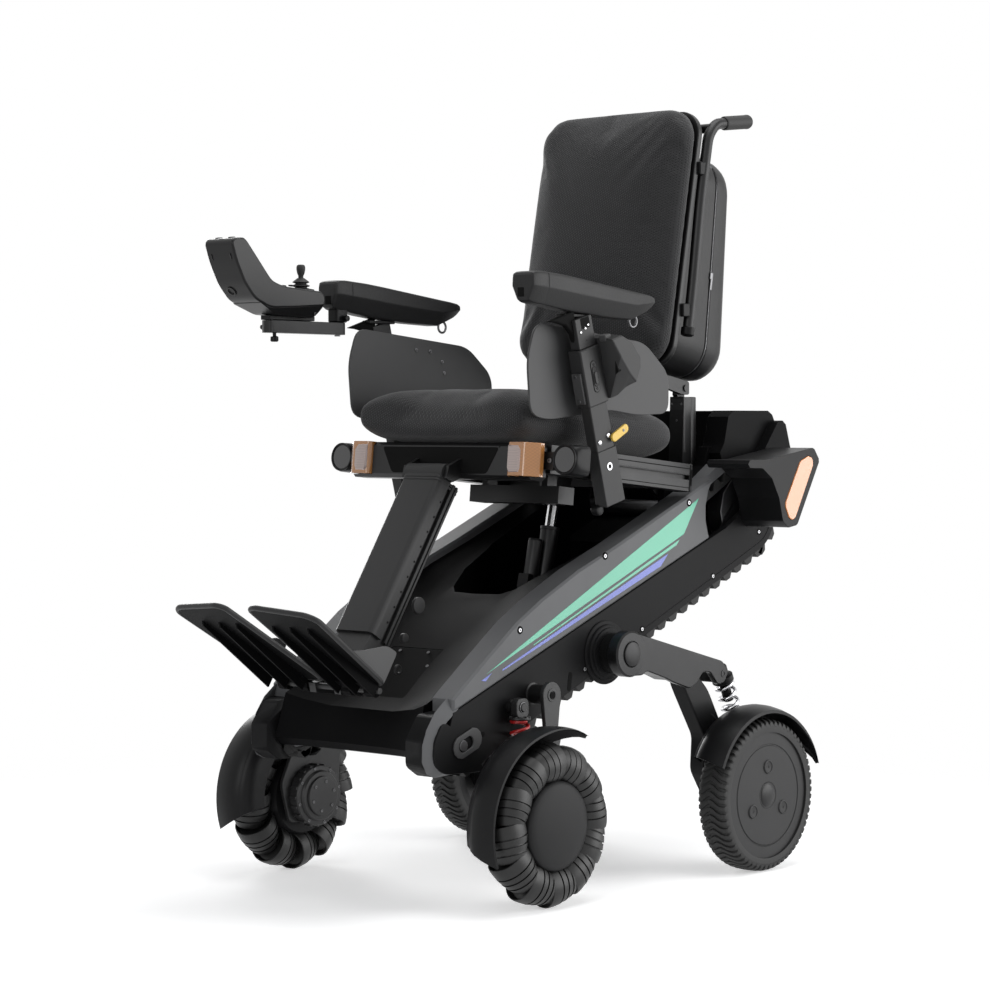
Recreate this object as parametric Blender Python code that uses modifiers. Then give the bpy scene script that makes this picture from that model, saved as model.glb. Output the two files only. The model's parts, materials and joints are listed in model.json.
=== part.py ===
"""Stair climbing wheelchair with tracks, omni front wheels and sprung rear swing arms.

Metres, +Z up. The chair faces -Y, its left side is +X, and it stands on the ground at Z = 0.
Every size below is in the chair's drawing frame, whose Y zero lies DRAWING_ZERO_Y behind the
middle of the footprint. The root empty carries that offset, so the world origin is the middle
of the footprint on the ground.
"""
import math

import bmesh
import bpy
from mathutils import Matrix, Vector

# Fits
GAP = 0.0003            # clearance between neighbours that touch
FIT = 0.0006            # radial play of shafts and pins
DRAWING_ZERO_Y = 0.1682

# Wheels and tracks, the driving sizes
FRONT_RADIUS = 0.127    # ten inch omni wheels
FRONT_WIDTH = 0.068
FRONT_AXLE = (-0.350, FRONT_RADIUS)
ROLLERS = 12
FRONT_CAP_RADIUS = 0.069
REAR_RADIUS = 0.126
REAR_WIDTH = 0.056
REAR_AXLE = (0.155, REAR_RADIUS)
REAR_RIM_RADIUS = 0.104

# Hull between the tracks
HULL_HALF = 0.153
HULL_RISE = 0.018       # how far the shoulders stand above the middle
NOSE_FLARE = 0.020
SHOULDER = ((-0.4845, 0.311), (-0.433, 0.332), (-0.372, 0.375), (-0.2965, 0.428),
            (-0.237, 0.462), (-0.149, 0.504), (-0.052, 0.541), (0.047, 0.582),
            (0.128, 0.617), (0.166, 0.6335))
HULL_REAR_Y = 0.166

# Track pods, outside the hull
POD_OUT = HULL_HALF + 0.047
FRONT_OUT = POD_OUT + 0.1167    # outer face of the tread, from the middle
REAR_OUT = POD_OUT + 0.1297
COVER_WALL = 0.0115
BELT_IN = HULL_HALF + 0.0035
BELT_OUT = POD_OUT - COVER_WALL - 0.0025
BELT_THICK = 0.007
LUG_HEIGHT = 0.009
LUG_PITCH = 0.035
IDLER = (-0.450, 0.250)
IDLER_RADIUS = 0.0300   # of the wheel that the belt runs on
SPROCKET = (0.272, 0.590)
SPROCKET_RADIUS = 0.0640
DRIVE_SHAFT_RADIUS = 0.0150
IDLER_SHAFT_RADIUS = 0.0090

# Front legs and rear arms
LEG_PIVOT = (-0.288, 0.318)
ARM_PIVOT = (-0.1137, 0.372)
STRUT_PIVOT = (0.045, 0.330)
PIN_RADIUS = 0.008

# Seat
SEAT_TILT = math.radians(5.6)
SEAT_PIVOT = (0.120, 0.628)
CUSHION_HALF = 0.188
RAIL_HEIGHT = 0.045
BACK_ANGLE = math.radians(10.6)
BACK_HALF = 0.165
RECLINE_PIVOT = (0.198, 0.800)
ARM_POST_LEAN = math.radians(15)
LEGREST_LEAN = math.radians(33)
PUSH_TUBE_RADIUS = 0.008

# Springs
FRONT_SPRING_TURNS = 4.0
REAR_SPRING_TURNS = 3.5


# Scene

def clear_scene():
    for item in list(bpy.data.objects):
        bpy.data.objects.remove(item, do_unlink=True)


def new_collection(name):
    group = bpy.data.collections.new(name)
    bpy.context.scene.collection.children.link(group)
    return group


clear_scene()
CHAIR = new_collection("stair_climbing_wheelchair")


def paint(name, colour, roughness, metallic=0.0):
    """A Principled material of one colour."""
    made = bpy.data.materials.new(name)
    made.use_nodes = True
    shader = made.node_tree.nodes["Principled BSDF"]
    shader.inputs["Base Color"].default_value = (*colour, 1.0)
    shader.inputs["Roughness"].default_value = roughness
    shader.inputs["Metallic"].default_value = metallic
    made.diffuse_color = (*colour, 1.0)
    return made


BLACK_SHELL = paint("black_shell", (0.022, 0.022, 0.024), 0.42)
DARK_SHELL = paint("dark_shell", (0.035, 0.035, 0.038), 0.45)
GREY_SHELL = paint("grey_shell", (0.135, 0.138, 0.142), 0.40)
BLACK_METAL = paint("black_metal", (0.020, 0.020, 0.022), 0.38, 0.6)
GREY_METAL = paint("grey_metal", (0.070, 0.072, 0.075), 0.35, 0.8)
STEEL = paint("steel", (0.55, 0.55, 0.56), 0.25, 1.0)
RUBBER = paint("rubber", (0.018, 0.018, 0.019), 0.75)
FABRIC = paint("mesh_fabric", (0.016, 0.016, 0.017), 0.90)
RED = paint("red_spring", (0.48, 0.015, 0.015), 0.35)
SILVER = paint("silver_spring", (0.72, 0.72, 0.74), 0.22, 1.0)
AMBER = paint("amber_lens", (0.62, 0.24, 0.05), 0.15)
ORANGE = paint("orange_reflector", (0.80, 0.36, 0.08), 0.30)
LAMP = paint("lamp_black", (0.030, 0.030, 0.032), 0.20)
YELLOW = paint("yellow_lever", (0.75, 0.55, 0.08), 0.40)


# Solids. Each function gives a mesh object in the drawing frame, at the origin and unturned.

def link(name, mesh):
    item = bpy.data.objects.new(name, mesh)
    CHAIR.objects.link(item)
    return item


FLAT = math.radians(0.3)    # faces this close to one plane become one face


def tidy(mesh, merge=1e-6):
    """Weld what touches, merge faces of one plane and turn every face outward."""
    work = bmesh.new()
    work.from_mesh(mesh)
    bmesh.ops.remove_doubles(work, verts=work.verts, dist=merge)
    bmesh.ops.dissolve_degenerate(work, edges=work.edges, dist=merge)
    bmesh.ops.dissolve_limit(work, angle_limit=FLAT, verts=work.verts, edges=work.edges)
    bmesh.ops.recalc_face_normals(work, faces=work.faces)
    work.to_mesh(mesh)
    work.free()
    return mesh


def baked(item, merge=1e-6):
    """The evaluated form of an object as a plain mesh object, in place of the object."""
    bpy.context.view_layer.update()
    graph = bpy.context.evaluated_depsgraph_get()
    mesh = bpy.data.meshes.new_from_object(item.evaluated_get(graph), depsgraph=graph)
    mesh.transform(item.matrix_world)
    tidy(mesh, merge)
    made = link(item.name, mesh)
    bpy.data.objects.remove(item, do_unlink=True)
    return made


def from_work(name, work):
    mesh = bpy.data.meshes.new(name)
    bmesh.ops.recalc_face_normals(work, faces=work.faces)
    work.to_mesh(mesh)
    work.free()
    return link(name, mesh)


def box(low, high, edge=0.0):
    """A box between two corners, its edges rounded by a Bevel modifier."""
    work = bmesh.new()
    size = [b - a for a, b in zip(low, high)]
    middle = [(a + b) / 2 for a, b in zip(low, high)]
    bmesh.ops.create_cube(work, size=1.0)
    bmesh.ops.scale(work, vec=size, verts=work.verts)
    bmesh.ops.translate(work, vec=middle, verts=work.verts)
    made = from_work("box", work)
    if edge:
        rounding = made.modifiers.new("edges", "BEVEL")
        rounding.width = edge
        rounding.segments = 1
        made = baked(made)
    return made


def along(start, end):
    """The turn and shift that lay the Z axis from start to end, and the length between."""
    run = Vector(end) - Vector(start)
    turn = run.to_track_quat("Z", "Y").to_matrix().to_4x4()
    return Matrix.Translation(start) @ turn, run.length


def rod(start, end, radius, sides=12, end_radius=None):
    """A round bar or cone between two points."""
    place, length = along(start, end)
    work = bmesh.new()
    bmesh.ops.create_cone(work, cap_ends=True, segments=sides, radius1=radius,
                          radius2=radius if end_radius is None else end_radius, depth=length)
    bmesh.ops.translate(work, vec=(0, 0, length / 2), verts=work.verts)
    bmesh.ops.transform(work, matrix=place, verts=work.verts)
    return from_work("rod", work)


def bore_tool(start, end, radius, sides=12):
    """A cutter whose flats lie at the bore's radius, so that a round pin turns in it."""
    return rod(start, end, radius / math.cos(math.pi / sides), sides)


def turned(profile, centre, axis, steps=24):
    """A profile of (radius, height) from top to bottom, turned about an axis by Screw."""
    mesh = bpy.data.meshes.new("profile")
    points = [(radius, 0.0, height) for radius, height in profile]
    mesh.from_pydata(points, [(n, n + 1) for n in range(len(points) - 1)], [])
    item = link("turned", mesh)
    screw = item.modifiers.new("turn", "SCREW")
    screw.axis = "Z"
    screw.steps = steps
    screw.render_steps = steps
    screw.use_merge_vertices = True
    screw.merge_threshold = 0.00001
    made = baked(item, 1e-5)
    place, _ = along(centre, Vector(centre) + Vector(axis))
    made.data.transform(place)
    return made


def corner_arc(before, corner, after, radius, steps):
    """Points of the arc that rounds one corner, no larger than its neighbours leave room for."""
    a = Vector(before) - Vector(corner)
    b = Vector(after) - Vector(corner)
    half = a.angle(b) / 2
    if radius <= 0 or half > math.radians(86):
        return [tuple(corner)]
    reach = min(radius / math.tan(half), 0.45 * a.length, 0.45 * b.length)
    radius = reach * math.tan(half)
    a.normalize()
    b.normalize()
    centre = Vector(corner) + (a + b).normalized() * (radius / math.sin(half))
    first = Vector(corner) + a * reach - centre
    last = Vector(corner) + b * reach - centre
    points = []
    for n in range(steps + 1):
        mix = first.slerp(last, n / steps) * radius
        points.append(tuple(centre + mix))
    return points


def rounded(points, radius, steps=2):
    """A closed outline with its corners rounded. A point may bring its own radius."""
    spots = [Vector(point[:2]) for point in points]
    outline = []
    for n, point in enumerate(points):
        own = point[2] if len(point) > 2 else radius
        after = spots[(n + 1) % len(spots)]
        outline += corner_arc(spots[n - 1], spots[n], after, own, steps)
    return outline


SIDE = Matrix(((0, 0, 1, 0), (1, 0, 0, 0), (0, 1, 0, 0), (0, 0, 0, 1)))    # outline in Y and Z
FLOOR = Matrix.Identity(4)                                                # outline in X and Y


def plate(outline, low, high, holes=(), edge=0.0, plane=SIDE, steps=1):
    """A flat outline made solid from low to high across its plane, with softened edges."""
    curve = bpy.data.curves.new("outline", "CURVE")
    curve.dimensions = "2D"
    curve.fill_mode = "BOTH"
    curve.extrude = (high - low) / 2 - edge
    curve.bevel_depth = edge
    curve.bevel_resolution = steps - 1
    curve.offset = -edge
    for loop in (outline, *holes):
        spline = curve.splines.new("POLY")
        spline.points.add(len(loop) - 1)
        spline.use_cyclic_u = True
        for spot, (a, b) in zip(spline.points, loop):
            spot.co = (a, b, 0.0, 1.0)
    item = bpy.data.objects.new("plate", curve)
    CHAIR.objects.link(item)
    item.matrix_world = plane @ Matrix.Translation((0, 0, (low + high) / 2))
    return baked(item, 1e-5)


def tube(points, radius, roundness=2, merge=1e-6):
    """A round tube along a route, with closed ends."""
    curve = bpy.data.curves.new("tube", "CURVE")
    curve.dimensions = "3D"
    curve.bevel_depth = radius
    curve.bevel_resolution = roundness
    curve.use_fill_caps = True
    spline = curve.splines.new("POLY")
    spline.points.add(len(points) - 1)
    for spot, place in zip(spline.points, points):
        spot.co = (*place, 1.0)
    item = bpy.data.objects.new("tube", curve)
    CHAIR.objects.link(item)
    return baked(item, merge)


def skinned(rings, closed=False):
    """A loft through rings of points. Open ends are capped, a closed loft joins up again."""
    work = bmesh.new()
    loops = [[work.verts.new(point) for point in ring] for ring in rings]
    count = len(loops[0])
    pairs = list(zip(loops, loops[1:]))
    if closed:
        pairs.append((loops[-1], loops[0]))
    for low, high in pairs:
        for n in range(count):
            m = (n + 1) % count
            work.faces.new((low[n], low[m], high[m], high[n]))
    if not closed:
        work.faces.new(loops[0])
        work.faces.new(loops[-1])
    made = from_work("loft", work)
    tidy(made.data)
    return made


def combine(body, tools, operation):
    for tool in tools:
        change = body.modifiers.new("change", "BOOLEAN")
        change.operation = operation
        change.solver = "EXACT"
        change.object = tool
        body = baked(body)
        bpy.data.objects.remove(tool, do_unlink=True)
    return body


def joined(body, *tools):
    """One closed body from overlapping ones."""
    return combine(body, tools, "UNION")


def carved(body, *tools):
    return combine(body, tools, "DIFFERENCE")


def mirrored(item):
    """A copy on the other side of the chair."""
    mesh = item.data.copy()
    mesh.transform(Matrix.Scale(-1, 4, (1, 0, 0)))
    mesh.flip_normals()
    return link(item.name, mesh)


# Pieces and their places

ROOT = bpy.data.objects.new("chair", None)
ROOT.empty_display_size = 0.1
ROOT.location = (0, DRAWING_ZERO_Y, 0)
CHAIR.objects.link(ROOT)
PIVOTS = {"chair": Vector((0, 0, 0))}
PIECES = {"chair": ROOT}


def piece(name, body, material, pivot=(0, 0, 0), carrier="chair"):
    """Name a finished body, set its origin on its joint and hang it on its carrier."""
    spot = Vector(pivot)
    body.data.transform(Matrix.Translation(-spot))
    body.data.materials.clear()
    body.data.materials.append(material)
    body.data.shade_smooth()
    body.data.set_sharp_from_angle(angle=math.radians(35))
    body.name = name
    body.data.name = name
    body.parent = PIECES[carrier]
    body.location = spot - PIVOTS[carrier]
    PIVOTS[name] = spot
    PIECES[name] = body
    return body


def pair(name, body, material, pivot=(0, 0, 0), carrier="chair"):
    """The left piece as drawn and its mirror image on the right."""
    other = mirrored(body)
    left_carrier = carrier
    right_carrier = carrier
    if carrier.endswith("_left"):
        right_carrier = carrier[:-5] + "_right"
    piece(name + "_left", body, material, pivot, left_carrier)
    piece(name + "_right", other, material, (-pivot[0], pivot[1], pivot[2]), right_carrier)


# The track's loop

def belt_path(y_outward):
    """The loop round idler and sprocket, that far outside their wheels: arcs and their normals."""
    low = Vector(IDLER)
    high = Vector(SPROCKET)
    run = high - low
    heading = math.atan2(run.y, run.x)
    low_radius = IDLER_RADIUS + GAP + y_outward
    high_radius = SPROCKET_RADIUS + GAP + y_outward
    flare = math.asin((high_radius - low_radius) / run.length)
    half = math.pi / 2 + flare
    return low, high, heading, low_radius, high_radius, half, run.length * math.cos(flare)


def loop_spot(distance, outward=0.0):
    """A point on the belt's outer skin, counted along it from below the sprocket."""
    low, high, heading, low_radius, high_radius, half, straight = belt_path(BELT_THICK)
    legs = [high_radius * 2 * half, straight, low_radius * (2 * math.pi - 2 * half), straight]
    distance %= sum(legs)
    if distance < legs[0]:
        angle = heading - half + distance / high_radius
        centre, radius, shift = high, high_radius, 0.0
    elif distance < legs[0] + legs[1]:
        angle = heading + half
        centre, radius, shift = high, high_radius, distance - legs[0]
    elif distance < sum(legs[:3]):
        angle = heading + half + (distance - legs[0] - legs[1]) / low_radius
        centre, radius, shift = low, low_radius, 0.0
    else:
        angle = heading - half
        centre, radius, shift = low, low_radius, distance - sum(legs[:3])
    normal = Vector((math.cos(angle), math.sin(angle)))
    onward = Vector((-normal.y, normal.x))
    return tuple(centre + normal * (radius + outward) + onward * shift)


def belt_length():
    _, _, _, low_radius, high_radius, half, straight = belt_path(BELT_THICK)
    return high_radius * 2 * half + low_radius * (2 * math.pi - 2 * half) + 2 * straight


def belt_outline(outward, steps=8):
    """A loop whose arcs are chords that touch the true arc from outside."""
    low, high, heading, low_radius, high_radius, half, _ = belt_path(outward)
    spots = []
    arcs = ((high, high_radius, heading - half, 2 * half),
            (low, low_radius, heading + half, 2 * math.pi - 2 * half))
    for centre, radius, start, sweep in arcs:
        reach = radius / math.cos(sweep / steps / 2)
        for n in range(steps):
            angle = start + sweep * (n + 0.5) / steps
            spots.append((centre.x + reach * math.cos(angle), centre.y + reach * math.sin(angle)))
    return spots


def belt_low(y, outward):
    """Height of the lower run's skin, that far outside the wheels, at a given Y."""
    low, _, heading, low_radius, _, half, _ = belt_path(outward)
    angle = heading - half
    spot = low + low_radius * Vector((math.cos(angle), math.sin(angle)))
    slope = math.tan(angle + math.pi / 2)
    return spot.y + (y - spot.x) * slope


LUG_TIP = BELT_THICK + LUG_HEIGHT
POCKET = LUG_TIP + 0.003
LUG_COUNT = round(belt_length() / LUG_PITCH)


def track_belt():
    """Rubber track with a lug every pitch, drawn as a toothed outline with the bore inside."""
    pitch = belt_length() / LUG_COUNT
    outline = []
    for n in range(LUG_COUNT):
        for share, height in ((0.0, 0.0), (0.30, LUG_HEIGHT), (0.70, LUG_HEIGHT)):
            outline.append(loop_spot((n + share) * pitch, height))
    return plate(outline, BELT_IN, BELT_OUT, holes=[belt_outline(0.0)])


# Hull

HULL_FLOOR_CLEAR = 0.012    # hull bottom above the lug tips
CAVITY_FLOOR = 0.030        # thickness under the cavity
CAVITY_PLAN = ((0.0, -0.216), (0.055, -0.213), (0.074, -0.197), (0.098, -0.145), (0.122, -0.050),
               (0.130, 0.060), (0.130, 0.200))
HATCH_LOW = (-0.4290, 0.3085)
HATCH_HIGH = (-0.3385, 0.3810)
HATCH_HALF = 0.055
HATCH_THICK = 0.0050
HATCH_PROUD = 0.0010


def hull_section(x):
    """Outline of the hull at one distance from the middle: low in the middle, high at the sides."""
    side = abs(x / HULL_HALF) ** 3
    ring = []
    for n, (y, z) in enumerate(SHOULDER):
        back = NOSE_FLARE * (1 - side) * max(0.0, 1 - n / 2)
        ring.append((x, y + back, z - HULL_RISE * (1 - side)))
    rear = belt_low(HULL_REAR_Y, LUG_TIP) + HULL_FLOOR_CLEAR
    nose = -0.508 + NOSE_FLARE * (1 - side)
    ring.append((x, HULL_REAR_Y, rear))
    ring.append((x, -0.430, belt_low(-0.430, LUG_TIP) + HULL_FLOOR_CLEAR))
    ring.append((x, nose + 0.012, 0.229))
    ring.append((x, nose, 0.241))
    return ring


def cavity_tool(plan, floor, reach, narrow=0.86, wide=1.04):
    """The space above a slanted floor, drawn in a little towards it."""
    half = list(plan) + [(-x, y) for x, y in reversed(plan[1:])]
    low = [(x * narrow, y + 0.02 * (y < 0.1), floor(y)) for x, y in half]
    high = [(x * wide, y - 0.006 * (y < 0.1), reach) for x, y in half]
    return skinned([low, high])


def tilted_box(low, high, half, depth, proud, edge=0.0, spare=0.0):
    """A box on a slope of the YZ plane, from low to high, of that depth under its face."""
    slope = Vector(high) - Vector(low)
    made = box((-half - spare, -spare, -depth - spare), (half + spare, slope.length + spare, proud), edge)
    turn = Matrix.Rotation(math.atan2(slope.y, slope.x), 4, "X")
    made.data.transform(Matrix.Translation((0, *low)) @ turn)
    return made


def body_shell():
    stations = [-1.0, -0.80, -0.45, 0.45, 0.80, 1.0]
    hull = skinned([hull_section(HULL_HALF * share) for share in stations])
    floor_height = LUG_TIP + HULL_FLOOR_CLEAR
    cavity = cavity_tool(CAVITY_PLAN, lambda y: belt_low(y, floor_height) + CAVITY_FLOOR + 0.02, 0.80)
    pocket = tilted_box(HATCH_LOW, HATCH_HIGH, HATCH_HALF, HATCH_THICK - HATCH_PROUD, 0.05, 0.0, GAP)
    bore = bore_tool((-0.2, *IDLER), (0.2, *IDLER), IDLER_SHAFT_RADIUS + FIT, 10)
    hull = carved(hull, cavity, pocket, bore)
    lug_foot = (LIFT_FOOT[0], belt_low(LIFT_FOOT[0], floor_height) + CAVITY_FLOOR + 0.012)
    lugs = []
    for side in (-1, 1):
        start = side * (LIFT_TUBE_RADIUS + 0.003)
        stop = side * (LIFT_TUBE_RADIUS + 0.011)
        outline = rounded([(lug_foot[0] - 0.022, lug_foot[1]), (lug_foot[0] + 0.022, lug_foot[1]),
                           (LIFT_FOOT[0] + 0.010, LIFT_FOOT[1] + 0.012),
                           (LIFT_FOOT[0] - 0.010, LIFT_FOOT[1] + 0.012)], 0.006, 1)
        lug = plate(outline, min(start, stop), max(start, stop))
        lugs.append(lug)
    pin = rod((-LIFT_TUBE_RADIUS - 0.005, *LIFT_FOOT), (LIFT_TUBE_RADIUS + 0.005, *LIFT_FOOT),
              LIFT_PIN_RADIUS, 10)
    return joined(hull, *lugs, pin)


# Rear housing behind the seat

COWL_HALF = HULL_HALF + 0.0235
COWL_UNDER = SHOULDER[-1][1] + 0.043
COWL_TOP = COWL_UNDER + 0.0855
HOUSING_REAR = 0.335
FIN_OUT = POD_OUT - 0.006


def rear_housing():
    front = HULL_REAR_Y + GAP
    middle = plate([(front, belt_low(front, LUG_TIP) + HULL_FLOOR_CLEAR),
                    (HOUSING_REAR - 0.02, belt_low(HOUSING_REAR - 0.02, LUG_TIP) + HULL_FLOOR_CLEAR),
                    (HOUSING_REAR, 0.570), (HOUSING_REAR, 0.700), (0.215, 0.700), (0.205, 0.668),
                    (front, SHOULDER[-1][1])], -HULL_HALF, HULL_HALF)
    sweep = rounded([(0.208, COWL_UNDER), (0.230, COWL_UNDER + 0.0295), (0.244, COWL_TOP),
                     (0.362, COWL_TOP), (0.392, COWL_UNDER + 0.0355), (0.404, COWL_UNDER)], 0.014, 1)
    cowl = plate(sweep, -COWL_HALF, COWL_HALF)
    fins = []
    for side in (-1, 1):
        outline = rounded([(0.306, COWL_UNDER), (0.361, COWL_TOP - 0.017), (0.380, COWL_TOP - 0.017),
                           (0.403, COWL_UNDER)], 0.010, 1)
        ends = sorted((side * (COWL_HALF - 0.004), side * FIN_OUT))
        fins.append(plate(outline, ends[0], ends[1]))
    housing = joined(middle, cowl, *fins)
    trough = cavity_tool(((0.0, 0.12), (HULL_HALF - 0.019, 0.12), (HULL_HALF - 0.019, 0.306),
                          (HULL_HALF - 0.037, 0.322), (0.0, 0.322)),
                         lambda y: belt_low(y, LUG_TIP) + 0.075, 0.95, 0.97, 1.0)
    bore = bore_tool((-0.3, *SPROCKET), (0.3, *SPROCKET), DRIVE_SHAFT_RADIUS + FIT, 16)
    window = box((-COVER_INNER, SPROCKET[0] - 0.034, SPROCKET[1] + 0.0025),
                 (COVER_INNER, SPROCKET[0] + 0.029, COWL_UNDER - 0.0115))
    return carved(housing, trough, bore, window)


# Side covers

SEAM_START = (-0.470, 0.3015)
SEAM_END = (0.202, 0.5630)
BOSS = (0.237, 0.590)
BOSS_RADIUS = 0.064
SCOOP_RADIUS = 0.088
SCOOP_DEPTH = 0.0095
PANEL_REAR = 0.262
PANEL_STEP = COWL_UNDER - 0.0515
PANEL_TOP = ((-0.470, 0.322), (-0.460, 0.330), (-0.399, 0.376), (-0.324, 0.431), (-0.266, 0.464),
             (-0.178, 0.506), (-0.082, 0.543), (0.016, 0.584), (0.097, 0.618), (0.166, 0.6465),
             (0.214, COWL_UNDER - GAP))
ARM_FLANGE_RADIUS = 0.047
ARM_FLANGE = 0.012
LEG_BOSS_RADIUS = 0.016
COVER_INNER = HULL_HALF + GAP


def belt_pocket():
    """The space of the belt inside the covers, as one tool."""
    return plate(belt_outline(POCKET), COVER_INNER - 0.01, POD_OUT - COVER_WALL)


def side_panel():
    """Upper grey cover: outer wall and top flange over the belt's upper run."""
    outline = [(SEAM_START[0], SEAM_START[1] + GAP), (SEAM_END[0], SEAM_END[1] + GAP),
               (PANEL_REAR - GAP, PANEL_STEP + GAP), (PANEL_REAR - GAP, COWL_UNDER - GAP)]
    outline += list(reversed(PANEL_TOP))
    cover = plate(outline, COVER_INNER, POD_OUT, edge=0.0035)
    scoop = rod((POD_OUT - COVER_WALL - 0.004, *BOSS), (POD_OUT + 0.02, *BOSS),
                SCOOP_RADIUS + 5 * GAP, 22)
    return carved(cover, belt_pocket(), scoop)


def nose_outline():
    return rounded([(-0.392, 0.205), (-0.500, 0.205), (-0.526, 0.222), (-0.526, 0.262),
                    (-0.500, 0.299), (-0.470, 0.3015, 0)], 0.012, 2)


def track_plate():
    """Lower dark cover with the nose, the boss over the sprocket and the pivots' seats."""
    skin = BELT_THICK + 0.001
    outline = [(-0.345, belt_low(-0.345, skin))] + nose_outline()
    outline += [(SEAM_END[0], SEAM_END[1]), (PANEL_REAR, PANEL_STEP), (PANEL_REAR, COWL_UNDER - GAP),
                (0.352, COWL_UNDER - GAP), (0.352, 0.566), (0.329, 0.539),
                (0.300, belt_low(0.300, skin))]
    cover = plate(outline, COVER_INNER, POD_OUT)
    pocket = belt_pocket()
    opening = plate([(-0.395, 0.150), (0.36, 0.40), (0.36, 0.545), (0.300, belt_low(0.300, 0.0)),
                     (-0.395, belt_low(-0.395, 0.0))], COVER_INNER - 0.01, POD_OUT - COVER_WALL)
    cover = carved(cover, pocket, opening)
    wall = POD_OUT - COVER_WALL
    floor = rod((wall + 0.0004, *BOSS), (POD_OUT - SCOOP_DEPTH + 0.0005, *BOSS), SCOOP_RADIUS, 22)
    boss = rod((wall + 0.0008, *BOSS), (POD_OUT + GAP, *BOSS), BOSS_RADIUS + 0.004, 18, BOSS_RADIUS)
    flange = rod((POD_OUT - 0.004, *ARM_PIVOT), (POD_OUT + ARM_FLANGE, *ARM_PIVOT),
                 ARM_FLANGE_RADIUS + 0.001, 16, ARM_FLANGE_RADIUS - 0.003)
    leg_boss = rod((POD_OUT - 0.004, *LEG_PIVOT), (LEG_EAR_IN - GAP, *LEG_PIVOT), LEG_BOSS_RADIUS, 10)
    leg_pin = rod((LEG_EAR_IN - 0.010, *LEG_PIVOT), (LEG_EAR_OUT + 0.002, *LEG_PIVOT), PIN_RADIUS, 10)
    shock_boss = rod((POD_OUT - 0.004, *SHOCK_TOP), (SHOCK_X + 0.013, *SHOCK_TOP), 0.0085, 8)
    cover = joined(cover, floor, boss, flange, leg_boss, leg_pin, shock_boss)
    arm_stub = rod((POD_OUT, *ARM_PIVOT), (ARM_HUB_OUT - 0.006, *ARM_PIVOT), ARM_STUB_RADIUS, 12)
    cover = joined(cover, arm_stub)
    shaft_hole = bore_tool((0.1, *IDLER), (0.25, *IDLER), IDLER_SHAFT_RADIUS + FIT, 12)
    drive_hole = bore_tool((0.1, *SPROCKET), (wall + 0.003, *SPROCKET), DRIVE_SHAFT_RADIUS + FIT, 16)
    return carved(cover, shaft_hole, drive_hole)


# Shafts inside the tracks

def wheel_with_rim(centre, radius, shaft_radius, sides):
    """Two wheels on one through shaft, as one turned body."""
    end = POD_OUT - COVER_WALL + 0.002 if radius > 0.05 else POD_OUT + TENSION_THICK
    half = [(0, end), (shaft_radius, end), (shaft_radius, BELT_OUT), (radius, BELT_OUT),
            (radius, BELT_IN), (shaft_radius, BELT_IN)]
    profile = half + [(r, -h) for r, h in reversed(half)]
    return turned(profile, (0, *centre), (1, 0, 0), sides)


TENSION_THICK = 0.0035
TENSION_CENTRE = IDLER
TENSION_SLOPE = math.radians(21)


def tension_plate():
    """Slotted plate that clamps the idler's axle to the nose."""
    def capsule(length, width, shift=0.0):
        spots = []
        for n in range(12):
            angle = 2 * math.pi * (n + 0.5) / 12
            reach = (length - width) / 2 * (1 if math.cos(angle) > 0 else -1) + shift
            spots.append((reach + width / 2 * math.cos(angle), width / 2 * math.sin(angle)))
        turn = Matrix.Rotation(TENSION_SLOPE, 2)
        return [tuple(Vector(TENSION_CENTRE) + turn @ Vector(spot)) for spot in spots]
    hole = 2 * (IDLER_SHAFT_RADIUS + FIT)
    return plate(capsule(0.064, 0.036, 0.010), POD_OUT + GAP, POD_OUT + GAP + TENSION_THICK,
                 holes=[capsule(0.034, hole, 0.006)])


# Tail units

TAIL_OUT = POD_OUT + 0.0880
LENS_PROUD = 0.0015
LENS_SEAT = 0.0035
LENS_OUTLINE = ((0.2945, 0.676), (0.3235, 0.687), (0.3335, 0.673), (0.2800, 0.579),
                (0.2655, 0.5765), (0.2510, 0.604))


def tail_unit():
    """Hooked wing with a hollowed front and a seat for the reflector in its outer face."""
    outline = rounded([(0.150, 0.6660), (0.150, 0.6790), (0.205, 0.6800), (0.335, 0.6990),
                       (0.352, 0.6770), (0.288, 0.5680), (0.262, 0.5640), (0.247, 0.5760),
                       (0.236, 0.6150), (0.216, 0.6480), (0.190, 0.6650)], 0.006, 1)
    wing = plate(outline, POD_OUT + 2 * GAP, TAIL_OUT)
    seat = plate(rounded(grown(LENS_OUTLINE, GAP), 0.008, 1), TAIL_OUT - LENS_SEAT, TAIL_OUT + 0.01)
    return carved(wing, seat)


def grown(outline, by):
    """The outline moved outward from its middle by about that much."""
    middle = sum((Vector(spot) for spot in outline), Vector((0, 0))) / len(outline)
    spots = []
    for spot in outline:
        away = Vector(spot) - middle
        spots.append(tuple(Vector(spot) + away.normalized() * by * 1.5))
    return spots


def tail_lens():
    return plate(rounded(LENS_OUTLINE, 0.008, 1), TAIL_OUT - LENS_SEAT + GAP, TAIL_OUT + LENS_PROUD)


# Springs

FRONT_SPRING_RADIUS = 0.0125
REAR_SPRING_RADIUS = 0.0160
SPRING_WIRE = 0.0028
POINTS_PER_TURN = 8


def least_gap(points, wire, apart):
    """Smallest clearance of a wire to itself, between points at least that far apart on it."""
    least = math.inf
    for n, spot in enumerate(points):
        for other in points[n + apart:]:
            least = min(least, (spot - other).length - 2 * wire)
    return least


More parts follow.
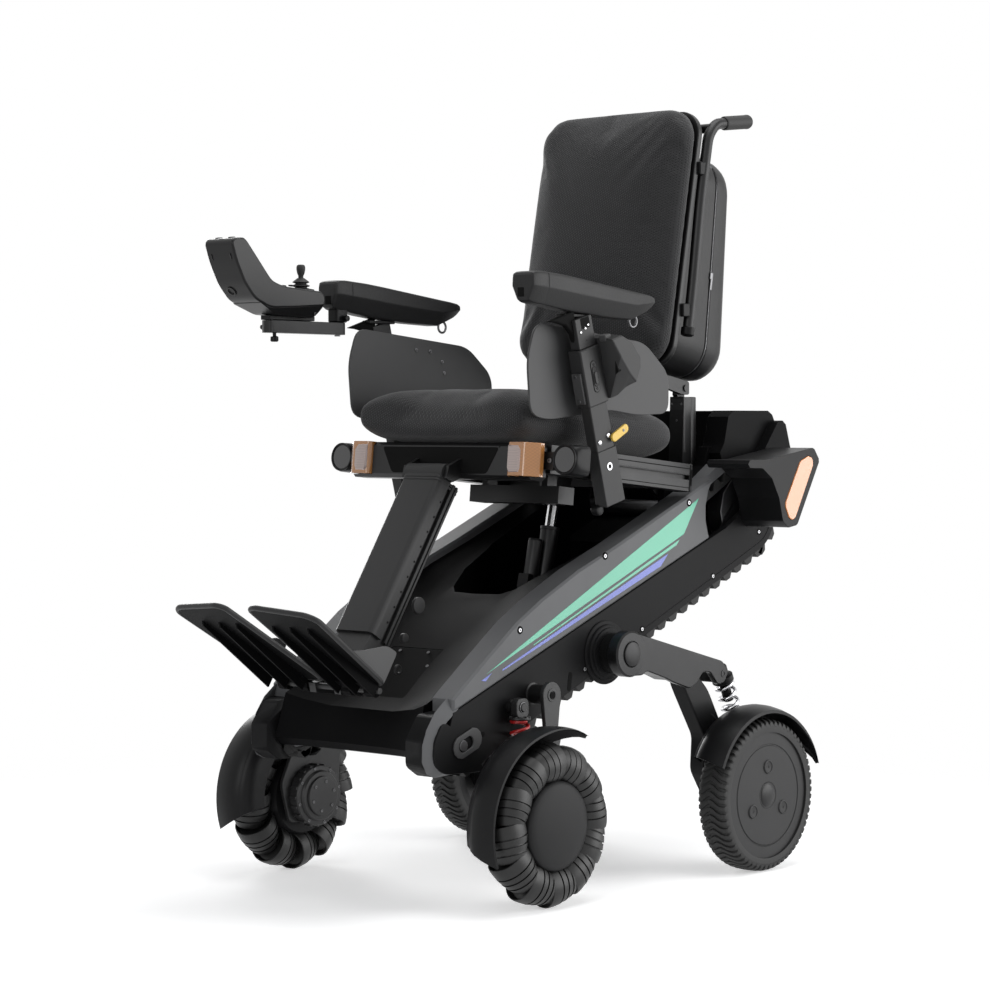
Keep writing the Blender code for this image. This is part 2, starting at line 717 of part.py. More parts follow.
def coil(name, low, high, radius, turns):
    """A helix between two seats as one unbroken tube."""
    place, length = along(low, high)
    height = length - 2 * SPRING_WIRE
    count = round(turns * POINTS_PER_TURN)
    points = []
    for n in range(count + 1):
        angle = 2 * math.pi * n / POINTS_PER_TURN
        spot = Vector((radius * math.cos(angle), radius * math.sin(angle),
                       SPRING_WIRE + height * n / count))
        points.append(place @ spot)
    print(name, "least gap", round(least_gap(points, SPRING_WIRE, POINTS_PER_TURN // 2) * 1000, 2), "mm")
    return tube(points, SPRING_WIRE, roundness=1)


# Front wheels: a ring of overlapping tapered rollers round a smooth cap

ROLLER_TAPER = 0.20
ROLLER_DEPTH = 0.0285       # half the roller's height at its wide end
ROLLER_SKEW = math.radians(7)
ROLLER_SINK = 0.003
GROOVES = (0.48,)
GROOVE_DEPTH = 0.0022
ROLLER_SEAT = 0.080
AXLE_RADIUS = 0.009


def roller_rings():
    """Shares along one roller, and how far each ring there is drawn in by a groove."""
    rings = [(0.0, 0.0)]
    for place in GROOVES:
        rings += [(place - 0.05, 0.0), (place, GROOVE_DEPTH), (place + 0.05, 0.0)]
    rings.append((0.985, 0.0))
    return rings


def omni_wheel():
    """Loft across the wheel: each ring runs round all rollers at one place of their section."""
    middle = FRONT_OUT - FRONT_WIDTH / 2
    stations = [(roller, share, groove) for roller in range(ROLLERS)
                for share, groove in roller_rings()]

    def ring(section):
        spots = []
        for roller, share, groove in stations:
            wide = 1 - ROLLER_TAPER * share
            across = (FRONT_WIDTH / 2 * wide - groove) * math.cos(section)
            half_height = ROLLER_DEPTH * wide - groove
            centre = FRONT_RADIUS - ROLLER_SINK * share - groove - half_height
            radius = centre + half_height * math.sin(section)
            turn = 2 * math.pi * (roller + share) / ROLLERS + ROLLER_SKEW * math.cos(section)
            spots.append((middle + across, FRONT_AXLE[0] + radius * math.cos(turn),
                          FRONT_AXLE[1] + radius * math.sin(turn)))
        return spots

    def seat(side, inset):
        spots = []
        for roller, share, groove in stations:
            turn = 2 * math.pi * (roller + share) / ROLLERS + side * ROLLER_SKEW
            spots.append((middle + side * (FRONT_WIDTH / 2 - inset),
                          FRONT_AXLE[0] + ROLLER_SEAT * math.cos(turn),
                          FRONT_AXLE[1] + ROLLER_SEAT * math.sin(turn)))
        return spots

    sections = [math.radians(angle) for angle in (196, 140, 90, 40, -16)]
    tread = skinned([seat(-1, 0.010), *[ring(section) for section in sections], seat(1, 0.012)])
    face = FRONT_OUT
    cap = FRONT_CAP_RADIUS
    back = FRONT_OUT - FRONT_WIDTH
    dome = turned([(0, face + 0.0020), (cap * 0.70, face), (cap, face - 0.0055), (cap + 0.004, face - 0.016),
                   (0, face - 0.016)], (0, *FRONT_AXLE), (1, 0, 0), 16)
    drum = rod((back, *FRONT_AXLE), (back + 0.012, *FRONT_AXLE), 0.066, 12, 0.074)
    bore = bore_tool((back - 0.01, *FRONT_AXLE), (back + 0.024, *FRONT_AXLE), AXLE_RADIUS + FIT, 12)
    return carved(joined(tread, dome, drum), bore)


# Front legs

LEG_EAR_IN = POD_OUT + 0.0320
LEG_EAR_OUT = POD_OUT + 0.0400
SHOCK_X = POD_OUT + 0.0160
SHOCK_TOP = (-0.3400, 0.302)
SHOCK_LOW = (-0.3400, 0.226)
SPRING_SEAT = 0.004
SEAT_LIP = 0.003        # how far a spring's seat reaches past the middle of its wire
FENDER_CLEAR = 0.012
FENDER_WALL = 0.0035
STATOR_RADIUS = 0.048
FRONT_FENDER = (math.radians(56), math.radians(192))
REAR_FENDER = (math.radians(18), math.radians(152))


def fender(axle, radius, low, high, angles, taper):
    """Arched guard over a wheel, its ends drawn in to a point across the width."""
    outline = []
    steps = 8
    start, stop = angles
    for n in range(steps + 1):
        angle = start + (stop - start) * n / steps
        reach = radius + FENDER_WALL
        outline.append((axle[0] + reach * math.cos(angle), axle[1] + reach * math.sin(angle)))
    for n in range(steps, -1, -1):
        angle = start + (stop - start) * n / steps
        outline.append((axle[0] + radius * math.cos(angle), axle[1] + radius * math.sin(angle)))
    return plate(outline, low, high, edge=taper)


def front_leg():
    """Ear on the pivot, carrier plate, hub motor, shock seat and guard as one part."""
    ear = plate(rounded([(-0.3090, 0.3390), (-0.2670, 0.3390), (-0.2640, 0.255), (-0.286, 0.180),
                         (-0.290, 0.085), (-0.400, 0.085), (-0.418, 0.150), (-0.392, 0.205),
                         (-0.352, SHOCK_LOW[1] - 0.007, 0), (-0.322, SHOCK_LOW[1] - 0.007, 0),
                         (-0.3120, 0.246, 0)], 0.020, 1),
                LEG_EAR_IN, LEG_EAR_OUT)
    seat = rod((SHOCK_X, SHOCK_LOW[0], SHOCK_LOW[1] - 0.012),
               (SHOCK_X, SHOCK_LOW[0], SHOCK_LOW[1] - GAP), FRONT_SPRING_RADIUS + SEAT_LIP, 12)
    ledge = box((SHOCK_X, SHOCK_LOW[0] - 0.010, SHOCK_LOW[1] - 0.0115),
                (LEG_EAR_IN + 0.002, SHOCK_LOW[0] + 0.010, SHOCK_LOW[1] - 0.0075))
    stem = rod((SHOCK_X, SHOCK_LOW[0], SHOCK_LOW[1] - 0.004),
               (SHOCK_X, SHOCK_LOW[0], SHOCK_LOW[1] + 0.020), 0.0055, 8)
    start = FRONT_OUT - FRONT_WIDTH
    stator = turned([(0, LEG_EAR_OUT + 0.004), (0.040, LEG_EAR_OUT + 0.004), (STATOR_RADIUS, LEG_EAR_OUT - 0.004),
                     (STATOR_RADIUS, 0.209), (0.030, 0.2035), (0, 0.2035)],
                    (0, *FRONT_AXLE), (1, 0, 0), 14)
    axle = rod((LEG_EAR_IN, *FRONT_AXLE), (start + 0.020, *FRONT_AXLE), AXLE_RADIUS, 12)
    guard = fender(FRONT_AXLE, FRONT_RADIUS + FENDER_CLEAR, LEG_EAR_IN + 0.002, FRONT_OUT - 0.005,
                   FRONT_FENDER, 0.0)
    cheek = plate(crescent(FRONT_AXLE, 0.095, FRONT_RADIUS + FENDER_CLEAR + 0.002,
                           math.radians(62), math.radians(205)), LEG_EAR_IN + 0.0005, LEG_EAR_OUT - 0.0005)
    body = joined(ear, ledge, seat, stem, stator, axle, guard, cheek)
    hole = bore_tool((0.2, *LEG_PIVOT), (0.3, *LEG_PIVOT), PIN_RADIUS + FIT, 12)
    return carved(body, hole)


def crescent(axle, inner, outer, start, stop, steps=7):
    outline = []
    for n in range(steps + 1):
        angle = start + (stop - start) * n / steps
        outline.append((axle[0] + outer * math.cos(angle), axle[1] + outer * math.sin(angle)))
    for n in range(steps, -1, -1):
        angle = start + (stop - start) * n / steps
        outline.append((axle[0] + inner * math.cos(angle), axle[1] + inner * math.sin(angle)))
    return outline


def front_shock():
    """The fixed upper seat hangs from the cover's boss, so it belongs to the cover."""
    low = SHOCK_TOP[1] - 0.016
    eye = plate(rounded([(SHOCK_TOP[0] - 0.011, low), (SHOCK_TOP[0] + 0.011, low),
                         (SHOCK_TOP[0] + 0.011, SHOCK_TOP[1] + 0.012),
                         (SHOCK_TOP[0] - 0.011, SHOCK_TOP[1] + 0.012)], 0.008, 1),
                SHOCK_X - 0.006, SHOCK_X + 0.006)
    disc = rod((SHOCK_X, SHOCK_TOP[0], low - SPRING_SEAT), (SHOCK_X, SHOCK_TOP[0], low + 0.001),
               FRONT_SPRING_RADIUS + SEAT_LIP, 12)
    return eye, disc


def front_spring():
    low = (SHOCK_X, SHOCK_LOW[0], SHOCK_LOW[1])
    high = (SHOCK_X, SHOCK_TOP[0], SHOCK_TOP[1] - 0.016 - SPRING_SEAT - GAP)
    return coil("front spring", low, high, FRONT_SPRING_RADIUS, FRONT_SPRING_TURNS)


# Rear swing arms and struts

ARM_STUB_RADIUS = 0.024
ARM_IN = POD_OUT + 0.0145
ARM_OUT = POD_OUT + 0.0555
ARM_HUB_OUT = POD_OUT + 0.0520
ARM_HUB_RADIUS = 0.0355
CHEEK_IN = POD_OUT + 0.0450
STRUT_IN = POD_OUT + 0.0150
STRUT_OUT = CHEEK_IN - GAP
STRUT_HEAD = 0.0215
STRUT_PIN = 0.0085
STRUT_CLEAR = 0.0015    # round the strut's head in the arm
REAR_SPRING_X = POD_OUT + 0.0350
REAR_SPRING_TOP = (0.1530, 0.3080)
REAR_SPRING_LOW = (0.1830, 0.2430)
REAR_DRUM_RADIUS = 0.040
FENDER_WEB = POD_OUT + 0.0665


def swing_arm():
    outline = rounded([(-0.1090, 0.4070, 0), (0.1255, 0.3460), (0.1390, 0.3270), (0.1310, 0.3110),
                       (0.1120, 0.3070), (0.0910, 0.3300), (0.0720, 0.3310), (0.0560, 0.3140),
                       (0.0380, 0.3060), (-0.0020, 0.3180), (-0.0280, 0.3280), (-0.0740, 0.3425),
                       (-0.0840, 0.3360), (-0.1200, 0.3370, 0)], 0.005, 1)
    beam = plate(outline, ARM_IN, ARM_OUT)
    hub = rod((ARM_IN - 0.0010, *ARM_PIVOT), (ARM_OUT, *ARM_PIVOT), ARM_HUB_RADIUS, 18)
    roof = []
    for n in range(6):
        angle = math.radians(195 - 34 * n)
        reach = (STRUT_HEAD + STRUT_CLEAR) / math.cos(math.radians(17))
        roof.append((STRUT_PIVOT[0] + reach * math.cos(angle), STRUT_PIVOT[1] + reach * math.sin(angle)))
    room = plate([(0.004, 0.2800), *roof, (0.1040, 0.3340), (0.1040, 0.2800)], 0.2, CHEEK_IN)
    body = carved(joined(beam, hub), room)
    pin = rod((STRUT_IN + 0.001, *STRUT_PIVOT), (CHEEK_IN + 0.004, *STRUT_PIVOT), STRUT_PIN, 12)
    axis = (Vector((0, *REAR_SPRING_LOW)) - Vector((0, *REAR_SPRING_TOP))).normalized()
    top = Vector((REAR_SPRING_X, *REAR_SPRING_TOP))
    seat = rod(top - axis * 0.013, top - axis * GAP, REAR_SPRING_RADIUS + SEAT_LIP, 10)
    damper = rod(top - axis * 0.006, top + axis * 0.034, 0.0085, 8)
    bore = bore_tool((0.2, *ARM_PIVOT), (ARM_HUB_OUT - 0.0055, *ARM_PIVOT), ARM_STUB_RADIUS + FIT, 12)
    body = joined(body, pin, seat, damper)
    cap = rod((ARM_OUT - 0.002, *ARM_PIVOT), (ARM_OUT + 0.0030, *ARM_PIVOT), 0.0190, 12, 0.0165)
    return carved(joined(body, cap), bore)


def rear_strut():
    bar = plate(rounded([(0.030, 0.318), (0.055, 0.341), (0.100, 0.300), (0.136, 0.240),
                         (0.180, 0.150), (0.180, 0.100), (0.130, 0.100), (0.086, 0.165),
                         (0.090, 0.222), (0.040, 0.300)], 0.008, 1), STRUT_IN, STRUT_OUT)
    head = rod((STRUT_IN, *STRUT_PIVOT), (STRUT_OUT, *STRUT_PIVOT), STRUT_HEAD, 14)
    drum = rod((STRUT_IN - 0.006, *REAR_AXLE), (FENDER_WEB, *REAR_AXLE), REAR_DRUM_RADIUS, 16)
    axle = rod((FENDER_WEB - 0.004, *REAR_AXLE), (REAR_OUT - REAR_WIDTH + 0.020, *REAR_AXLE),
               AXLE_RADIUS, 12)
    axis = (Vector((0, *REAR_SPRING_TOP)) - Vector((0, *REAR_SPRING_LOW))).normalized()
    low = Vector((REAR_SPRING_X, *REAR_SPRING_LOW))
    seat = rod(low - axis * 0.008, low - axis * GAP, REAR_SPRING_RADIUS + SEAT_LIP, 10)
    post = rod(low - axis * 0.002, low + axis * 0.010, 0.006, 6)
    bracket = plate(rounded([(0.105, 0.250), (0.150, 0.232), (0.200, 0.236), (0.197, 0.226),
                             (0.150, 0.205), (0.110, 0.200)], 0, 1),
                    REAR_SPRING_X - 0.010, STRUT_OUT)
    guard = fender(REAR_AXLE, REAR_RADIUS + FENDER_CLEAR, FENDER_WEB - 0.0045, REAR_OUT,
                   REAR_FENDER, 0.0)
    web = plate(crescent(REAR_AXLE, REAR_DRUM_RADIUS - 0.004, REAR_RADIUS + FENDER_CLEAR + 0.001,
                         math.radians(78), math.radians(128), 5), FENDER_WEB - 0.004, FENDER_WEB)
    body = joined(bar, head, drum, axle, bracket, seat, post, guard, web)
    hole = bore_tool((0.2, *STRUT_PIVOT), (0.3, *STRUT_PIVOT), STRUT_PIN + FIT, 12)
    return carved(body, hole)


def rear_spring():
    low = (REAR_SPRING_X, *REAR_SPRING_LOW)
    high = (REAR_SPRING_X, *REAR_SPRING_TOP)
    return coil("rear spring", low, high, REAR_SPRING_RADIUS, REAR_SPRING_TURNS)


# Rear wheels

DISC_RADIUS = 0.113
TYRE_STEPS = 20


def rear_wheel():
    face = REAR_OUT - 0.0007
    back = REAR_OUT - REAR_WIDTH + 0.0013
    return turned([(0, face + 0.0040), (0.0175, face + 0.0030), (0.0190, face),
                   (DISC_RADIUS, face), (DISC_RADIUS, face - 0.0065),
                   (REAR_RIM_RADIUS, face - 0.0085), (REAR_RIM_RADIUS, back),
                   (AXLE_RADIUS + FIT, back), (AXLE_RADIUS + FIT, back + 0.026), (0, back + 0.026)],
                  (0, *REAR_AXLE), (1, 0, 0), TYRE_STEPS)


def rear_tyre():
    """Tyre on the rim: its seat, soft shoulders and crown."""
    low = REAR_OUT - REAR_WIDTH
    high = REAR_OUT - 0.0015
    snug = 1 / math.cos(math.pi / TYRE_STEPS)
    seat = (REAR_RIM_RADIUS + GAP) * snug
    rim = (DISC_RADIUS + GAP) * snug
    face = REAR_OUT - 0.0072 - GAP
    profile = [(seat, face - 0.0022), (rim, face), (rim, high), (0.1205, high),
               (REAR_RADIUS - 0.0010, high - 0.011), (REAR_RADIUS, (low + high) / 2),
               (REAR_RADIUS - 0.0010, low + 0.011), (0.1150, low), (seat, low + 0.004)]
    rings = []
    for n in range(TYRE_STEPS):
        angle = 2 * math.pi * n / TYRE_STEPS
        rings.append([(across, REAR_AXLE[0] + radius * math.cos(angle),
                       REAR_AXLE[1] + radius * math.sin(angle)) for radius, across in profile])
    return skinned(rings, closed=True)


# Seat. Its own frame starts at the tilt pivot: Y runs back along the seat, Z up from it.

RAIL_IN = 0.170
RAIL_OUT = 0.205
RAIL_TOP = 0.0420
SLOT_DEPTH = 0.0070
BAR_FRONT = -0.4130
BAR_BACK = -0.3730
BAR_LOW = -0.0160
RAIL_REAR = -0.0200
PAN_THICK = 0.0050
LIFT_FOOT = (-0.045, 0.445)
LIFT_HEAD = (-0.008, 0.612)
LIFT_TUBE_RADIUS = 0.0155
LIFT_ROD_RADIUS = 0.0090
LIFT_PIN_RADIUS = 0.0055
LIFT_HEAD_PLAY = 0.0018
SEAT_EAR = (0.1245, 0.1335)
HULL_EAR = (0.1365, 0.1475)
POST_X = (0.094, 0.126)
RECLINE_PIN = 0.006
RECLINE_POST_LOW = 0.6560
RECLINE_POST_TOP = 0.7820
LAMP_IN = 0.2225


def seated(item):
    """From the seat's frame to the drawing frame."""
    item.data.transform(Matrix.Translation((0, *SEAT_PIVOT)) @ Matrix.Rotation(-SEAT_TILT, 4, "X"))
    return item


def seat_spot(point):
    """A (Y, Z) spot of the drawing frame in the seat's frame."""
    flat = Matrix.Rotation(SEAT_TILT, 2) @ (Vector(point) - Vector(SEAT_PIVOT))
    return tuple(flat)


def rail():
    """Extruded rail with a slot down its outer side."""
    low = RAIL_TOP - RAIL_HEIGHT
    body = box((RAIL_IN, BAR_BACK - 0.002, low), (RAIL_OUT, RAIL_REAR, RAIL_TOP))
    middle = (low + RAIL_TOP) / 2
    slot = box((RAIL_OUT - SLOT_DEPTH, BAR_BACK + 0.05, middle - 0.004),
               (RAIL_OUT + 0.01, RAIL_REAR + 0.01, middle + 0.004))
    return carved(body, slot)


def seat_frame():
    """Front bar, slotted rails, pan, lift lugs, tilt ears, recline posts and leg rest ears."""
    left = rail()
    right = mirrored(left)
    bar = box((-0.200, BAR_FRONT, BAR_LOW), (0.200, BAR_BACK, RAIL_TOP), 0.006)
    pan = box((-RAIL_IN - 0.002, BAR_BACK - 0.002, RAIL_TOP - PAN_THICK),
              (RAIL_IN + 0.002, RAIL_REAR - 0.002, RAIL_TOP - 0.0004))
    rear = box((-RAIL_IN - 0.002, RAIL_REAR - 0.032, -0.001), (RAIL_IN + 0.002, RAIL_REAR - 0.004,
                                                              RAIL_TOP - 0.0006))
    frame = joined(bar, left, right, pan, rear)
    parts = []
    head = seat_spot(LIFT_HEAD)
    for side in (-1, 1):
        ends = sorted((side * SEAT_EAR[0], side * SEAT_EAR[1]))
        ear = plate(rounded([(RAIL_REAR - 0.034, 0.010), (-0.013, -0.013), (0.013, -0.013),
                             (0.013, 0.013), (RAIL_REAR - 0.010, 0.036), (RAIL_REAR - 0.034, 0.036)],
                            0.006, 1), *ends)
        hole = bore_tool((-0.2, 0, 0), (0.2, 0, 0), LIFT_PIN_RADIUS + 0.002 + FIT, 8)
        parts.append(carved(ear, hole))
        ends = sorted((side * (LIFT_ROD_RADIUS + 0.002), side * (LIFT_ROD_RADIUS + 0.009)))
        parts.append(plate([(head[0] - 0.030, RAIL_TOP - 0.003), (head[0] - 0.010, head[1] - 0.010),
                            (head[0] + 0.010, head[1] - 0.010), (head[0] + 0.030, RAIL_TOP - 0.003)], *ends))
        ends = sorted((side * POST_X[0], side * POST_X[1]))
        foot = plate(rounded([(RAIL_REAR - 0.026, 0.012), (RAIL_REAR - 0.026, 0.036),
                              (RAIL_REAR + 0.020, 0.038), (0.062, 0.046), (0.102, 0.046),
                              (0.102, 0.030), (0.070, 0.026), (0.045, 0.012)], 0, 1), *ends)
        parts.append(foot)
        centre = side * sum(POST_X) / 2
        base = seat_spot((RECLINE_PIVOT[0] + 0.012, RECLINE_POST_LOW))
        top = seat_spot((RECLINE_PIVOT[0] + 0.012, RECLINE_POST_TOP))
        parts.append(rod((centre, *base), (centre, *top), 0.0155, 10))
        flat = plate([(base[0] - 0.030, base[1]), (base[0] - 0.006, base[1] + 0.002),
                      (top[0] - 0.004, top[1] + 0.001), (top[0] - 0.026, top[1] + 0.001)],
                     ends[0] + 0.001, ends[1] - 0.001)
        parts.append(flat)
        pivot = seat_spot(RECLINE_PIVOT)
        ends = sorted((side * (POST_X[0] + 0.004), side * (POST_X[0] + 0.014)))
        eye = plate(rounded([(pivot[0] - 0.011, top[1] - 0.004), (pivot[0] + 0.011, top[1] - 0.004),
                             (pivot[0] + 0.009, pivot[1] + 0.009), (pivot[0] - 0.009, pivot[1] + 0.009)],
                            0.008, 1), *ends)
        pin_end = side * (POST_X[0] + 0.026)
        pin = rod((side * (POST_X[0] + 0.006), *pivot), (pin_end, *pivot), RECLINE_PIN, 8)
        parts += [eye, pin]
        ends = sorted((side * (RAIL_OUT - 0.006), side * (LAMP_IN - GAP)))
        parts.append(box((ends[0], -0.388, 0.002), (ends[1], -0.366, 0.030)))
        ends = sorted((side * (LEG_HALF + 0.0008), side * (LEG_HALF + 0.008)))
        spot = seat_spot(LEG_PIVOT_TOP)
        parts.append(plate([(BAR_FRONT + 0.004, BAR_LOW + 0.034), (spot[0] - 0.008, spot[1] + 0.012),
                            (spot[0] - 0.012, spot[1] - 0.008), (spot[0] + 0.004, spot[1] - 0.013),
                            (BAR_FRONT + 0.004, BAR_LOW + 0.002)], *ends))
    lift_pin = rod((-LIFT_ROD_RADIUS - 0.006, *head), (LIFT_ROD_RADIUS + 0.006, *head), LIFT_PIN_RADIUS)
    spot = seat_spot(LEG_PIVOT_TOP)
    leg_pin = rod((-LEG_HALF - 0.006, *spot), (LEG_HALF + 0.006, *spot), LEG_PIN_RADIUS)
    motor = box((-0.040, -0.292, -0.045), (0.153, -0.254, -0.017))
    hanger_a = box((-0.020, -0.285, -0.020), (-0.008, -0.262, RAIL_TOP - PAN_THICK + 0.001))
    hanger_b = box((0.110, -0.285, -0.020), (0.122, -0.262, RAIL_TOP - PAN_THICK + 0.001))
    frame = joined(frame, *parts, lift_pin, leg_pin, motor, hanger_a, hanger_b)
    for side in (-1, 1):
        start, stop = sorted((side * 0.1500, side * 0.22))
        frame = carved(frame, box((start, BAR_FRONT - 0.02, -0.0115), (stop, CORNER_BACK, RAIL_TOP + 0.01)))
    return seated(frame)


CORNER_BACK = -0.3960


def corner_lamp():
    """Wrapped indicator at the bar's end: chamfered towards the side."""
    outline = rounded([(0.1500 + GAP, CORNER_BACK - GAP), (0.1500 + GAP, BAR_FRONT - 0.001),
                       (0.1560, BAR_FRONT - 0.008), (0.1900, BAR_FRONT - 0.009), (0.2120, -0.404),
                       (0.2120, -0.3965 + 0.003), (0.2010, CORNER_BACK - GAP, 0)], 0.003, 1)
    return seated(plate(outline, -0.0110, RAIL_TOP + 0.0005, plane=FLOOR))


def headlamp():
    """Round lens ahead of a square housing."""
    centre = (0.2461, -0.3745, 0.0180)
    rings = []
    for back, half, power in ((-0.016, 0.0230, 2.0), (-0.0105, 0.0248, 2.4), (0.0165, 0.0240, 6.0)):
        ring = []
        for n in range(16):
            angle = 2 * math.pi * (n + 0.5) / 16
            c, s = math.cos(angle), math.sin(angle)
            reach = half / (abs(c) ** power + abs(s) ** power) ** (1 / power)
            across = max(-0.0233, reach * c)
            ring.append((centre[0] + across, centre[1] + back, centre[2] + reach * s))
        rings.append(ring)
    body = skinned(rings)
    dish = rod((centre[0], centre[1] - 0.03, centre[2]), (centre[0], centre[1] - 0.0145, centre[2]),
               0.0195, 16)
    return seated(carved(body, dish))


def swell(rings, levels=1):
    """A cage with Subdivision Surface, for a padded form."""
    cage = skinned(rings)
    soft = cage.modifiers.new("soft", "SUBSURF")
    soft.levels = levels
    soft.render_levels = levels
    return baked(cage)


CUSHION_FRONT = -0.424
CUSHION_REAR = -0.045
CUSHION_BASE = RAIL_TOP + GAP
CUSHION_SEAM = 0.004    # what lies this close to a cushion's back goes flat onto it


def seat_cushion():
    """Side bolsters and a middle dip, a rolled front edge and drawn-in sides."""
    stations = ((CUSHION_FRONT, 0.55, 0.35), (CUSHION_FRONT + 0.010, 0.92, 0.80),
                (CUSHION_FRONT + 0.055, 1.0, 1.0), (-0.24, 1.0, 1.0),
                (CUSHION_REAR - 0.020, 0.99, 0.90), (CUSHION_REAR, 0.80, 0.50))
    shape = ((-0.985, 0.0), (-1.0, 0.45), (-0.95, 0.85), (-0.72, 1.00), (-0.30, 0.80),
             (0.30, 0.80), (0.72, 1.00), (0.95, 0.85), (1.0, 0.45), (0.985, 0.0), (0.0, 0.0))
    height = 0.0850
    rings = []
    for along_seat, wide, tall in stations:
        lift = 0.30 * height * (1 - tall)
        rings.append([(CUSHION_HALF * wide * x, along_seat, CUSHION_BASE + lift + height * tall * z)
                      for x, z in shape])
    cushion = swell(rings)
    lowest = min(spot.co.z for spot in cushion.data.vertices)
    for spot in cushion.data.vertices:
        if spot.co.z < lowest + CUSHION_SEAM:
            spot.co.z = CUSHION_BASE
    return seated(cushion)


# Lift under the seat

def lift_axis():
    return (Vector((0, *LIFT_HEAD)) - Vector((0, *LIFT_FOOT))).normalized()


LIFT_TUBE_LENGTH = 0.124
LIFT_STROKE_ROOM = 0.012


def lift_tube():
    axis = lift_axis()
    foot = Vector((0, *LIFT_FOOT))
    body = rod(foot + axis * 0.016, foot + axis * LIFT_TUBE_LENGTH, LIFT_TUBE_RADIUS, 14)
    eye = rod((-LIFT_TUBE_RADIUS + 0.002, *LIFT_FOOT), (LIFT_TUBE_RADIUS - 0.002, *LIFT_FOOT), 0.0125, 10)
    neck = rod(foot, foot + axis * 0.020, 0.0105, 8)
    motor_foot = foot + Vector((0, -0.030, 0.012))
    motor = rod(motor_foot + axis * 0.018, motor_foot + axis * 0.092, 0.0120, 10)
    gear = plate(rounded([(LIFT_FOOT[0] - 0.046, LIFT_FOOT[1] + 0.022),
                          (LIFT_FOOT[0] + 0.004, LIFT_FOOT[1] + 0.014),
                          (LIFT_FOOT[0] + 0.008, LIFT_FOOT[1] + 0.034),
                          (LIFT_FOOT[0] - 0.040, LIFT_FOOT[1] + 0.046)], 0, 1), -0.011, 0.011)
    body = joined(body, neck, eye, motor, gear)
    bore = bore_tool(foot + axis * 0.030, foot + axis * 0.2, LIFT_ROD_RADIUS + GAP, 10)
    pin = bore_tool((-0.05, *LIFT_FOOT), (0.05, *LIFT_FOOT), LIFT_PIN_RADIUS + FIT, 10)
    return carved(body, bore, pin)


def lift_rod():
    axis = lift_axis()
    foot = Vector((0, *LIFT_FOOT))
    head = Vector((0, *LIFT_HEAD))
    bar = bore_tool(foot + axis * (0.030 + LIFT_STROKE_ROOM), head - axis * 0.004, LIFT_ROD_RADIUS, 10)
    eye = rod((-LIFT_ROD_RADIUS, *LIFT_HEAD), (LIFT_ROD_RADIUS, *LIFT_HEAD), 0.0118, 12)
    hole = bore_tool((-0.05, *LIFT_HEAD), (0.05, *LIFT_HEAD), LIFT_PIN_RADIUS + LIFT_HEAD_PLAY, 10)
    return carved(joined(bar, eye), hole)


# Backrest. Its own frame starts at the shell's lower edge and leans back.

BACK_LOW = 0.830
BACK_TOP = 1.268
BACK_FRONT_Y = 0.0870       # of the padded face at one metre height
BACK_SHELL_Y = 0.1410
BACK_LENGTH = (BACK_TOP - BACK_LOW) / math.cos(BACK_ANGLE)
BACK_DEPTH = (BACK_SHELL_Y - BACK_FRONT_Y) * math.cos(BACK_ANGLE)
SHELL_THICK = 0.012
BACK_CORNER = 0.045


def leaned(item):
    """From the backrest's frame, Y back from the shell's rear face and Z up it."""
    base = Vector((0, board_rear(BACK_LOW), BACK_LOW))
    item.data.transform(Matrix.Translation(base) @ Matrix.Rotation(-BACK_ANGLE, 4, "X"))
    return item


def board_rear(height):
    """Where the backboard's rear face lies at that height."""
    return BACK_SHELL_Y + (height - 1) * math.tan(BACK_ANGLE)


def behind_back(out, share):
    """A spot that far behind the backboard, at that share of the backrest's height."""
    height = BACK_LOW + share * (BACK_TOP - BACK_LOW)
    return (board_rear(height) + out, height)


def backrest_cushion():
    """Padded face with a soft crown, drawn in round its edge."""
    layers = ((0.0, 0.975, 0.985), (0.60, 1.0, 1.0), (0.96, 0.95, 0.965), (1.02, 0.62, 0.72))
    deep = BACK_DEPTH - SHELL_THICK - GAP
    middle = BACK_LENGTH / 2
    rings = []
    for share, wide, tall in layers:
        ring = []
        for n in range(12):
            angle = 2 * math.pi * (n + 0.5) / 12
            c, s = math.cos(angle), math.sin(angle)
            reach = 1.02 / (abs(c) ** 6 + abs(s) ** 6) ** (1 / 6)
            ring.append((BACK_HALF * wide * reach * c, -SHELL_THICK - GAP - deep * share,
                         middle + middle * tall * reach * s))
        rings.append(ring)
    cushion = swell(rings)
    rearmost = max(spot.co.y for spot in cushion.data.vertices)
    for spot in cushion.data.vertices:
        if spot.co.y > rearmost - CUSHION_SEAM:
            spot.co.y = -SHELL_THICK - GAP
    return leaned(cushion)


PUSH_X = BACK_HALF
PUSH_SHARES = ((0.0231, 0.1301), (0.0211, 0.3379), (0.0141, 0.6553), (0.0160, 0.9132),
               (0.0366, 0.9543), (0.1225, 0.9795))     # out behind the board, share of height
PUSH_PATH = tuple(behind_back(out, share) for out, share in PUSH_SHARES)


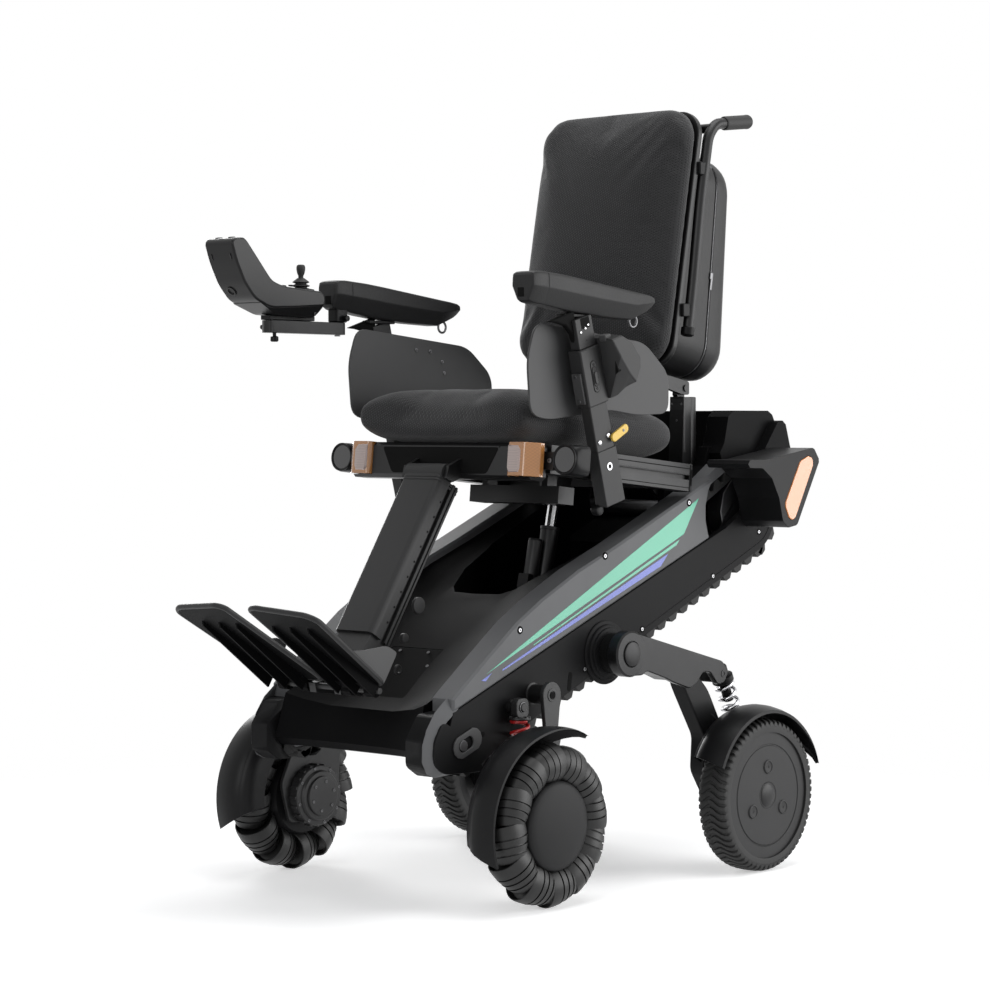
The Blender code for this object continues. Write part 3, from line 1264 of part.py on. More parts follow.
def backrest_shell():
    """Backboard with push bars down both edges, their cross tube and the recline arms."""
    outline = rounded([(-BACK_HALF, 0.004), (BACK_HALF, 0.004), (BACK_HALF, BACK_LENGTH - 0.002),
                       (-BACK_HALF, BACK_LENGTH - 0.002)], BACK_CORNER, 4)
    upright = Matrix(((1, 0, 0, 0), (0, 0, -1, 0), (0, 1, 0, 0), (0, 0, 0, 1)))
    board = leaned(plate(outline, 0.0, SHELL_THICK, plane=upright))
    parts = []
    for side in (-1, 1):
        x = side * PUSH_X
        path = [(x, y, z) for y, z in PUSH_PATH]
        parts.append(tube(path, PUSH_TUBE_RADIUS, 1))
        grip_start = Vector(path[-1]) - (Vector(path[-1]) - Vector(path[-2])).normalized() * 0.070
        parts.append(rod(grip_start, path[-1], PUSH_TUBE_RADIUS + 0.0025, 12))
        for share in (0.86,):
            spot = Vector(PUSH_PATH[0]).lerp(Vector(PUSH_PATH[3]), share)
            parts.append(box((x - 0.007, board_rear(spot.y) - 0.006, spot.y - 0.012),
                             (x + 0.007, spot.x + 0.002, spot.y + 0.012)))
        ends = sorted((side * (POST_X[0] + 0.0155), side * (POST_X[0] + 0.0235)))
        arm = plate(rounded([(0.0995, 0.8600, 0), (0.0985, 0.8350), (0.1180, 0.8060), (0.1900, 0.7890),
                             (0.2090, 0.7890), (0.2090, 0.8110), (0.1960, 0.8140), (0.1180, 0.8280, 0),
                             (0.1090, 0.8320, 0), (0.1130, 0.8600, 0)], 0, 1), *ends)
        parts.append(arm)
    bend = Vector(PUSH_PATH[3]).lerp(Vector(PUSH_PATH[4]), 0.5)
    cross = tube([(-PUSH_X, bend.x, bend.y + 0.003), (PUSH_X, bend.x, bend.y + 0.003)],
                 PUSH_TUBE_RADIUS * 0.9, 1)
    shell = joined(board, *parts, cross)
    holes = []
    for side in (-1, 1):
        start, stop = sorted((side * 0.08, side * 0.14))
        holes.append(bore_tool((start, *RECLINE_PIVOT), (stop, *RECLINE_PIVOT), RECLINE_PIN + FIT, 10))
    return carved(shell, *holes)


POD_HALF = 0.1430
POD_MIDDLE = behind_back(0, 0.4452)[1]
POD_SHARES = ((0.1141, 0.0205), (0.1478, 0.0616), (0.1664, 0.1758), (0.1354, 0.7123),
              (0.1138, 0.8059), (0.0809, 0.8653))      # out behind the board, share of height


def storage_pod():
    """Hard bag on the back: a loft between its flat front and its domed rear."""
    outline = rounded([(*behind_back(0, 0.0068), 0)]
                      + [behind_back(out, share) for out, share in POD_SHARES]
                      + [(*behind_back(0, 0.8767), 0)], 0.012, 1)
    shares = ((-1.0, 0.88), (-0.95, 0.97), (-0.80, 1.0), (0.80, 1.0), (0.95, 0.97), (1.0, 0.88))
    rings = []
    for across, size in shares:
        ring = []
        for y, z in outline:
            drawn_in = POD_MIDDLE + (z - POD_MIDDLE) * (0.6 + 0.4 * size)
            deep = max(0.0, y - board_rear(z))
            ring.append((POD_HALF * across, board_rear(drawn_in) + GAP + deep * size, drawn_in))
        rings.append(ring)
    return skinned(rings)


# Armrests. The post's own frame stands on its foot: Y across it, Z up along it.

POST_FOOT = (-0.1275, 0.6160)
POST_IN = 0.2125
POST_OUT = 0.2320
POST_DEPTH = 0.0430
POST_HEIGHT = 0.180
SLEEVE_LOW = 0.159
SLEEVE_HIGH = 0.252
SLEEVE_IN = 0.2085
SLEEVE_OUT = 0.2355
SLEEVE_DEPTH = 0.0500
STEM_DEPTH = 0.0300
STEM_WIDE = 0.0120
STEM_LOW = 0.060
PAD_IN = 0.1900
PAD_OUT = 0.2400
GUARD_IN = 0.1950
GUARD_THICK = 0.0040
BUTTON_UP = 0.205
BUTTON_LONG = 0.034
BUTTON_WIDE = 0.012
LEVER_PIVOT = (-0.1420, 0.7150)


def on_post(item):
    item.data.transform(Matrix.Translation((0, *POST_FOOT)) @ Matrix.Rotation(ARM_POST_LEAN, 4, "X"))
    return item


def capsule(centre, length, width, turn=0.0, steps=12):
    """Outline of a slot: two half circles and the straights between, long along Z."""
    spots = []
    for n in range(steps):
        angle = 2 * math.pi * (n + 0.5) / steps
        up = (length - width) / 2 * (1 if math.sin(angle) > 0 else -1)
        spot = Vector((width / 2 * math.cos(angle), up + width / 2 * math.sin(angle)))
        spots.append(tuple(Vector(centre) + Matrix.Rotation(turn, 2) @ spot))
    return spots


def armrest_post():
    """Hollow post on the rail with its sleeve, side guard and clamp block."""
    middle = (POST_IN + POST_OUT) / 2
    half = STEM_WIDE / 2 + FIT
    post = box((POST_IN, -POST_DEPTH / 2, -0.004), (POST_OUT, POST_DEPTH / 2, POST_HEIGHT))
    sleeve = box((SLEEVE_IN, -SLEEVE_DEPTH / 2, SLEEVE_LOW), (SLEEVE_OUT, SLEEVE_DEPTH / 2, SLEEVE_HIGH))
    clamp = box((RAIL_OUT + GAP, -0.019, 0.040), (POST_IN + 0.004, 0.019, 0.078))
    knob = plate(rounded([(0.000, 0.174), (0.022, 0.174), (0.052, 0.188), (0.052, 0.222),
                          (0.016, 0.262), (-0.008, 0.256)], 0.008, 1), SLEEVE_OUT - 0.004, 0.2560)
    bridge = box((GUARD_IN + GUARD_THICK - 0.001, -0.012, 0.176), (SLEEVE_IN + 0.004, 0.020, 0.240))
    post = on_post(joined(post, sleeve, clamp, knob, bridge))
    guard = plate(rounded([(-0.3000, 0.8400), (-0.2800, 0.8980), (-0.0120, 0.8720), (0.0510, 0.8220),
                           (0.0510, 0.7560), (-0.0300, 0.7530), (-0.1000, 0.7620), (-0.2500, 0.7450),
                           (-0.2920, 0.7530)], 0.022, 1), GUARD_IN, GUARD_IN + GUARD_THICK)
    post = joined(post, guard)
    bore = on_post(box((middle - half, -STEM_DEPTH / 2 - FIT, 0.030),
                       (middle + half, STEM_DEPTH / 2 + FIT, 0.40)))
    seat = on_post(plate(capsule((0.0, BUTTON_UP), BUTTON_LONG + 2 * GAP, BUTTON_WIDE + 2 * GAP),
                         SLEEVE_OUT - 0.0052, SLEEVE_OUT + 0.03))
    return carved(post, bore, seat)


def armrest_button():
    return on_post(plate(capsule((0.0, BUTTON_UP), BUTTON_LONG, BUTTON_WIDE),
                         SLEEVE_OUT - 0.0016, SLEEVE_OUT + 0.0014))


def armrest_pad():
    """Padded top on a shaped base whose stem slides in the post."""
    middle = (POST_IN + POST_OUT) / 2
    pad = plate(rounded([(-0.3310, 0.9300), (-0.3310, 0.9700), (-0.3200, 0.9750), (-0.0360, 0.9460),
                         (-0.0285, 0.9390), (-0.0285, 0.9280), (-0.0800, 0.9060), (-0.2200, 0.9080),
                         (-0.2900, 0.9230)], 0.006, 1), PAD_IN, PAD_OUT, edge=0.004)
    stem = on_post(box((middle - STEM_WIDE / 2, -STEM_DEPTH / 2, STEM_LOW),
                       (middle + STEM_WIDE / 2, STEM_DEPTH / 2, 0.312)))
    neck = on_post(plate([(-0.020, 0.268), (0.020, 0.268), (0.030, 0.312), (-0.040, 0.312)],
                         POST_IN + 0.001, POST_OUT - 0.001))
    hook = tube([(0.2120, -0.0500, 0.922), (0.2120, -0.0480, 0.906), (0.2120, -0.0560, 0.9015),
                 (0.2120, -0.0660, 0.9040), (0.2120, -0.0690, 0.918)], 0.0022, 1)
    return joined(pad, stem, neck, hook)


def lock_lever():
    """Flat lever on the post's rear face that frees the armrest."""
    spot = Vector(LEVER_PIVOT)
    heading = math.radians(28)
    blade = capsule((0, 0), 0.044, 0.014, heading - math.pi / 2)
    blade = [(y + spot.x + 0.021 * math.cos(heading), z + spot.y + 0.021 * math.sin(heading))
             for y, z in blade]
    return plate(blade, POST_OUT + GAP, POST_OUT + 0.0060)


# Controller on the right armrest

LINK_X = -0.2120
LINK_PIVOT = (LINK_X, -0.3100)
LINK_TOP = 0.9060
LINK_THICK = 0.0200
CONTROL_HALF = 0.0330
STICK = (LINK_X, -0.3930, 0.9500)
STICK_WELL = 0.0210
GIMBAL_OUT = 0.0125
GIMBAL_IN = 0.0085
GIMBAL_PIN = 0.0020
STEM_RADIUS = 0.0032


def link_bracket():
    """Under the right pad's front: the block and pin that the link swings on."""
    block = box((LINK_X - 0.013, LINK_PIVOT[1] - 0.014, LINK_TOP + GAP),
                (LINK_X + 0.013, LINK_PIVOT[1] + 0.030, 0.9300))
    pin = rod((LINK_X, LINK_PIVOT[1], LINK_TOP - LINK_THICK - 0.001),
              (LINK_X, LINK_PIVOT[1], LINK_TOP + 0.004), 0.0050, 10)
    return block, pin


def controller_link():
    """Bar with a pivot eye at the armrest, round nose and clamp screw under the controller."""
    length = 0.164
    outline = rounded([(LINK_X - 0.0125, LINK_PIVOT[1] + 0.0125), (LINK_X - 0.0125, LINK_PIVOT[1] - length),
                       (LINK_X + 0.0125, LINK_PIVOT[1] - length), (LINK_X + 0.0125, LINK_PIVOT[1] + 0.0125)],
                      0.012, 2)
    bar = plate(outline, LINK_TOP - LINK_THICK, LINK_TOP, plane=FLOOR)
    screw = rod((LINK_X - 0.030, -0.452, LINK_TOP - 0.010), (LINK_X - 0.010, -0.452, LINK_TOP - 0.010),
                0.0045, 8)
    hole = bore_tool((LINK_X, LINK_PIVOT[1], 0.8), (LINK_X, LINK_PIVOT[1], 1.0), 0.0050 + FIT, 10)
    return carved(joined(bar, screw), hole)


def controller():
    """Hand control: a low deck with the stick's well, rising forward into the display."""
    side = rounded([(-0.3460, 0.9430), (-0.3530, 0.9540, 0.004), (-0.4660, 0.9640, 0.030),
                    (-0.5180, 1.0290), (-0.5270, 1.0340), (-0.5870, 1.0300), (-0.5960, 1.0240),
                    (-0.5600, 0.9590, 0.020), (-0.5270, 0.9330, 0.020), (-0.4730, 0.9150, 0.010),
                    (-0.3680, 0.9080 + 0.0020), (-0.3540, 0.9230)], 0.005, 1)
    body = plate(side, LINK_X - CONTROL_HALF, LINK_X + CONTROL_HALF, edge=0.004)
    foot = box((LINK_X - 0.011, -0.472, LINK_TOP + GAP), (LINK_X + 0.011, -0.372, 0.9200))
    body = joined(body, foot)
    well = bore_tool((STICK[0], STICK[1], STICK[2] - 0.016), (STICK[0], STICK[1], 1.0), STICK_WELL, 16)
    ends = []
    for side in (-1, 1):
        ends.append(bore_tool((STICK[0] + side * (STICK_WELL - 0.002), STICK[1], STICK[2]),
                        (STICK[0] + side * (STICK_WELL + 0.004), STICK[1], STICK[2]),
                        GIMBAL_PIN + GAP, 8))
    return carved(body, well, *ends)


def joystick_gimbal():
    """Ring that tips fore and aft on two trunnions in the well's wall."""
    ring = turned([(GIMBAL_OUT, 0.002), (GIMBAL_OUT, -0.002), (GIMBAL_IN, -0.002), (GIMBAL_IN, 0.002),
                   (GIMBAL_OUT, 0.002)], STICK, (0, 0, 1), 12)
    pins = []
    for side in (-1, 1):
        pins.append(rod((STICK[0] + side * (GIMBAL_IN + 0.001), STICK[1], STICK[2]),
                        (STICK[0] + side * (STICK_WELL + 0.003), STICK[1], STICK[2]), GIMBAL_PIN, 6))
    holes = []
    for side in (-1, 1):
        holes.append(bore_tool((STICK[0], STICK[1] + side * (GIMBAL_IN - 0.002), STICK[2]),
                         (STICK[0], STICK[1] + side * (GIMBAL_IN + 0.0025), STICK[2]), 0.0012 + GAP, 6))
    return carved(joined(ring, *pins), *holes)


def joystick():
    """Stem with its cross pin, ribbed boot and pear shaped knob."""
    x, y, z = STICK
    body = turned([(0, 0.0485), (0.0050, 0.0470), (0.0080, 0.0415), (0.0068, 0.0360),
                   (0.0036, 0.0300), (0.0036, 0.0235), (0.0090, 0.0205), (0.0075, 0.0185),
                   (0.0115, 0.0160), (0.0095, 0.0142), (0.0150, 0.0110), (0.0125, 0.0092),
                   (0.0165, 0.0070), (STEM_RADIUS, 0.0070), (STEM_RADIUS, -0.0040), (0, -0.0040)],
                  STICK, (0, 0, 1), 9)
    pin = rod((x, y - GIMBAL_IN - 0.0018, z), (x, y + GIMBAL_IN + 0.0018, z), 0.0012, 6)
    return joined(body, pin)


# Leg rest. Its own frame hangs from its pivot: Z runs down the post, Y across it.

LEG_HALF = 0.0415
LEG_DEEP = 0.0500
LEG_TOP = (-0.3020, 0.6560)         # where the post's middle line starts
LEG_PIVOT_TOP = (-0.3125, 0.6600)   # its hinge, ahead of that line
LEG_EYE_RADIUS = 0.0160
LEG_PIN_RADIUS = 0.0060
LEG_LENGTH = 0.300
LEG_WALL = 0.0060
CARRIAGE_LOW = 0.388
FOOT_PITCH = math.radians(32.5)
FOOT_HINGE = (-0.5385, 0.3340)
FOOT_PIN_RADIUS = 0.0050
FOOT_THICK = 0.0120


def down_leg(item):
    """From the leg rest's frame: a distance down the post becomes a place under the seat."""
    turn = Matrix.Rotation(math.pi - LEGREST_LEAN, 4, "X")
    item.data.transform(Matrix.Translation((0, *LEG_TOP)) @ turn)
    return item


def legrest_post():
    """Extruded hollow post with a slot down each side and the pivot eye on top."""
    post = box((-LEG_HALF, -LEG_DEEP / 2, 0.010), (LEG_HALF, LEG_DEEP / 2, LEG_LENGTH), 0.005)
    bore = box((-LEG_HALF + LEG_WALL, -LEG_DEEP / 2 + LEG_WALL, 0.030),
               (LEG_HALF - LEG_WALL, LEG_DEEP / 2 - LEG_WALL, LEG_LENGTH + 0.05))
    slots = []
    for side in (-1, 1):
        start, stop = sorted((side * (LEG_HALF - 0.0035), side * (LEG_HALF + 0.01)))
        slots.append(box((start, -0.006, 0.040), (stop, 0.006, LEG_LENGTH + 0.05)))
    post = down_leg(carved(post, bore, *slots))
    eye = rod((-LEG_HALF, *LEG_PIVOT_TOP), (LEG_HALF, *LEG_PIVOT_TOP), LEG_EYE_RADIUS, 14)
    pin = bore_tool((-0.1, *LEG_PIVOT_TOP), (0.1, *LEG_PIVOT_TOP), LEG_PIN_RADIUS + FIT, 12)
    return carved(joined(post, eye), pin)


def legrest_carriage():
    """Inner tube in the post, with a cross head that carries the footplates' hinge."""
    half = LEG_HALF - LEG_WALL - FIT
    deep = LEG_DEEP / 2 - LEG_WALL - FIT
    inner = box((-half, -deep, 0.130), (half, deep, CARRIAGE_LOW - 0.010))
    head = box((-0.046, -0.019, LEG_LENGTH + 0.030), (0.046, 0.021, CARRIAGE_LOW))
    carriage = down_leg(joined(inner, head))
    arms = []
    for side in (-1, 1):
        ends = sorted((side * 0.020, side * 0.034))
        arms.append(plate([(-0.480, 0.375), (-0.508, 0.354), (-0.5270, 0.3425),
                           (FOOT_HINGE[0] - 0.010, FOOT_HINGE[1] + 0.005),
                           (FOOT_HINGE[0] - 0.006, FOOT_HINGE[1] - 0.010),
                           (-0.500, 0.318), (-0.470, 0.330)], *ends))
    pin = rod((-0.112, *FOOT_HINGE), (0.112, *FOOT_HINGE), FOOT_PIN_RADIUS, 10)
    return joined(carriage, *arms, pin)


FOOT_OUTLINE = ((0.0070, 0.010), (0.1240, 0.010), (0.1540, 0.208), (0.1400, 0.222), (0.0420, 0.236),
                (0.0270, 0.230))
FOOT_RAISE = 0.0100


def footplate():
    """Dished plate with ribs below, a heel wall at its outer corner and hinge knuckles."""
    outline = rounded([(x, -y) for x, y in FOOT_OUTLINE], 0.012, 2)
    top = plate(outline, FOOT_RAISE - FOOT_THICK / 2, FOOT_RAISE, plane=FLOOR)
    ribs = []
    for x in (0.040, 0.078, 0.116):
        ribs.append(plate([(-0.012, FOOT_RAISE - 0.004), (-0.190, FOOT_RAISE - 0.004),
                           (-0.180, FOOT_RAISE - 0.012), (-0.012, FOOT_RAISE - 0.026)],
                          x - 0.0016, x + 0.0016))
    knuckles = []
    for low, high in ((0.0380, 0.0560), (0.0860, 0.1040)):
        knuckles.append(rod((low, 0, 0), (high, 0, 0), 0.0105, 10))
        knuckles.append(box((low, -0.030, -0.004), (high, -0.002, FOOT_RAISE - 0.002)))
    wall = plate(rounded([(-0.010, FOOT_RAISE - 0.003), (-0.120, FOOT_RAISE - 0.003),
                          (-0.070, FOOT_RAISE + 0.022), (-0.034, FOOT_RAISE + 0.050),
                          (-0.010, FOOT_RAISE + 0.052)], 0, 1), 0.1195, 0.1235)
    body = joined(top, *ribs, *knuckles, wall)
    body = carved(body, bore_tool((-0.1, 0, 0), (0.3, 0, 0), FOOT_PIN_RADIUS + FIT, 10))
    body.data.transform(Matrix.Translation((0, *FOOT_HINGE)) @ Matrix.Rotation(-FOOT_PITCH, 4, "X"))
    return body


# Assembly

def hull_with_ears():
    """The hull with the ears and pins that the seat tilts on."""
    hull = body_shell()
    parts = []
    for side in (-1, 1):
        start, stop = sorted((side * HULL_EAR[0], side * HULL_EAR[1]))
        y, z = SEAT_PIVOT
        parts.append(plate(rounded([(y - 0.030, 0.570), (y + 0.030, 0.590), (y + 0.012, z + 0.014),
                                    (y - 0.012, z + 0.014)], 0.010, 2), start, stop))
        pin_in, pin_out = sorted((side * (SEAT_EAR[0] - 0.001), side * (HULL_EAR[1] - 0.002)))
        parts.append(rod((pin_in, y, z), (pin_out, y, z), LIFT_PIN_RADIUS + 0.002, 10))
    return joined(hull, *parts)


def build():
    piece("body_shell", hull_with_ears(), DARK_SHELL)
    hatch = tilted_box(HATCH_LOW, HATCH_HIGH, HATCH_HALF, HATCH_THICK - HATCH_PROUD, HATCH_PROUD, 0.0012)
    piece("front_hatch", hatch, DARK_SHELL)
    piece("rear_housing", rear_housing(), DARK_SHELL)
    pair("side_panel", side_panel(), GREY_SHELL)
    pair("track_plate", joined(track_plate(), *front_shock()), DARK_SHELL)
    pair("track_belt", track_belt(), RUBBER)
    piece("drive_shaft", wheel_with_rim(SPROCKET, SPROCKET_RADIUS, DRIVE_SHAFT_RADIUS, 12), BLACK_METAL,
          (0, *SPROCKET))
    piece("idler_shaft", wheel_with_rim(IDLER, IDLER_RADIUS, IDLER_SHAFT_RADIUS, 10), BLACK_METAL,
          (0, *IDLER))
    pair("tension_plate", tension_plate(), STEEL)
    pair("tail_unit", tail_unit(), BLACK_SHELL)
    pair("tail_lens", tail_lens(), ORANGE)

    pair("front_leg", front_leg(), BLACK_METAL, (0.236, *LEG_PIVOT))
    pair("front_spring", front_spring(), RED)
    pair("omni_wheel", omni_wheel(), RUBBER, (FRONT_OUT - FRONT_WIDTH / 2, *FRONT_AXLE), "front_leg_left")
    pair("swing_arm", swing_arm(), BLACK_METAL, (0.235, *ARM_PIVOT))
    pair("rear_strut", rear_strut(), BLACK_METAL, (0.230, *STRUT_PIVOT), "swing_arm_left")
    pair("rear_spring", rear_spring(), SILVER, (REAR_SPRING_X, *REAR_SPRING_TOP), "swing_arm_left")
    pair("rear_wheel", rear_wheel(), BLACK_METAL, (0.300, *REAR_AXLE), "rear_strut_left")
    pair("rear_tyre", rear_tyre(), RUBBER, (0.300, *REAR_AXLE), "rear_wheel_left")

    piece("seat_frame", seat_frame(), BLACK_METAL, (0, *SEAT_PIVOT))
    piece("seat_cushion", seat_cushion(), FABRIC, (0, *SEAT_PIVOT), "seat_frame")
    pair("headlamp", headlamp(), LAMP, (0, *SEAT_PIVOT), "seat_frame")
    pair("corner_lamp", corner_lamp(), AMBER, (0, *SEAT_PIVOT), "seat_frame")
    piece("lift_tube", lift_tube(), BLACK_METAL, (0, *LIFT_FOOT))
    piece("lift_rod", lift_rod(), STEEL, (0, *LIFT_FOOT), "lift_tube")

    piece("backrest_shell", backrest_shell(), BLACK_METAL, (0, *RECLINE_PIVOT), "seat_frame")
    piece("backrest_cushion", backrest_cushion(), FABRIC, (0, *RECLINE_PIVOT), "backrest_shell")
    piece("storage_pod", storage_pod(), BLACK_SHELL, (0, *RECLINE_PIVOT), "backrest_shell")

    pair("armrest_post", armrest_post(), BLACK_METAL, (0.222, *POST_FOOT), "seat_frame")
    pair("armrest_button", armrest_button(), BLACK_SHELL, (SLEEVE_OUT, *POST_FOOT), "armrest_post_left")
    pair("lock_lever", lock_lever(), YELLOW, (POST_OUT, *LEVER_PIVOT), "armrest_post_left")
    left_pad = armrest_pad()
    right_pad = joined(mirrored(left_pad), *link_bracket())
    piece("armrest_pad_left", left_pad, BLACK_SHELL, (0.222, *POST_FOOT), "armrest_post_left")
    piece("armrest_pad_right", right_pad, BLACK_SHELL, (-0.222, *POST_FOOT), "armrest_post_right")
    piece("controller_link", controller_link(), BLACK_METAL, (*LINK_PIVOT, LINK_TOP), "armrest_pad_right")
    piece("controller", controller(), BLACK_SHELL, (*LINK_PIVOT, LINK_TOP), "controller_link")
    piece("joystick_gimbal", joystick_gimbal(), GREY_METAL, STICK, "controller")
    piece("joystick", joystick(), RUBBER, STICK, "joystick_gimbal")

    piece("legrest_post", legrest_post(), BLACK_METAL, (0, *LEG_PIVOT_TOP), "seat_frame")
    piece("legrest_carriage", legrest_carriage(), GREY_METAL, (0, *LEG_PIVOT_TOP), "legrest_post")
    pair("footplate", footplate(), BLACK_SHELL, (0.070, *FOOT_HINGE), "legrest_carriage")


build()
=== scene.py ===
"""Looks of the stair climbing wheelchair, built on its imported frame."""
import json
import math

import bmesh
import bpy
from mathutils import Matrix, Vector

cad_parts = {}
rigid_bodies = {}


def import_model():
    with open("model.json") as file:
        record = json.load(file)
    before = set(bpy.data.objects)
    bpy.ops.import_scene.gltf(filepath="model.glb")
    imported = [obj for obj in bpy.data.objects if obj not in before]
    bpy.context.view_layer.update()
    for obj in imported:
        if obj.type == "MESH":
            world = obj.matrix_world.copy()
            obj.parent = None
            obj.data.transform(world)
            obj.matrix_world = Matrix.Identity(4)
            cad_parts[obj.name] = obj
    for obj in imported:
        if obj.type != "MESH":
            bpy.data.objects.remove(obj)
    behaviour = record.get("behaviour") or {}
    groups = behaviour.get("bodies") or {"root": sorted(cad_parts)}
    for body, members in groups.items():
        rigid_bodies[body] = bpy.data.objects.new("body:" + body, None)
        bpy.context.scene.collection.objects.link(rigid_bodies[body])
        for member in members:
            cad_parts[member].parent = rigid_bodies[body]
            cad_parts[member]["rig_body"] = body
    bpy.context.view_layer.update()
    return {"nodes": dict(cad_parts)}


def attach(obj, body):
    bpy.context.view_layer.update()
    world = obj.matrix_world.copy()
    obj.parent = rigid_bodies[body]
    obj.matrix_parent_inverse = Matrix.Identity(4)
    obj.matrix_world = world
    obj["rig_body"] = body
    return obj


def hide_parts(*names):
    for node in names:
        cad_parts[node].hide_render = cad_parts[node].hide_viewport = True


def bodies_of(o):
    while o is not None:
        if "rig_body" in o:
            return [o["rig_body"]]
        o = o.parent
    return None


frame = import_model()
NODES = frame["nodes"]

# Places are written in the drawing's own Y, whose zero lies this far behind the frame's.
DRAWN_Y = 0.1682
DRAWN = Matrix.Translation((0, DRAWN_Y, 0))
LEFT_AND_RIGHT = (("left", 1), ("right", -1))

WHEEL_FRONT = (-0.350, 0.127)
WHEEL_REAR = (0.155, 0.126)
IDLER = (-0.450, 0.250)
SPROCKET = (0.272, 0.590)
SEAT_TILT = math.radians(5.6)
SEAT_PIVOT = (0.120, 0.628)
BACK_LEAN = math.radians(10.6)
ARM_LEAN = math.radians(15)
POST_FOOT = (-0.1275, 0.6160)
LEG_TOP = (-0.3020, 0.6560)
FOOT_HINGE = (-0.5385, 0.3340)
FOOT_PITCH = math.radians(32.5)
LEGREST_LEAN = math.radians(33)


def spot(x, y, z):
    """A place of the drawing in the frame's coordinates."""
    return Vector((x, y + DRAWN_Y, z))


# Materials: sums on sockets, one way to add a node, and one finish for each stuff.

class Term:
    """A number that varies over a piece, so that sums on it read as sums."""

    def __init__(self, tree, socket):
        self.tree = tree
        self.socket = socket

    def __add__(self, other):
        return self.tree.sum("ADD", self, other)

    def __sub__(self, other):
        return self.tree.sum("SUBTRACT", self, other)

    def __mul__(self, other):
        return self.tree.sum("MULTIPLY", self, other)

    def __truediv__(self, other):
        return self.tree.sum("DIVIDE", self, other)

    def __mod__(self, other):
        return self.tree.sum("WRAP", self, other, 0.0)

    def __rsub__(self, other):
        return self.tree.sum("SUBTRACT", other, self)

    def __abs__(self):
        return self.tree.sum("ABSOLUTE", self)

    __radd__ = __add__
    __rmul__ = __mul__

    def sine(self):
        return self.tree.sum("SINE", self)


class Wiring:
    """A node tree under construction."""

    def __init__(self, tree):
        self.tree = tree

    def node(self, kind, settings=None, values=None):
        made = self.tree.nodes.new(kind)
        for key, value in (settings or {}).items():
            setattr(made, key, value)
        for key, value in (values or {}).items():
            self.feed(made.inputs[key], value)
        return made

    def feed(self, socket, value):
        if isinstance(value, Term):
            value = value.socket
        if isinstance(value, bpy.types.NodeSocket):
            self.tree.links.new(value, socket)
        else:
            socket.default_value = value

    def sum(self, operation, *values):
        made = self.node("ShaderNodeMath", {"operation": operation}, dict(enumerate(values)))
        return Term(self, made.outputs[0])


class Finish(Wiring):
    """One material: its shader's plain values, then what varies over the surface."""

    def __init__(self, name, colour, roughness, metallic=0.0, **plain):
        self.material = bpy.data.materials.new(name)
        self.material.use_nodes = True
        self.material.diffuse_color = (*colour, 1.0)
        super().__init__(self.material.node_tree)
        self.tree.nodes.clear()
        self.shader = self.node("ShaderNodeBsdfPrincipled", {}, {
            "Base Color": (*colour, 1.0), "Roughness": roughness, "Metallic": metallic, **plain})
        self.out = self.node("ShaderNodeOutputMaterial", {}, {"Surface": self.shader.outputs[0]})

    def place(self, scale=(1, 1, 1), turn=(0, 0, 0), shift=(0, 0, 0)):
        """The piece's own coordinates in metres, turned and scaled."""
        where = self.node("ShaderNodeTexCoord").outputs["Object"]
        return self.node("ShaderNodeMapping", {}, {
            "Vector": where, "Scale": scale, "Rotation": turn, "Location": shift}).outputs[0]

    def along(self, vector):
        parts = self.node("ShaderNodeSeparateXYZ", {}, {0: vector}).outputs
        return [Term(self, parts[n]) for n in range(3)]

    def noise(self, vector, scale, detail=2.0, rough=0.5):
        made = self.node("ShaderNodeTexNoise", {}, {
            "Vector": vector, "Scale": scale, "Detail": detail, "Roughness": rough})
        return Term(self, made.outputs["Fac"])

    def cells(self, vector, scale, feature="F1"):
        made = self.node("ShaderNodeTexVoronoi", {"feature": feature}, {"Vector": vector, "Scale": scale})
        return Term(self, made.outputs["Distance"])

    def step(self, value, low, high):
        """0 below low, 1 above high, smooth between."""
        made = self.node("ShaderNodeMapRange", {"interpolation_type": "SMOOTHSTEP"}, {
            "Value": value, "From Min": low, "From Max": high})
        return Term(self, made.outputs[0])

    def blend(self, share, first, second):
        made = self.node("ShaderNodeMix", {"data_type": "RGBA"}, {0: share})
        for socket, value in ((made.inputs[6], first), (made.inputs[7], second)):
            self.feed(socket, (*value, 1.0) if isinstance(value, tuple) else value)
        return made.outputs[2]

    def bumped(self, height, distance, strength=1.0):
        made = self.node("ShaderNodeBump", {}, {
            "Height": height, "Distance": distance, "Strength": strength})
        self.feed(self.shader.inputs["Normal"], made.outputs[0])

    def colour(self, value):
        self.feed(self.shader.inputs["Base Color"], value)

    def rough(self, value):
        self.feed(self.shader.inputs["Roughness"], value)


def tinted(colour, factor):
    """The colour made darker or lighter."""
    return tuple(min(1.0, c * factor) for c in colour)


def moulded(name, colour, roughness, grain=1400.0, depth=0.00006, coat=0.0, sheen=0.13):
    """Injection moulded plastic: spark-eroded grain, faint cloudiness and handling marks."""
    made = Finish(name, colour, roughness, 0.0, **{"Coat Weight": coat, "Coat Roughness": 0.25,
                                                   "Specular IOR Level": sheen})
    where = made.place()
    cloud = made.noise(where, 14.0, 3.0)
    grains = made.noise(where, grain, 2.0, 0.6)
    scuffs = made.step(made.noise(made.place((1, 1, 5)), 60.0, 4.0, 0.7), 0.62, 0.80)
    made.colour(made.blend(cloud, tinted(colour, 0.88), tinted(colour, 1.14)))
    made.rough(roughness - 0.05 + 0.08 * cloud + 0.05 * grains - 0.06 * scuffs)
    made.bumped(grains, depth)
    return made.material


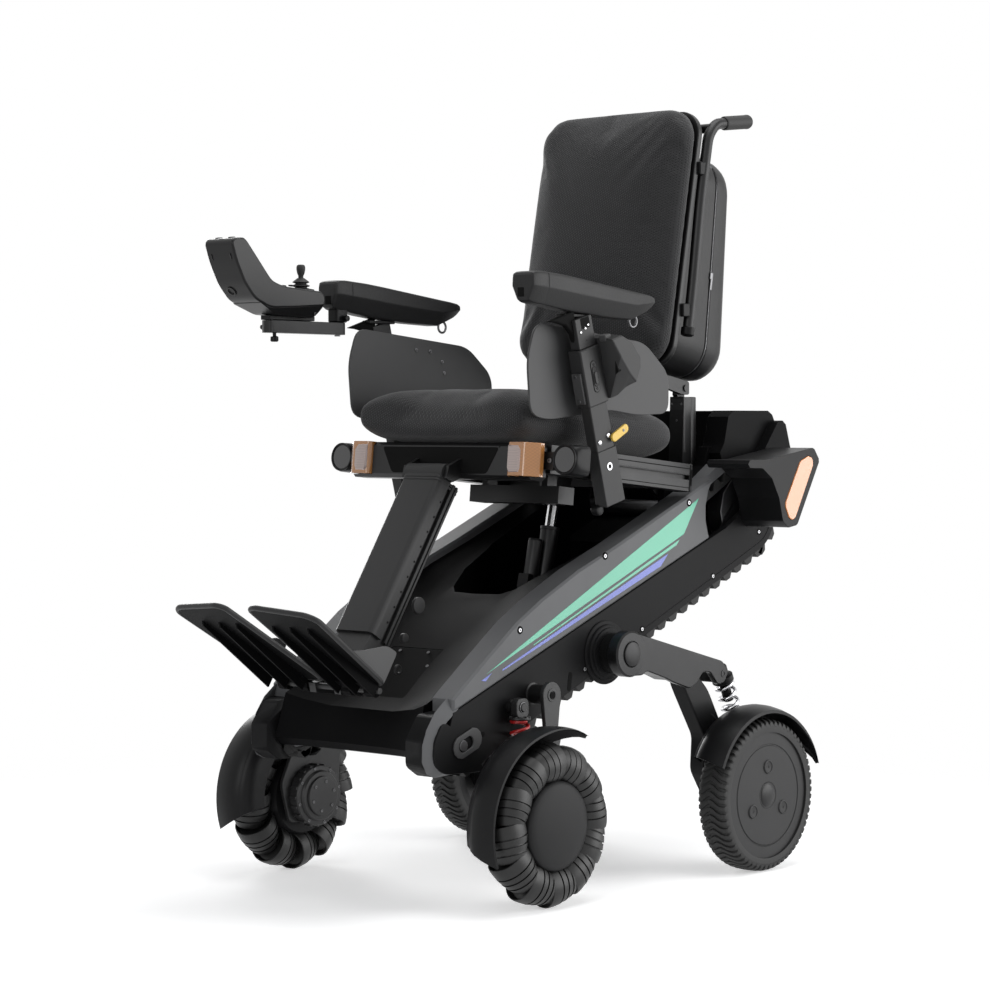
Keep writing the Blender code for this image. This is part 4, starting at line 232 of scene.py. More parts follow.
def coated_metal(name, colour, roughness, metallic=0.55, speckle=900.0, depth=0.00004):
    """Powder coated or anodised metal with a fine even texture."""
    made = Finish(name, colour, roughness, metallic)
    where = made.place()
    cloud = made.noise(where, 22.0, 3.0)
    grains = made.noise(where, speckle, 3.0, 0.65)
    rubbed = made.step(made.noise(where, 48.0, 5.0, 0.72), 0.60, 0.75)
    made.colour(made.blend(rubbed * 0.35, tinted(colour, 0.95), tinted(colour, 1.45)))
    made.rough(roughness - 0.06 + 0.10 * cloud + 0.04 * grains - 0.05 * rubbed)
    made.bumped(grains, depth)
    return made.material


def bare_metal(name, colour, roughness, lines=(1, 1, 60)):
    """Turned or drawn metal with fine lines across it."""
    made = Finish(name, colour, roughness, 1.0)
    streaks = made.noise(made.place(lines), 90.0, 3.0, 0.6)
    cloud = made.noise(made.place(), 30.0, 2.0)
    made.colour(made.blend(cloud, tinted(colour, 0.86), tinted(colour, 1.06)))
    made.rough(roughness - 0.04 + 0.12 * streaks)
    made.bumped(streaks, 0.00002)
    return made.material


def rubbery(name, colour, roughness, grain=700.0, dust=0.25):
    """Moulded rubber with a dusty bloom in its cloudier parts."""
    made = Finish(name, colour, roughness, 0.0, **{"Specular IOR Level": 0.42})
    where = made.place()
    cloud = made.noise(where, 35.0, 4.0, 0.6)
    grains = made.noise(where, grain, 3.0, 0.7)
    bloom = made.step(cloud, 0.45, 0.75) * dust
    made.colour(made.blend(bloom, colour, tinted(colour, 2.4)))
    made.rough(roughness - 0.06 + 0.12 * cloud)
    made.bumped(grains, 0.00008)
    return made.material


def spacer_mesh(name, colour, pitch, turn, middle, half):
    """Knitted spacer fabric over a slab's six sides: small open cells, near black for backing and painted
    shade.

    Once turned, the slab lies in the first two directions; the third is its depth.
    """
    made = Finish(name, colour, 0.88, 0.0, **{"Sheen Weight": 0.3, "Sheen Roughness": 0.5,
                                              "Specular IOR Level": 0.25})
    across, along, deep = made.along(made.place((1, 1, 1), turn, (-middle[0], -middle[1], 0)))

    def cells(first, second):
        a = first * (2 * math.pi / pitch)
        b = second * (2 * math.pi / pitch)
        return ((a + math.pi / 2).sine() + (a * 0.5 + b * 0.866 + math.pi / 2).sine()
                + (a * 0.5 - b * 0.866 + math.pi / 2).sine())

    side = made.step(abs(across), half[0] - 0.014, half[0] - 0.002)
    end_on = made.step(abs(along), half[1] - 0.014, half[1] - 0.002)
    flat = cells(across, along)
    flat = flat + (cells(deep, along) - flat) * side
    flat = flat + (cells(across, deep) - flat) * (end_on * (1.0 - side))
    # Open cells: near black, partly the dark backing and partly painted shade inside the holes.
    hole = made.step(flat, 0.7, 2.2)
    thread = made.noise(made.place(), 1600.0, 2.0)
    worn = made.noise(made.place(), 9.0, 3.0)
    knit = made.blend(thread * 0.6 + worn * 0.4, tinted(colour, 0.75), tinted(colour, 1.45))
    made.colour(made.blend(hole * 0.85, knit, tinted(colour, 0.15)))
    made.rough(0.82 + 0.10 * thread)
    made.bumped(thread * 0.25 - hole, 0.0007)
    return made.material


def soft_grain(name, colour, roughness, scale=420.0):
    """Polyurethane skin with a fine leather grain."""
    made = Finish(name, colour, roughness, 0.0, **{"Specular IOR Level": 0.28})
    where = made.place()
    pebble = made.cells(where, scale)
    cloud = made.noise(where, 18.0, 3.0)
    made.colour(made.blend(cloud, tinted(colour, 0.85), tinted(colour, 1.18)))
    made.rough(roughness - 0.06 + 0.10 * cloud + 0.10 * pebble)
    made.bumped(pebble, 0.00012)
    return made.material


def lens(name, colour, roughness, pitch=0.006):
    """Moulded reflector: small prisms under a clear face."""
    made = Finish(name, colour, roughness, 0.0, **{"Coat Weight": 1.0, "Coat Roughness": 0.05})
    _, along, up = made.along(made.place((1 / pitch, 1 / pitch, 1 / pitch)))
    ridge = abs((along + up) % 1.0 - 0.5) + abs((along - up) % 1.0 - 0.5)
    # The ridges tint the facets lighter and darker: painted shading of the prisms, besides their real bump.
    made.colour(made.blend(ridge, tinted(colour, 0.88), tinted(colour, 1.08)))
    made.bumped(ridge, 0.00012)
    return made.material


def sheet_vinyl(name, colour):
    """Coloured film on a panel: even colour with a faint orange peel."""
    made = Finish(name, colour, 0.34, 0.0, **{"Coat Weight": 0.3, "Coat Roughness": 0.2})
    peel = made.noise(made.place(), 500.0, 2.0)
    made.colour(made.blend(peel, tinted(colour, 0.94), tinted(colour, 1.05)))
    made.rough(0.30 + 0.08 * peel)
    made.bumped(peel, 0.00003)
    return made.material


def glossy(name, colour, roughness=0.12):
    """Polished plastic or glass over a dark ground, with light smears."""
    made = Finish(name, colour, roughness, 0.0, **{"Coat Weight": 0.6, "Coat Roughness": 0.06})
    smear = made.noise(made.place((1, 4, 1)), 30.0, 4.0)
    made.colour(made.blend(smear, tinted(colour, 0.85), tinted(colour, 1.2)))
    made.rough(roughness + 0.10 * smear)
    return made.material


HULL = moulded("hull_plastic", (0.0055, 0.0055, 0.0058), 0.42, 1400.0, 0.00006, 0.0, 0.02)
HOUSING = moulded("housing_plastic", (0.0065, 0.0065, 0.0068), 0.42, 1400.0, 0.00006, 0.0, 0.04)
COVER = moulded("cover_plastic", (0.0105, 0.0105, 0.011), 0.44, 1400.0, 0.00006, 0.0, 0.07)
PANEL = moulded("panel_grey", (0.150, 0.152, 0.156), 0.42, 1800.0, 0.00004)
TRIM = moulded("trim_plastic", (0.009, 0.009, 0.0095), 0.34, 1800.0, 0.00004)
SMOOTH = moulded("smooth_black", (0.008, 0.008, 0.0085), 0.30, 2200.0, 0.00002, 0.10, 0.2)
ARM_METAL = coated_metal("arm_metal", (0.014, 0.014, 0.0145), 0.34, 0.6)
FRAME_METAL = coated_metal("frame_metal", (0.012, 0.012, 0.0125), 0.36, 0.45)
LEG_METAL = coated_metal("leg_metal", (0.022, 0.022, 0.0225), 0.42, 0.4, 1300.0)
WHEEL_METAL = coated_metal("wheel_metal", (0.020, 0.020, 0.0205), 0.46, 0.6, 1200.0)
CAP_PLASTIC = moulded("cap_plastic", (0.019, 0.019, 0.0195), 0.46, 1500.0, 0.00005)
GUARD = moulded("guard_plate", (0.066, 0.066, 0.067), 0.50, 1500.0, 0.00004, 0.0, 0.30)
POST_METAL = moulded("post_metal", (0.030, 0.030, 0.0305), 0.44, 1500.0, 0.00004, 0.0, 0.24)
# Near black: painted shade in holes, slots, wells, recesses and the rings round sunk screws, and the own
# black of a few dark parts such as the caliper.
SHADE_AND_BLACK = moulded("recess_black", (0.0025, 0.0025, 0.0025), 0.75, 1500.0, 0.00002, 0.0, 0.1)
DARK_STEEL = bare_metal("dark_steel", (0.16, 0.16, 0.165), 0.34)
BRIGHT_STEEL = bare_metal("bright_steel", (0.42, 0.42, 0.43), 0.30)
CHROME = bare_metal("polished_rod", (0.70, 0.70, 0.71), 0.14, (60, 60, 1))
TREAD = rubbery("tread_rubber", (0.010, 0.010, 0.010), 0.62)
ROLLER = rubbery("roller_rubber", (0.007, 0.007, 0.007), 0.44, 900.0, 0.12)
BELT = rubbery("belt_rubber", (0.011, 0.011, 0.011), 0.66)
GRIP = rubbery("grip_rubber", (0.013, 0.013, 0.013), 0.60, 1100.0, 0.15)
FABRIC_SEAT = spacer_mesh("seat_mesh", (0.030, 0.030, 0.031), 0.0040, (SEAT_TILT, 0, 0), (0, -0.009),
                          (0.190, 0.190))
FABRIC_BACK = spacer_mesh("back_mesh", (0.034, 0.034, 0.035), 0.0040, (BACK_LEAN - math.pi / 2, 0, 0),
                          (0, 1.090), (0.166, 0.223))
PIPING = rubbery("woven_piping", (0.012, 0.012, 0.012), 0.78, 2400.0, 0.1)
PAD_SKIN = soft_grain("pad_skin", (0.010, 0.010, 0.0105), 0.46)
BAG_SHELL = soft_grain("bag_shell", (0.011, 0.011, 0.0115), 0.40, 700.0)
RED_PAINT = coated_metal("red_paint", (0.42, 0.014, 0.014), 0.30, 0.1)
SPRING_STEEL = bare_metal("spring_steel", (0.66, 0.66, 0.68), 0.22)
AMBER = lens("amber_lens", (0.62, 0.26, 0.07), 0.18, 0.005)
ORANGE = lens("orange_reflector", (0.72, 0.24, 0.045), 0.28, 0.004)
LAMP_GLASS = glossy("lamp_glass", (0.020, 0.020, 0.022), 0.08)
SCREEN = glossy("screen_glass", (0.010, 0.010, 0.012), 0.10)
MINT = sheet_vinyl("mint_film", (0.070, 0.480, 0.300))
PERIWINKLE = sheet_vinyl("periwinkle_film", (0.100, 0.140, 0.560))
YELLOW = coated_metal("yellow_paint", (0.70, 0.46, 0.06), 0.36, 0.1)


# Meshes

def new_object(name, mesh):
    """An object of the scene with that mesh or curve."""
    item = bpy.data.objects.new(name, mesh)
    bpy.context.scene.collection.objects.link(item)
    return item


def mesh_of(work, name):
    """Closes a bmesh's work: doubles merged, faces outward, and turned into a mesh."""
    bmesh.ops.remove_doubles(work, verts=work.verts, dist=0.000005)
    bmesh.ops.recalc_face_normals(work, faces=work.faces)
    mesh = bpy.data.meshes.new(name)
    work.to_mesh(mesh)
    work.free()
    return mesh


def shaded(mesh, material, angle=50):
    """The mesh in its stuff, smooth but for edges past the angle."""
    mesh.materials.clear()
    mesh.materials.append(material)
    mesh.shade_smooth()
    mesh.set_sharp_from_angle(angle=math.radians(angle))
    return mesh


def evaluated(item):
    """The item's mesh with its modifiers used; the item itself is taken away."""
    mesh = bpy.data.meshes.new_from_object(item.evaluated_get(bpy.context.evaluated_depsgraph_get()))
    bpy.data.objects.remove(item)
    return mesh


def edged(mesh, width, segments=2, limit=30):
    """Rounds the mesh's edges that are sharper than the limit."""
    item = new_object("edging", mesh)
    bevel = item.modifiers.new("edges", "BEVEL")
    bevel.width = width
    bevel.segments = segments
    bevel.limit_method = "ANGLE"
    bevel.angle_limit = math.radians(limit)
    bevel.harden_normals = False
    bevel.use_clamp_overlap = True
    return evaluated(item)


def levelled(mesh):
    """Normals drawn towards the larger faces, so that flat faces look flat beside their rounded edges."""
    item = new_object("levelling", mesh)
    item.modifiers.new("level", "WEIGHTED_NORMAL").keep_sharp = True
    return evaluated(item)


def merged(*meshes):
    """Several meshes as one, each with its own materials kept."""
    whole = bmesh.new()
    stuffs = []
    for mesh in meshes:
        shift = len(stuffs)
        stuffs += list(mesh.materials)
        first = len(whole.faces)
        whole.from_mesh(mesh)
        whole.faces.ensure_lookup_table()
        for face in whole.faces[first:]:
            face.material_index += shift
    out = bpy.data.meshes.new("merged")
    whole.to_mesh(out)
    whole.free()
    for stuff in stuffs:
        out.materials.append(stuff)
    return out


def flipped(mesh):
    """The mirror image across the middle, faces outward again."""
    other = mesh.copy()
    other.transform(Matrix.Diagonal((-1, 1, 1, 1)))
    other.flip_normals()
    return other


def body_of(node):
    """The body that carries a CAD node."""
    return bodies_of(NODES[node])[0]


def show(name, mesh, body, replaces=()):
    """A finished piece on its body, standing for CAD nodes if it is given any."""
    mesh = levelled(mesh)
    item = new_object(name, mesh)
    mesh.name = name
    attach(item, body)
    if replaces:
        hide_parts(*replaces)
    return item


def stand_in(node, mesh):
    """A finished piece in place of one CAD node."""
    return show(node + "_finish", mesh, body_of(node), (node,))


def copy_of(node):
    """A CAD node's mesh with its triangles joined up again into flat faces."""
    work = bmesh.new()
    work.from_mesh(NODES[node].data)
    bmesh.ops.remove_doubles(work, verts=work.verts, dist=0.00002)
    bmesh.ops.dissolve_limit(work, angle_limit=math.radians(0.4), verts=work.verts, edges=work.edges)
    mesh = bpy.data.meshes.new(node)
    work.to_mesh(mesh)
    work.free()
    return mesh


def refine(node, material, width=0.0012, extra=(), segments=2):
    """The CAD node with softened edges in its real stuff, and small pieces that belong to it."""
    mesh = shaded(edged(copy_of(node), width, segments), material)
    if extra:
        mesh = merged(mesh, *extra)
    return stand_in(node, mesh)


def block(low, high, material, width=0.0, segments=2):
    """A box between two corners."""
    low, high = Vector(low), Vector(high)
    work = bmesh.new()
    bmesh.ops.create_cube(work, size=1.0)
    work.transform(Matrix.Translation((low + high) / 2) @ Matrix.Diagonal((*(high - low), 1)))
    mesh = mesh_of(work, "block")
    if width:
        mesh = edged(mesh, width, segments)
    return shaded(mesh, material)


def outline_plate(outline, low, high, material, width=0.0, axis="X", segments=2):
    """A flat outline in the other two directions, pushed along the axis from low to high."""
    work = bmesh.new()
    if axis == "X":
        ring = [work.verts.new((low, y, z)) for y, z in outline]
        push = Vector((high - low, 0, 0))
    elif axis == "Z":
        ring = [work.verts.new((x, y, low)) for x, y in outline]
        push = Vector((0, 0, high - low))
    else:
        ring = [work.verts.new((x, low, z)) for x, z in outline]
        push = Vector((0, high - low, 0))
    face = work.faces.new(ring)
    far = bmesh.ops.extrude_face_region(work, geom=[face])["geom"]
    bmesh.ops.translate(work, verts=[v for v in far if isinstance(v, bmesh.types.BMVert)], vec=push)
    mesh = mesh_of(work, "plate")
    if width:
        mesh = edged(mesh, width, segments)
    return shaded(mesh, material)


def drawn(outline):
    """An outline in Y and Z brought from the drawing's place into the frame's."""
    return [(y + DRAWN_Y, z) for y, z in outline]


def side_plate(sign, outline, near, far, material, width=0.0, segments=2):
    """An outline of the drawing pushed between two distances from the middle, on one side."""
    low, high = sorted((sign * near, sign * far))
    return outline_plate(drawn(outline), low, high, material, width, segments=segments)


def round_corners(outline, radius, steps=4):
    """Arcs in place of an outline's corners."""
    out = []
    count = len(outline)
    for n, corner in enumerate(outline):
        here = Vector(corner)
        before, after = Vector(outline[n - 1]) - here, Vector(outline[(n + 1) % count]) - here
        reach = min(radius, before.length * 0.48, after.length * 0.48)
        start, end = here + before.normalized() * reach, here + after.normalized() * reach
        for k in range(steps + 1):
            t = k / steps
            out.append(tuple(start * (1 - t) ** 2 + here * 2 * t * (1 - t) + end * t ** 2))
    return out


def placed(mesh, matrix):
    """The mesh moved, its faces outward after a mirroring too."""
    mesh.transform(matrix)
    if matrix.determinant() < 0:
        mesh.flip_normals()
    return mesh


def facing(place, direction, roll=0.0):
    """A matrix that puts Z along the direction at that place."""
    turn = Vector(direction).to_track_quat("Z", "Y").to_matrix().to_4x4()
    return Matrix.Translation(place) @ turn @ Matrix.Rotation(roll, 4, "Z")


def side_block(sign, low, high, material, width=0.001, place=DRAWN):
    """A box between two corners of one side, mirrored where the sign is negative."""
    first, last = sorted((sign * low[0], sign * high[0]))
    return placed(block((first, *low[1:]), (last, *high[1:]), material, width), place)


def circle(radius, count, level=0.0, shift=0.0):
    """Places evenly round Z; the shift is a share of one step."""
    turns = [math.tau * (n + shift) / count for n in range(count)]
    return [Vector((radius * math.cos(turn), radius * math.sin(turn), level)) for turn in turns]


def turned(profile, material, steps=64, angle=40):
    """A profile of (radius, height) pairs spun about Z."""
    work = bmesh.new()
    rings = []
    for radius, height in profile:
        if radius < 1e-6:
            rings.append([work.verts.new((0, 0, height))])
            continue
        rings.append([work.verts.new(place) for place in circle(radius, steps, height)])
    for low, high in zip(rings, rings[1:]):
        for n in range(steps):
            m = (n + 1) % steps
            corners = [low[n % len(low)], low[m % len(low)], high[m % len(high)], high[n % len(high)]]
            unique = list(dict.fromkeys(corners))
            if len(unique) > 2:
                work.faces.new(unique)
    return shaded(mesh_of(work, "turned"), material, angle)


def loft(rings, material, angle=45):
    """Rings of equal count joined in order, with both ends closed."""
    work = bmesh.new()
    made = [[work.verts.new(p) for p in ring] for ring in rings]
    for low, high in zip(made, made[1:]):
        for n in range(len(low)):
            m = (n + 1) % len(low)
            work.faces.new((low[n], low[m], high[m], high[n]))
    work.faces.new(made[0])
    work.faces.new(made[-1])
    return shaded(mesh_of(work, "loft"), material, angle)


def pipe(points, radius, material, sides=6, closed=False, smooth=True):
    """A round tube along points."""
    curve = bpy.data.curves.new("pipe", "CURVE")
    curve.dimensions = "3D"
    curve.bevel_depth = radius
    curve.bevel_resolution = sides
    curve.use_fill_caps = not closed
    kind = "NURBS" if smooth else "POLY"
    line = curve.splines.new(kind)
    line.points.add(len(points) - 1)
    for point, place in zip(line.points, points):
        point.co = (*place, 1.0)
    line.use_cyclic_u = closed
    if smooth:
        line.order_u = min(4, len(points))
        line.use_endpoint_u = not closed
    line.resolution_u = 6
    return shaded(evaluated(new_object("pipe", curve)), material, 50)


# Geometry node trees for what repeats

class Plan(Wiring):
    """A geometry node tree with named inputs; its first input is the geometry it works on."""

    def __init__(self, name, **inputs):
        super().__init__(bpy.data.node_groups.new(name, "GeometryNodeTree"))
        face = self.tree.interface
        face.new_socket("Geometry", in_out="OUTPUT", socket_type="NodeSocketGeometry")
        face.new_socket("Geometry", in_out="INPUT", socket_type="NodeSocketGeometry")
        for label, kind in inputs.items():
            face.new_socket(label, in_out="INPUT", socket_type="NodeSocket" + kind)
        self.given = self.node("NodeGroupInput").outputs

    def shape(self):
        """The geometry of the object that is given as the shape."""
        return self.node("GeometryNodeObjectInfo", {"transform_space": "ORIGINAL"}, {
            "Object": self.given["Shape"]}).outputs["Geometry"]

    def finish(self, points, shape, turn):
        """The shape on every point, made real, in the material that is asked for."""
        spread = self.node("GeometryNodeInstanceOnPoints", {}, {
            "Points": points, "Instance": shape, "Rotation": turn})
        real = self.node("GeometryNodeRealizeInstances", {}, {"Geometry": spread.outputs[0]})
        dressed = self.node("GeometryNodeSetMaterial", {}, {
            "Geometry": real.outputs[0], "Material": self.given["Material"]})
        self.node("NodeGroupOutput", {}, {"Geometry": dressed.outputs[0]})

    def run(self, mesh, **values):
        """The tree used on a mesh, as a plain mesh."""
        item = new_object("run", mesh)
        use = item.modifiers.new("plan", "NODES")
        use.node_group = self.tree
        for socket in self.tree.interface.items_tree:
            if socket.in_out == "INPUT" and socket.name in values:
                use[socket.identifier] = values[socket.name]
        return evaluated(item)


def ring_plan():
    """The shape repeated round Z at a radius, each turned with its place."""
    plan = Plan("ring", Count="Int", Radius="Float", Material="Material")
    circle = plan.node("GeometryNodeMeshCircle", {}, {
        "Vertices": plan.given["Count"], "Radius": plan.given["Radius"]})
    index = Term(plan, plan.node("GeometryNodeInputIndex").outputs[0])
    angle = index * (2 * math.pi) / Term(plan, plan.given["Count"])
    vector = plan.node("ShaderNodeCombineXYZ", {}, {"Z": angle})
    turn = plan.node("FunctionNodeEulerToRotation", {}, {0: vector.outputs[0]})
    plan.finish(circle.outputs[0], plan.given["Geometry"], turn.outputs[0])
    return plan


def spots_plan():
    """A shape on every point, its Z along the point's facing and turned by its roll."""
    plan = Plan("spots", Shape="Object", Material="Material")
    facing_way = plan.node("GeometryNodeInputNamedAttribute", {"data_type": "FLOAT_VECTOR"}, {
        "Name": "facing"})
    roll = plan.node("GeometryNodeInputNamedAttribute", {"data_type": "FLOAT"}, {"Name": "roll"})
    aim = plan.node("FunctionNodeAlignRotationToVector", {"axis": "Z"}, {
        "Vector": facing_way.outputs[0]})
    spin = plan.node("FunctionNodeAxisAngleToRotation", {}, {"Axis": (0, 0, 1), "Angle": roll.outputs[0]})
    turn = plan.node("FunctionNodeRotateRotation", {"rotation_space": "LOCAL"}, {
        "Rotation": aim.outputs[0], "Rotate By": spin.outputs[0]})
    plan.finish(plan.given["Geometry"], plan.shape(), turn.outputs[0])
    return plan


def row_plan():
    """A shape at even steps along a line of edges, its Y along the line."""
    plan = Plan("row", Shape="Object", Spacing="Float", Material="Material")
    line = plan.node("GeometryNodeMeshToCurve", {}, {"Mesh": plan.given["Geometry"]})
    even = plan.node("GeometryNodeResampleCurve", {"mode": "LENGTH"}, {
        "Curve": line.outputs[0], "Length": plan.given["Spacing"]})
    way = plan.node("GeometryNodeInputTangent")
    turn = plan.node("FunctionNodeAlignRotationToVector", {"axis": "Y", "pivot_axis": "AUTO"}, {
        "Vector": way.outputs[0]})
    plan.finish(even.outputs[0], plan.shape(), turn.outputs[0])
    return plan


RING = ring_plan()
SPOTS = spots_plan()
ROW = row_plan()


def line_mesh(points, closed=False):
    mesh = bpy.data.meshes.new("line")
    edges = [(n, n + 1) for n in range(len(points) - 1)]
    if closed:
        edges.append((len(points) - 1, 0))
    mesh.from_pydata([tuple(p) for p in points], edges, [])
    return mesh


def around(shape, count, radius, material):
    """The shape repeated round Z."""
    return RING.run(shape, Count=count, Radius=radius, Material=material)


def scattered(shape, places, material):
    """The shape at each (place, facing, roll)."""
    mesh = bpy.data.meshes.new("places")
    mesh.from_pydata([tuple(place) for place, _, _ in places], [], [])
    mesh.attributes.new("facing", "FLOAT_VECTOR", "POINT")
    mesh.attributes.new("roll", "FLOAT", "POINT")
    for n, (_, way, turn) in enumerate(places):
        mesh.attributes["facing"].data[n].vector = way
        mesh.attributes["roll"].data[n].value = turn
    pattern = new_object("pattern", shape)
    made = SPOTS.run(mesh, Shape=pattern, Material=material)
    bpy.data.objects.remove(pattern)
    return made


def lined_up(shape, points, spacing, material, closed=False):
    """The shape at even steps along a line."""
    pattern = new_object("pattern", shape)
    made = ROW.run(line_mesh(points, closed), Shape=pattern, Spacing=spacing, Material=material)
    bpy.data.objects.remove(pattern)
    return made


# Screws

def hex_socket_screw(radius, height):
    """Cap screw standing on its seat, with a six-sided recess."""
    rounding = radius * 0.14
    profile = ((radius, 0), (radius, height - rounding), (radius - rounding, height), (radius * 0.56, height))
    rings = [circle(reach, 12, level) for reach, level in profile]
    for level in (height, height - radius * 0.5):
        recess = circle(radius * 0.48, 12, level)
        for place in recess[1::2]:
            place.x *= math.cos(math.pi / 6)
            place.y *= math.cos(math.pi / 6)
        rings.append(recess)
    return loft(rings, DARK_STEEL, 30)


def washer(radius, bore, height):
    """A low ring that a screw sits in."""
    return turned([(radius, 0), (radius, height * 0.6), (radius - height * 0.4, height), (bore, height),
                   (bore, 0)], TRIM, 20)


def screws(places, radius, height, material):
    """Screws at (x, y, z, facing) of the drawing; each turned a little differently."""
    spots = [(spot(*place[:3]), Vector(place[3]).normalized(), 0.7 * n) for n, place in enumerate(places)]
    return scattered(hex_socket_screw(radius, height), spots, material)


def sunk_screws(places, radius):
    """Bright screws, each in a dark ring that paints the shade of its counterbore."""
    spots = [(spot(*place[:3]), Vector(place[3]).normalized(), 0.7 * n) for n, place in enumerate(places)]
    # The rings are near black: painted shade round each sunk head.
    rings = scattered(washer(radius * 1.75, radius * 0.95, radius * 0.22), spots, SHADE_AND_BLACK)
    heads = scattered(hex_socket_screw(radius, radius * 0.3), spots, BRIGHT_STEEL)
    return merged(rings, heads)


def disc(radius, thick, material, steps=32, edge=0.0008):
    """A round plate on the ground plane with softened rims."""
    return turned([(0, 0), (radius - edge * 0.4, 0), (radius, edge * 0.6), (radius, thick - edge),
                   (radius - edge * 0.3, thick - edge * 0.3), (radius - edge, thick), (0, thick)],
                  material, steps)


def ring(radius, bore, thick, material, steps=40, edge=0.0008):
    """A flat ring with softened rims."""
    return turned([(bore, 0), (radius, 0), (radius, thick - edge),
                   (radius - edge * 0.3, thick - edge * 0.3),
                   (radius - edge, thick), (bore + edge, thick), (bore, thick - edge), (bore, 0)],
                  material, steps)


def on_side(mesh, x, y, z, sign=1):
    """A piece drawn on Z, set on a side face with Z outward."""
    return placed(mesh, facing(spot(sign * x, y, z), (sign, 0, 0)))


# Track belts

SPROCKET_RADIUS = 0.064
IDLER_RADIUS = 0.030
BELT_SKIN = 0.007
BELT_IN = 0.1565
BELT_OUT = 0.186
BELT_SHOULDER = 0.0012
LUG_STEP = 0.0312
LUG_REACH = 0.1975


def belt_turns():
    """Heading of the line between the wheels and the angle of its tangents' normals."""
    away = Vector(SPROCKET) - Vector(IDLER)
    return math.atan2(away.y, away.x), math.acos((IDLER_RADIUS - SPROCKET_RADIUS) / away.length)


def belt_arc(centre, radius, start, end, steps):
    """Places along an arc in Y and Z."""
    return [(centre[0] + radius * math.cos(start + (end - start) * n / steps),
             centre[1] + radius * math.sin(start + (end - start) * n / steps)) for n in range(steps + 1)]


def belt_loop(outward, steps=28):
    """The belt's line that far outside its wheels: along below, round the sprocket and back above."""
    heading, half = belt_turns()
    rear = belt_arc(SPROCKET, SPROCKET_RADIUS + outward, heading - half, heading + half, steps)
    front = belt_arc(IDLER, IDLER_RADIUS + outward, heading + half, heading - half + math.tau, steps)
    return rear + front


def belt_band(sign):
    """The belt's carcass, with a rounded shoulder on each edge."""
    section = ((BELT_IN, 0.0), (BELT_OUT, 0.0), (BELT_OUT, BELT_SKIN - BELT_SHOULDER),
               (BELT_OUT - BELT_SHOULDER, BELT_SKIN), (BELT_IN + BELT_SHOULDER, BELT_SKIN),
               (BELT_IN, BELT_SKIN - BELT_SHOULDER))
    work = bmesh.new()
    loops = [[work.verts.new(spot(sign * x, *place)) for place in belt_loop(outward)]
             for x, outward in section]
    for low, high in zip(loops, loops[1:] + loops[:1]):
        for n in range(len(low)):
            m = (n + 1) % len(low)
            work.faces.new((low[n], low[m], high[m], high[n]))
    return shaded(mesh_of(work, "band"), BELT)


def lug(sign, wide):
    """A cross bar of the tread; the wide ones reach out under the cover's edge."""
    base, tip = (-0.0015, -0.0115) if wide else (0.001, -0.0102)
    reach = LUG_REACH if wide else BELT_OUT
    rings = []
    for x in (BELT_IN, reach):
        rings.append([(sign * x, y, z) for y, z in (
            (0.0135, base), (0.0048, tip), (0.0036, tip - 0.0008), (-0.0070, tip - 0.0008), (-0.0085, tip),
            (-0.0128, base))])
    return loft(rings, BELT, 25)


def belt_tread(sign):
    """Wide lugs along the open lower run and up round the rear, narrow ones inside the covers."""
    loop = [spot(0, *place) for place in belt_loop(BELT_SKIN)]
    turn_end = 15
    below = [loop[-1], loop[0]]
    runs = ((True, below), (False, below), (True, loop[1:turn_end]), (False, loop[turn_end + 3:-2]))
    return merged(*(lined_up(lug(sign, wide), run, LUG_STEP, BELT) for wide, run in runs))


def track_belts():
    for side, sign in LEFT_AND_RIGHT:
        stand_in("track_belt_" + side, merged(belt_band(sign), belt_tread(sign)))


track_belts()


# Hull, hatch, housing and covers

POD_OUT = 0.200
COVER_WALL = 0.0115
SEAM_START = (-0.466, 0.3030)
SEAM_RISE = math.radians(21.3)
ARM_PIVOT = (-0.1137, 0.372)
LEG_PIVOT = (-0.288, 0.318)
SHOCK_TOP = (-0.340, 0.302)
COWL_UNDER = 0.6895


def beside_seam(along, above):
    """A place on the grey panel, counted along its lower seam and square above it."""
    c, s = math.cos(SEAM_RISE), math.sin(SEAM_RISE)
    return (SEAM_START[0] + along * c - above * s, SEAM_START[1] + along * s + above * c)


STRIPES = (
    (MINT, ((0.085, 0.0235), (0.610, 0.0340), (0.668, 0.0740))),
    (MINT, ((0.200, 0.0190), (0.5850, 0.0245), (0.5960, 0.0300), (0.200, 0.0205))),
    (PERIWINKLE, ((0.120, 0.0125), (0.5350, 0.0085), (0.5600, 0.0200), (0.120, 0.0150))),
    (PERIWINKLE, ((0.070, 0.0190), (0.0960, 0.0200), (0.0790, 0.0140))),
)


def stripes(sign):
    """Straight tapered stripes of thin film on the grey panel."""
    sheets = []
    for film, corners in STRIPES:
        outline = drawn([beside_seam(*corner) for corner in corners])
        sheets.append(outline_plate(outline, sign * (POD_OUT - 0.0002), sign * (POD_OUT + 0.0003), film))
    return sheets


def hull_pieces():
    """Hull, rear housing and hatch."""
    hatch_screws = [(x, y, z, (0, -0.62, 0.78)) for x, y, z in (
        (0.031, -0.3475, 0.3765), (0.050, -0.3700, 0.3575), (-0.031, -0.3475, 0.3765),
        (-0.050, -0.3700, 0.3575))]
    refine("body_shell", HULL, 0.0026, segments=3)
    refine("rear_housing", HOUSING, 0.0028, segments=3)
    refine("front_hatch", HULL, 0.0015, [screws(hatch_screws, 0.0028, 0.0012, DARK_STEEL)])


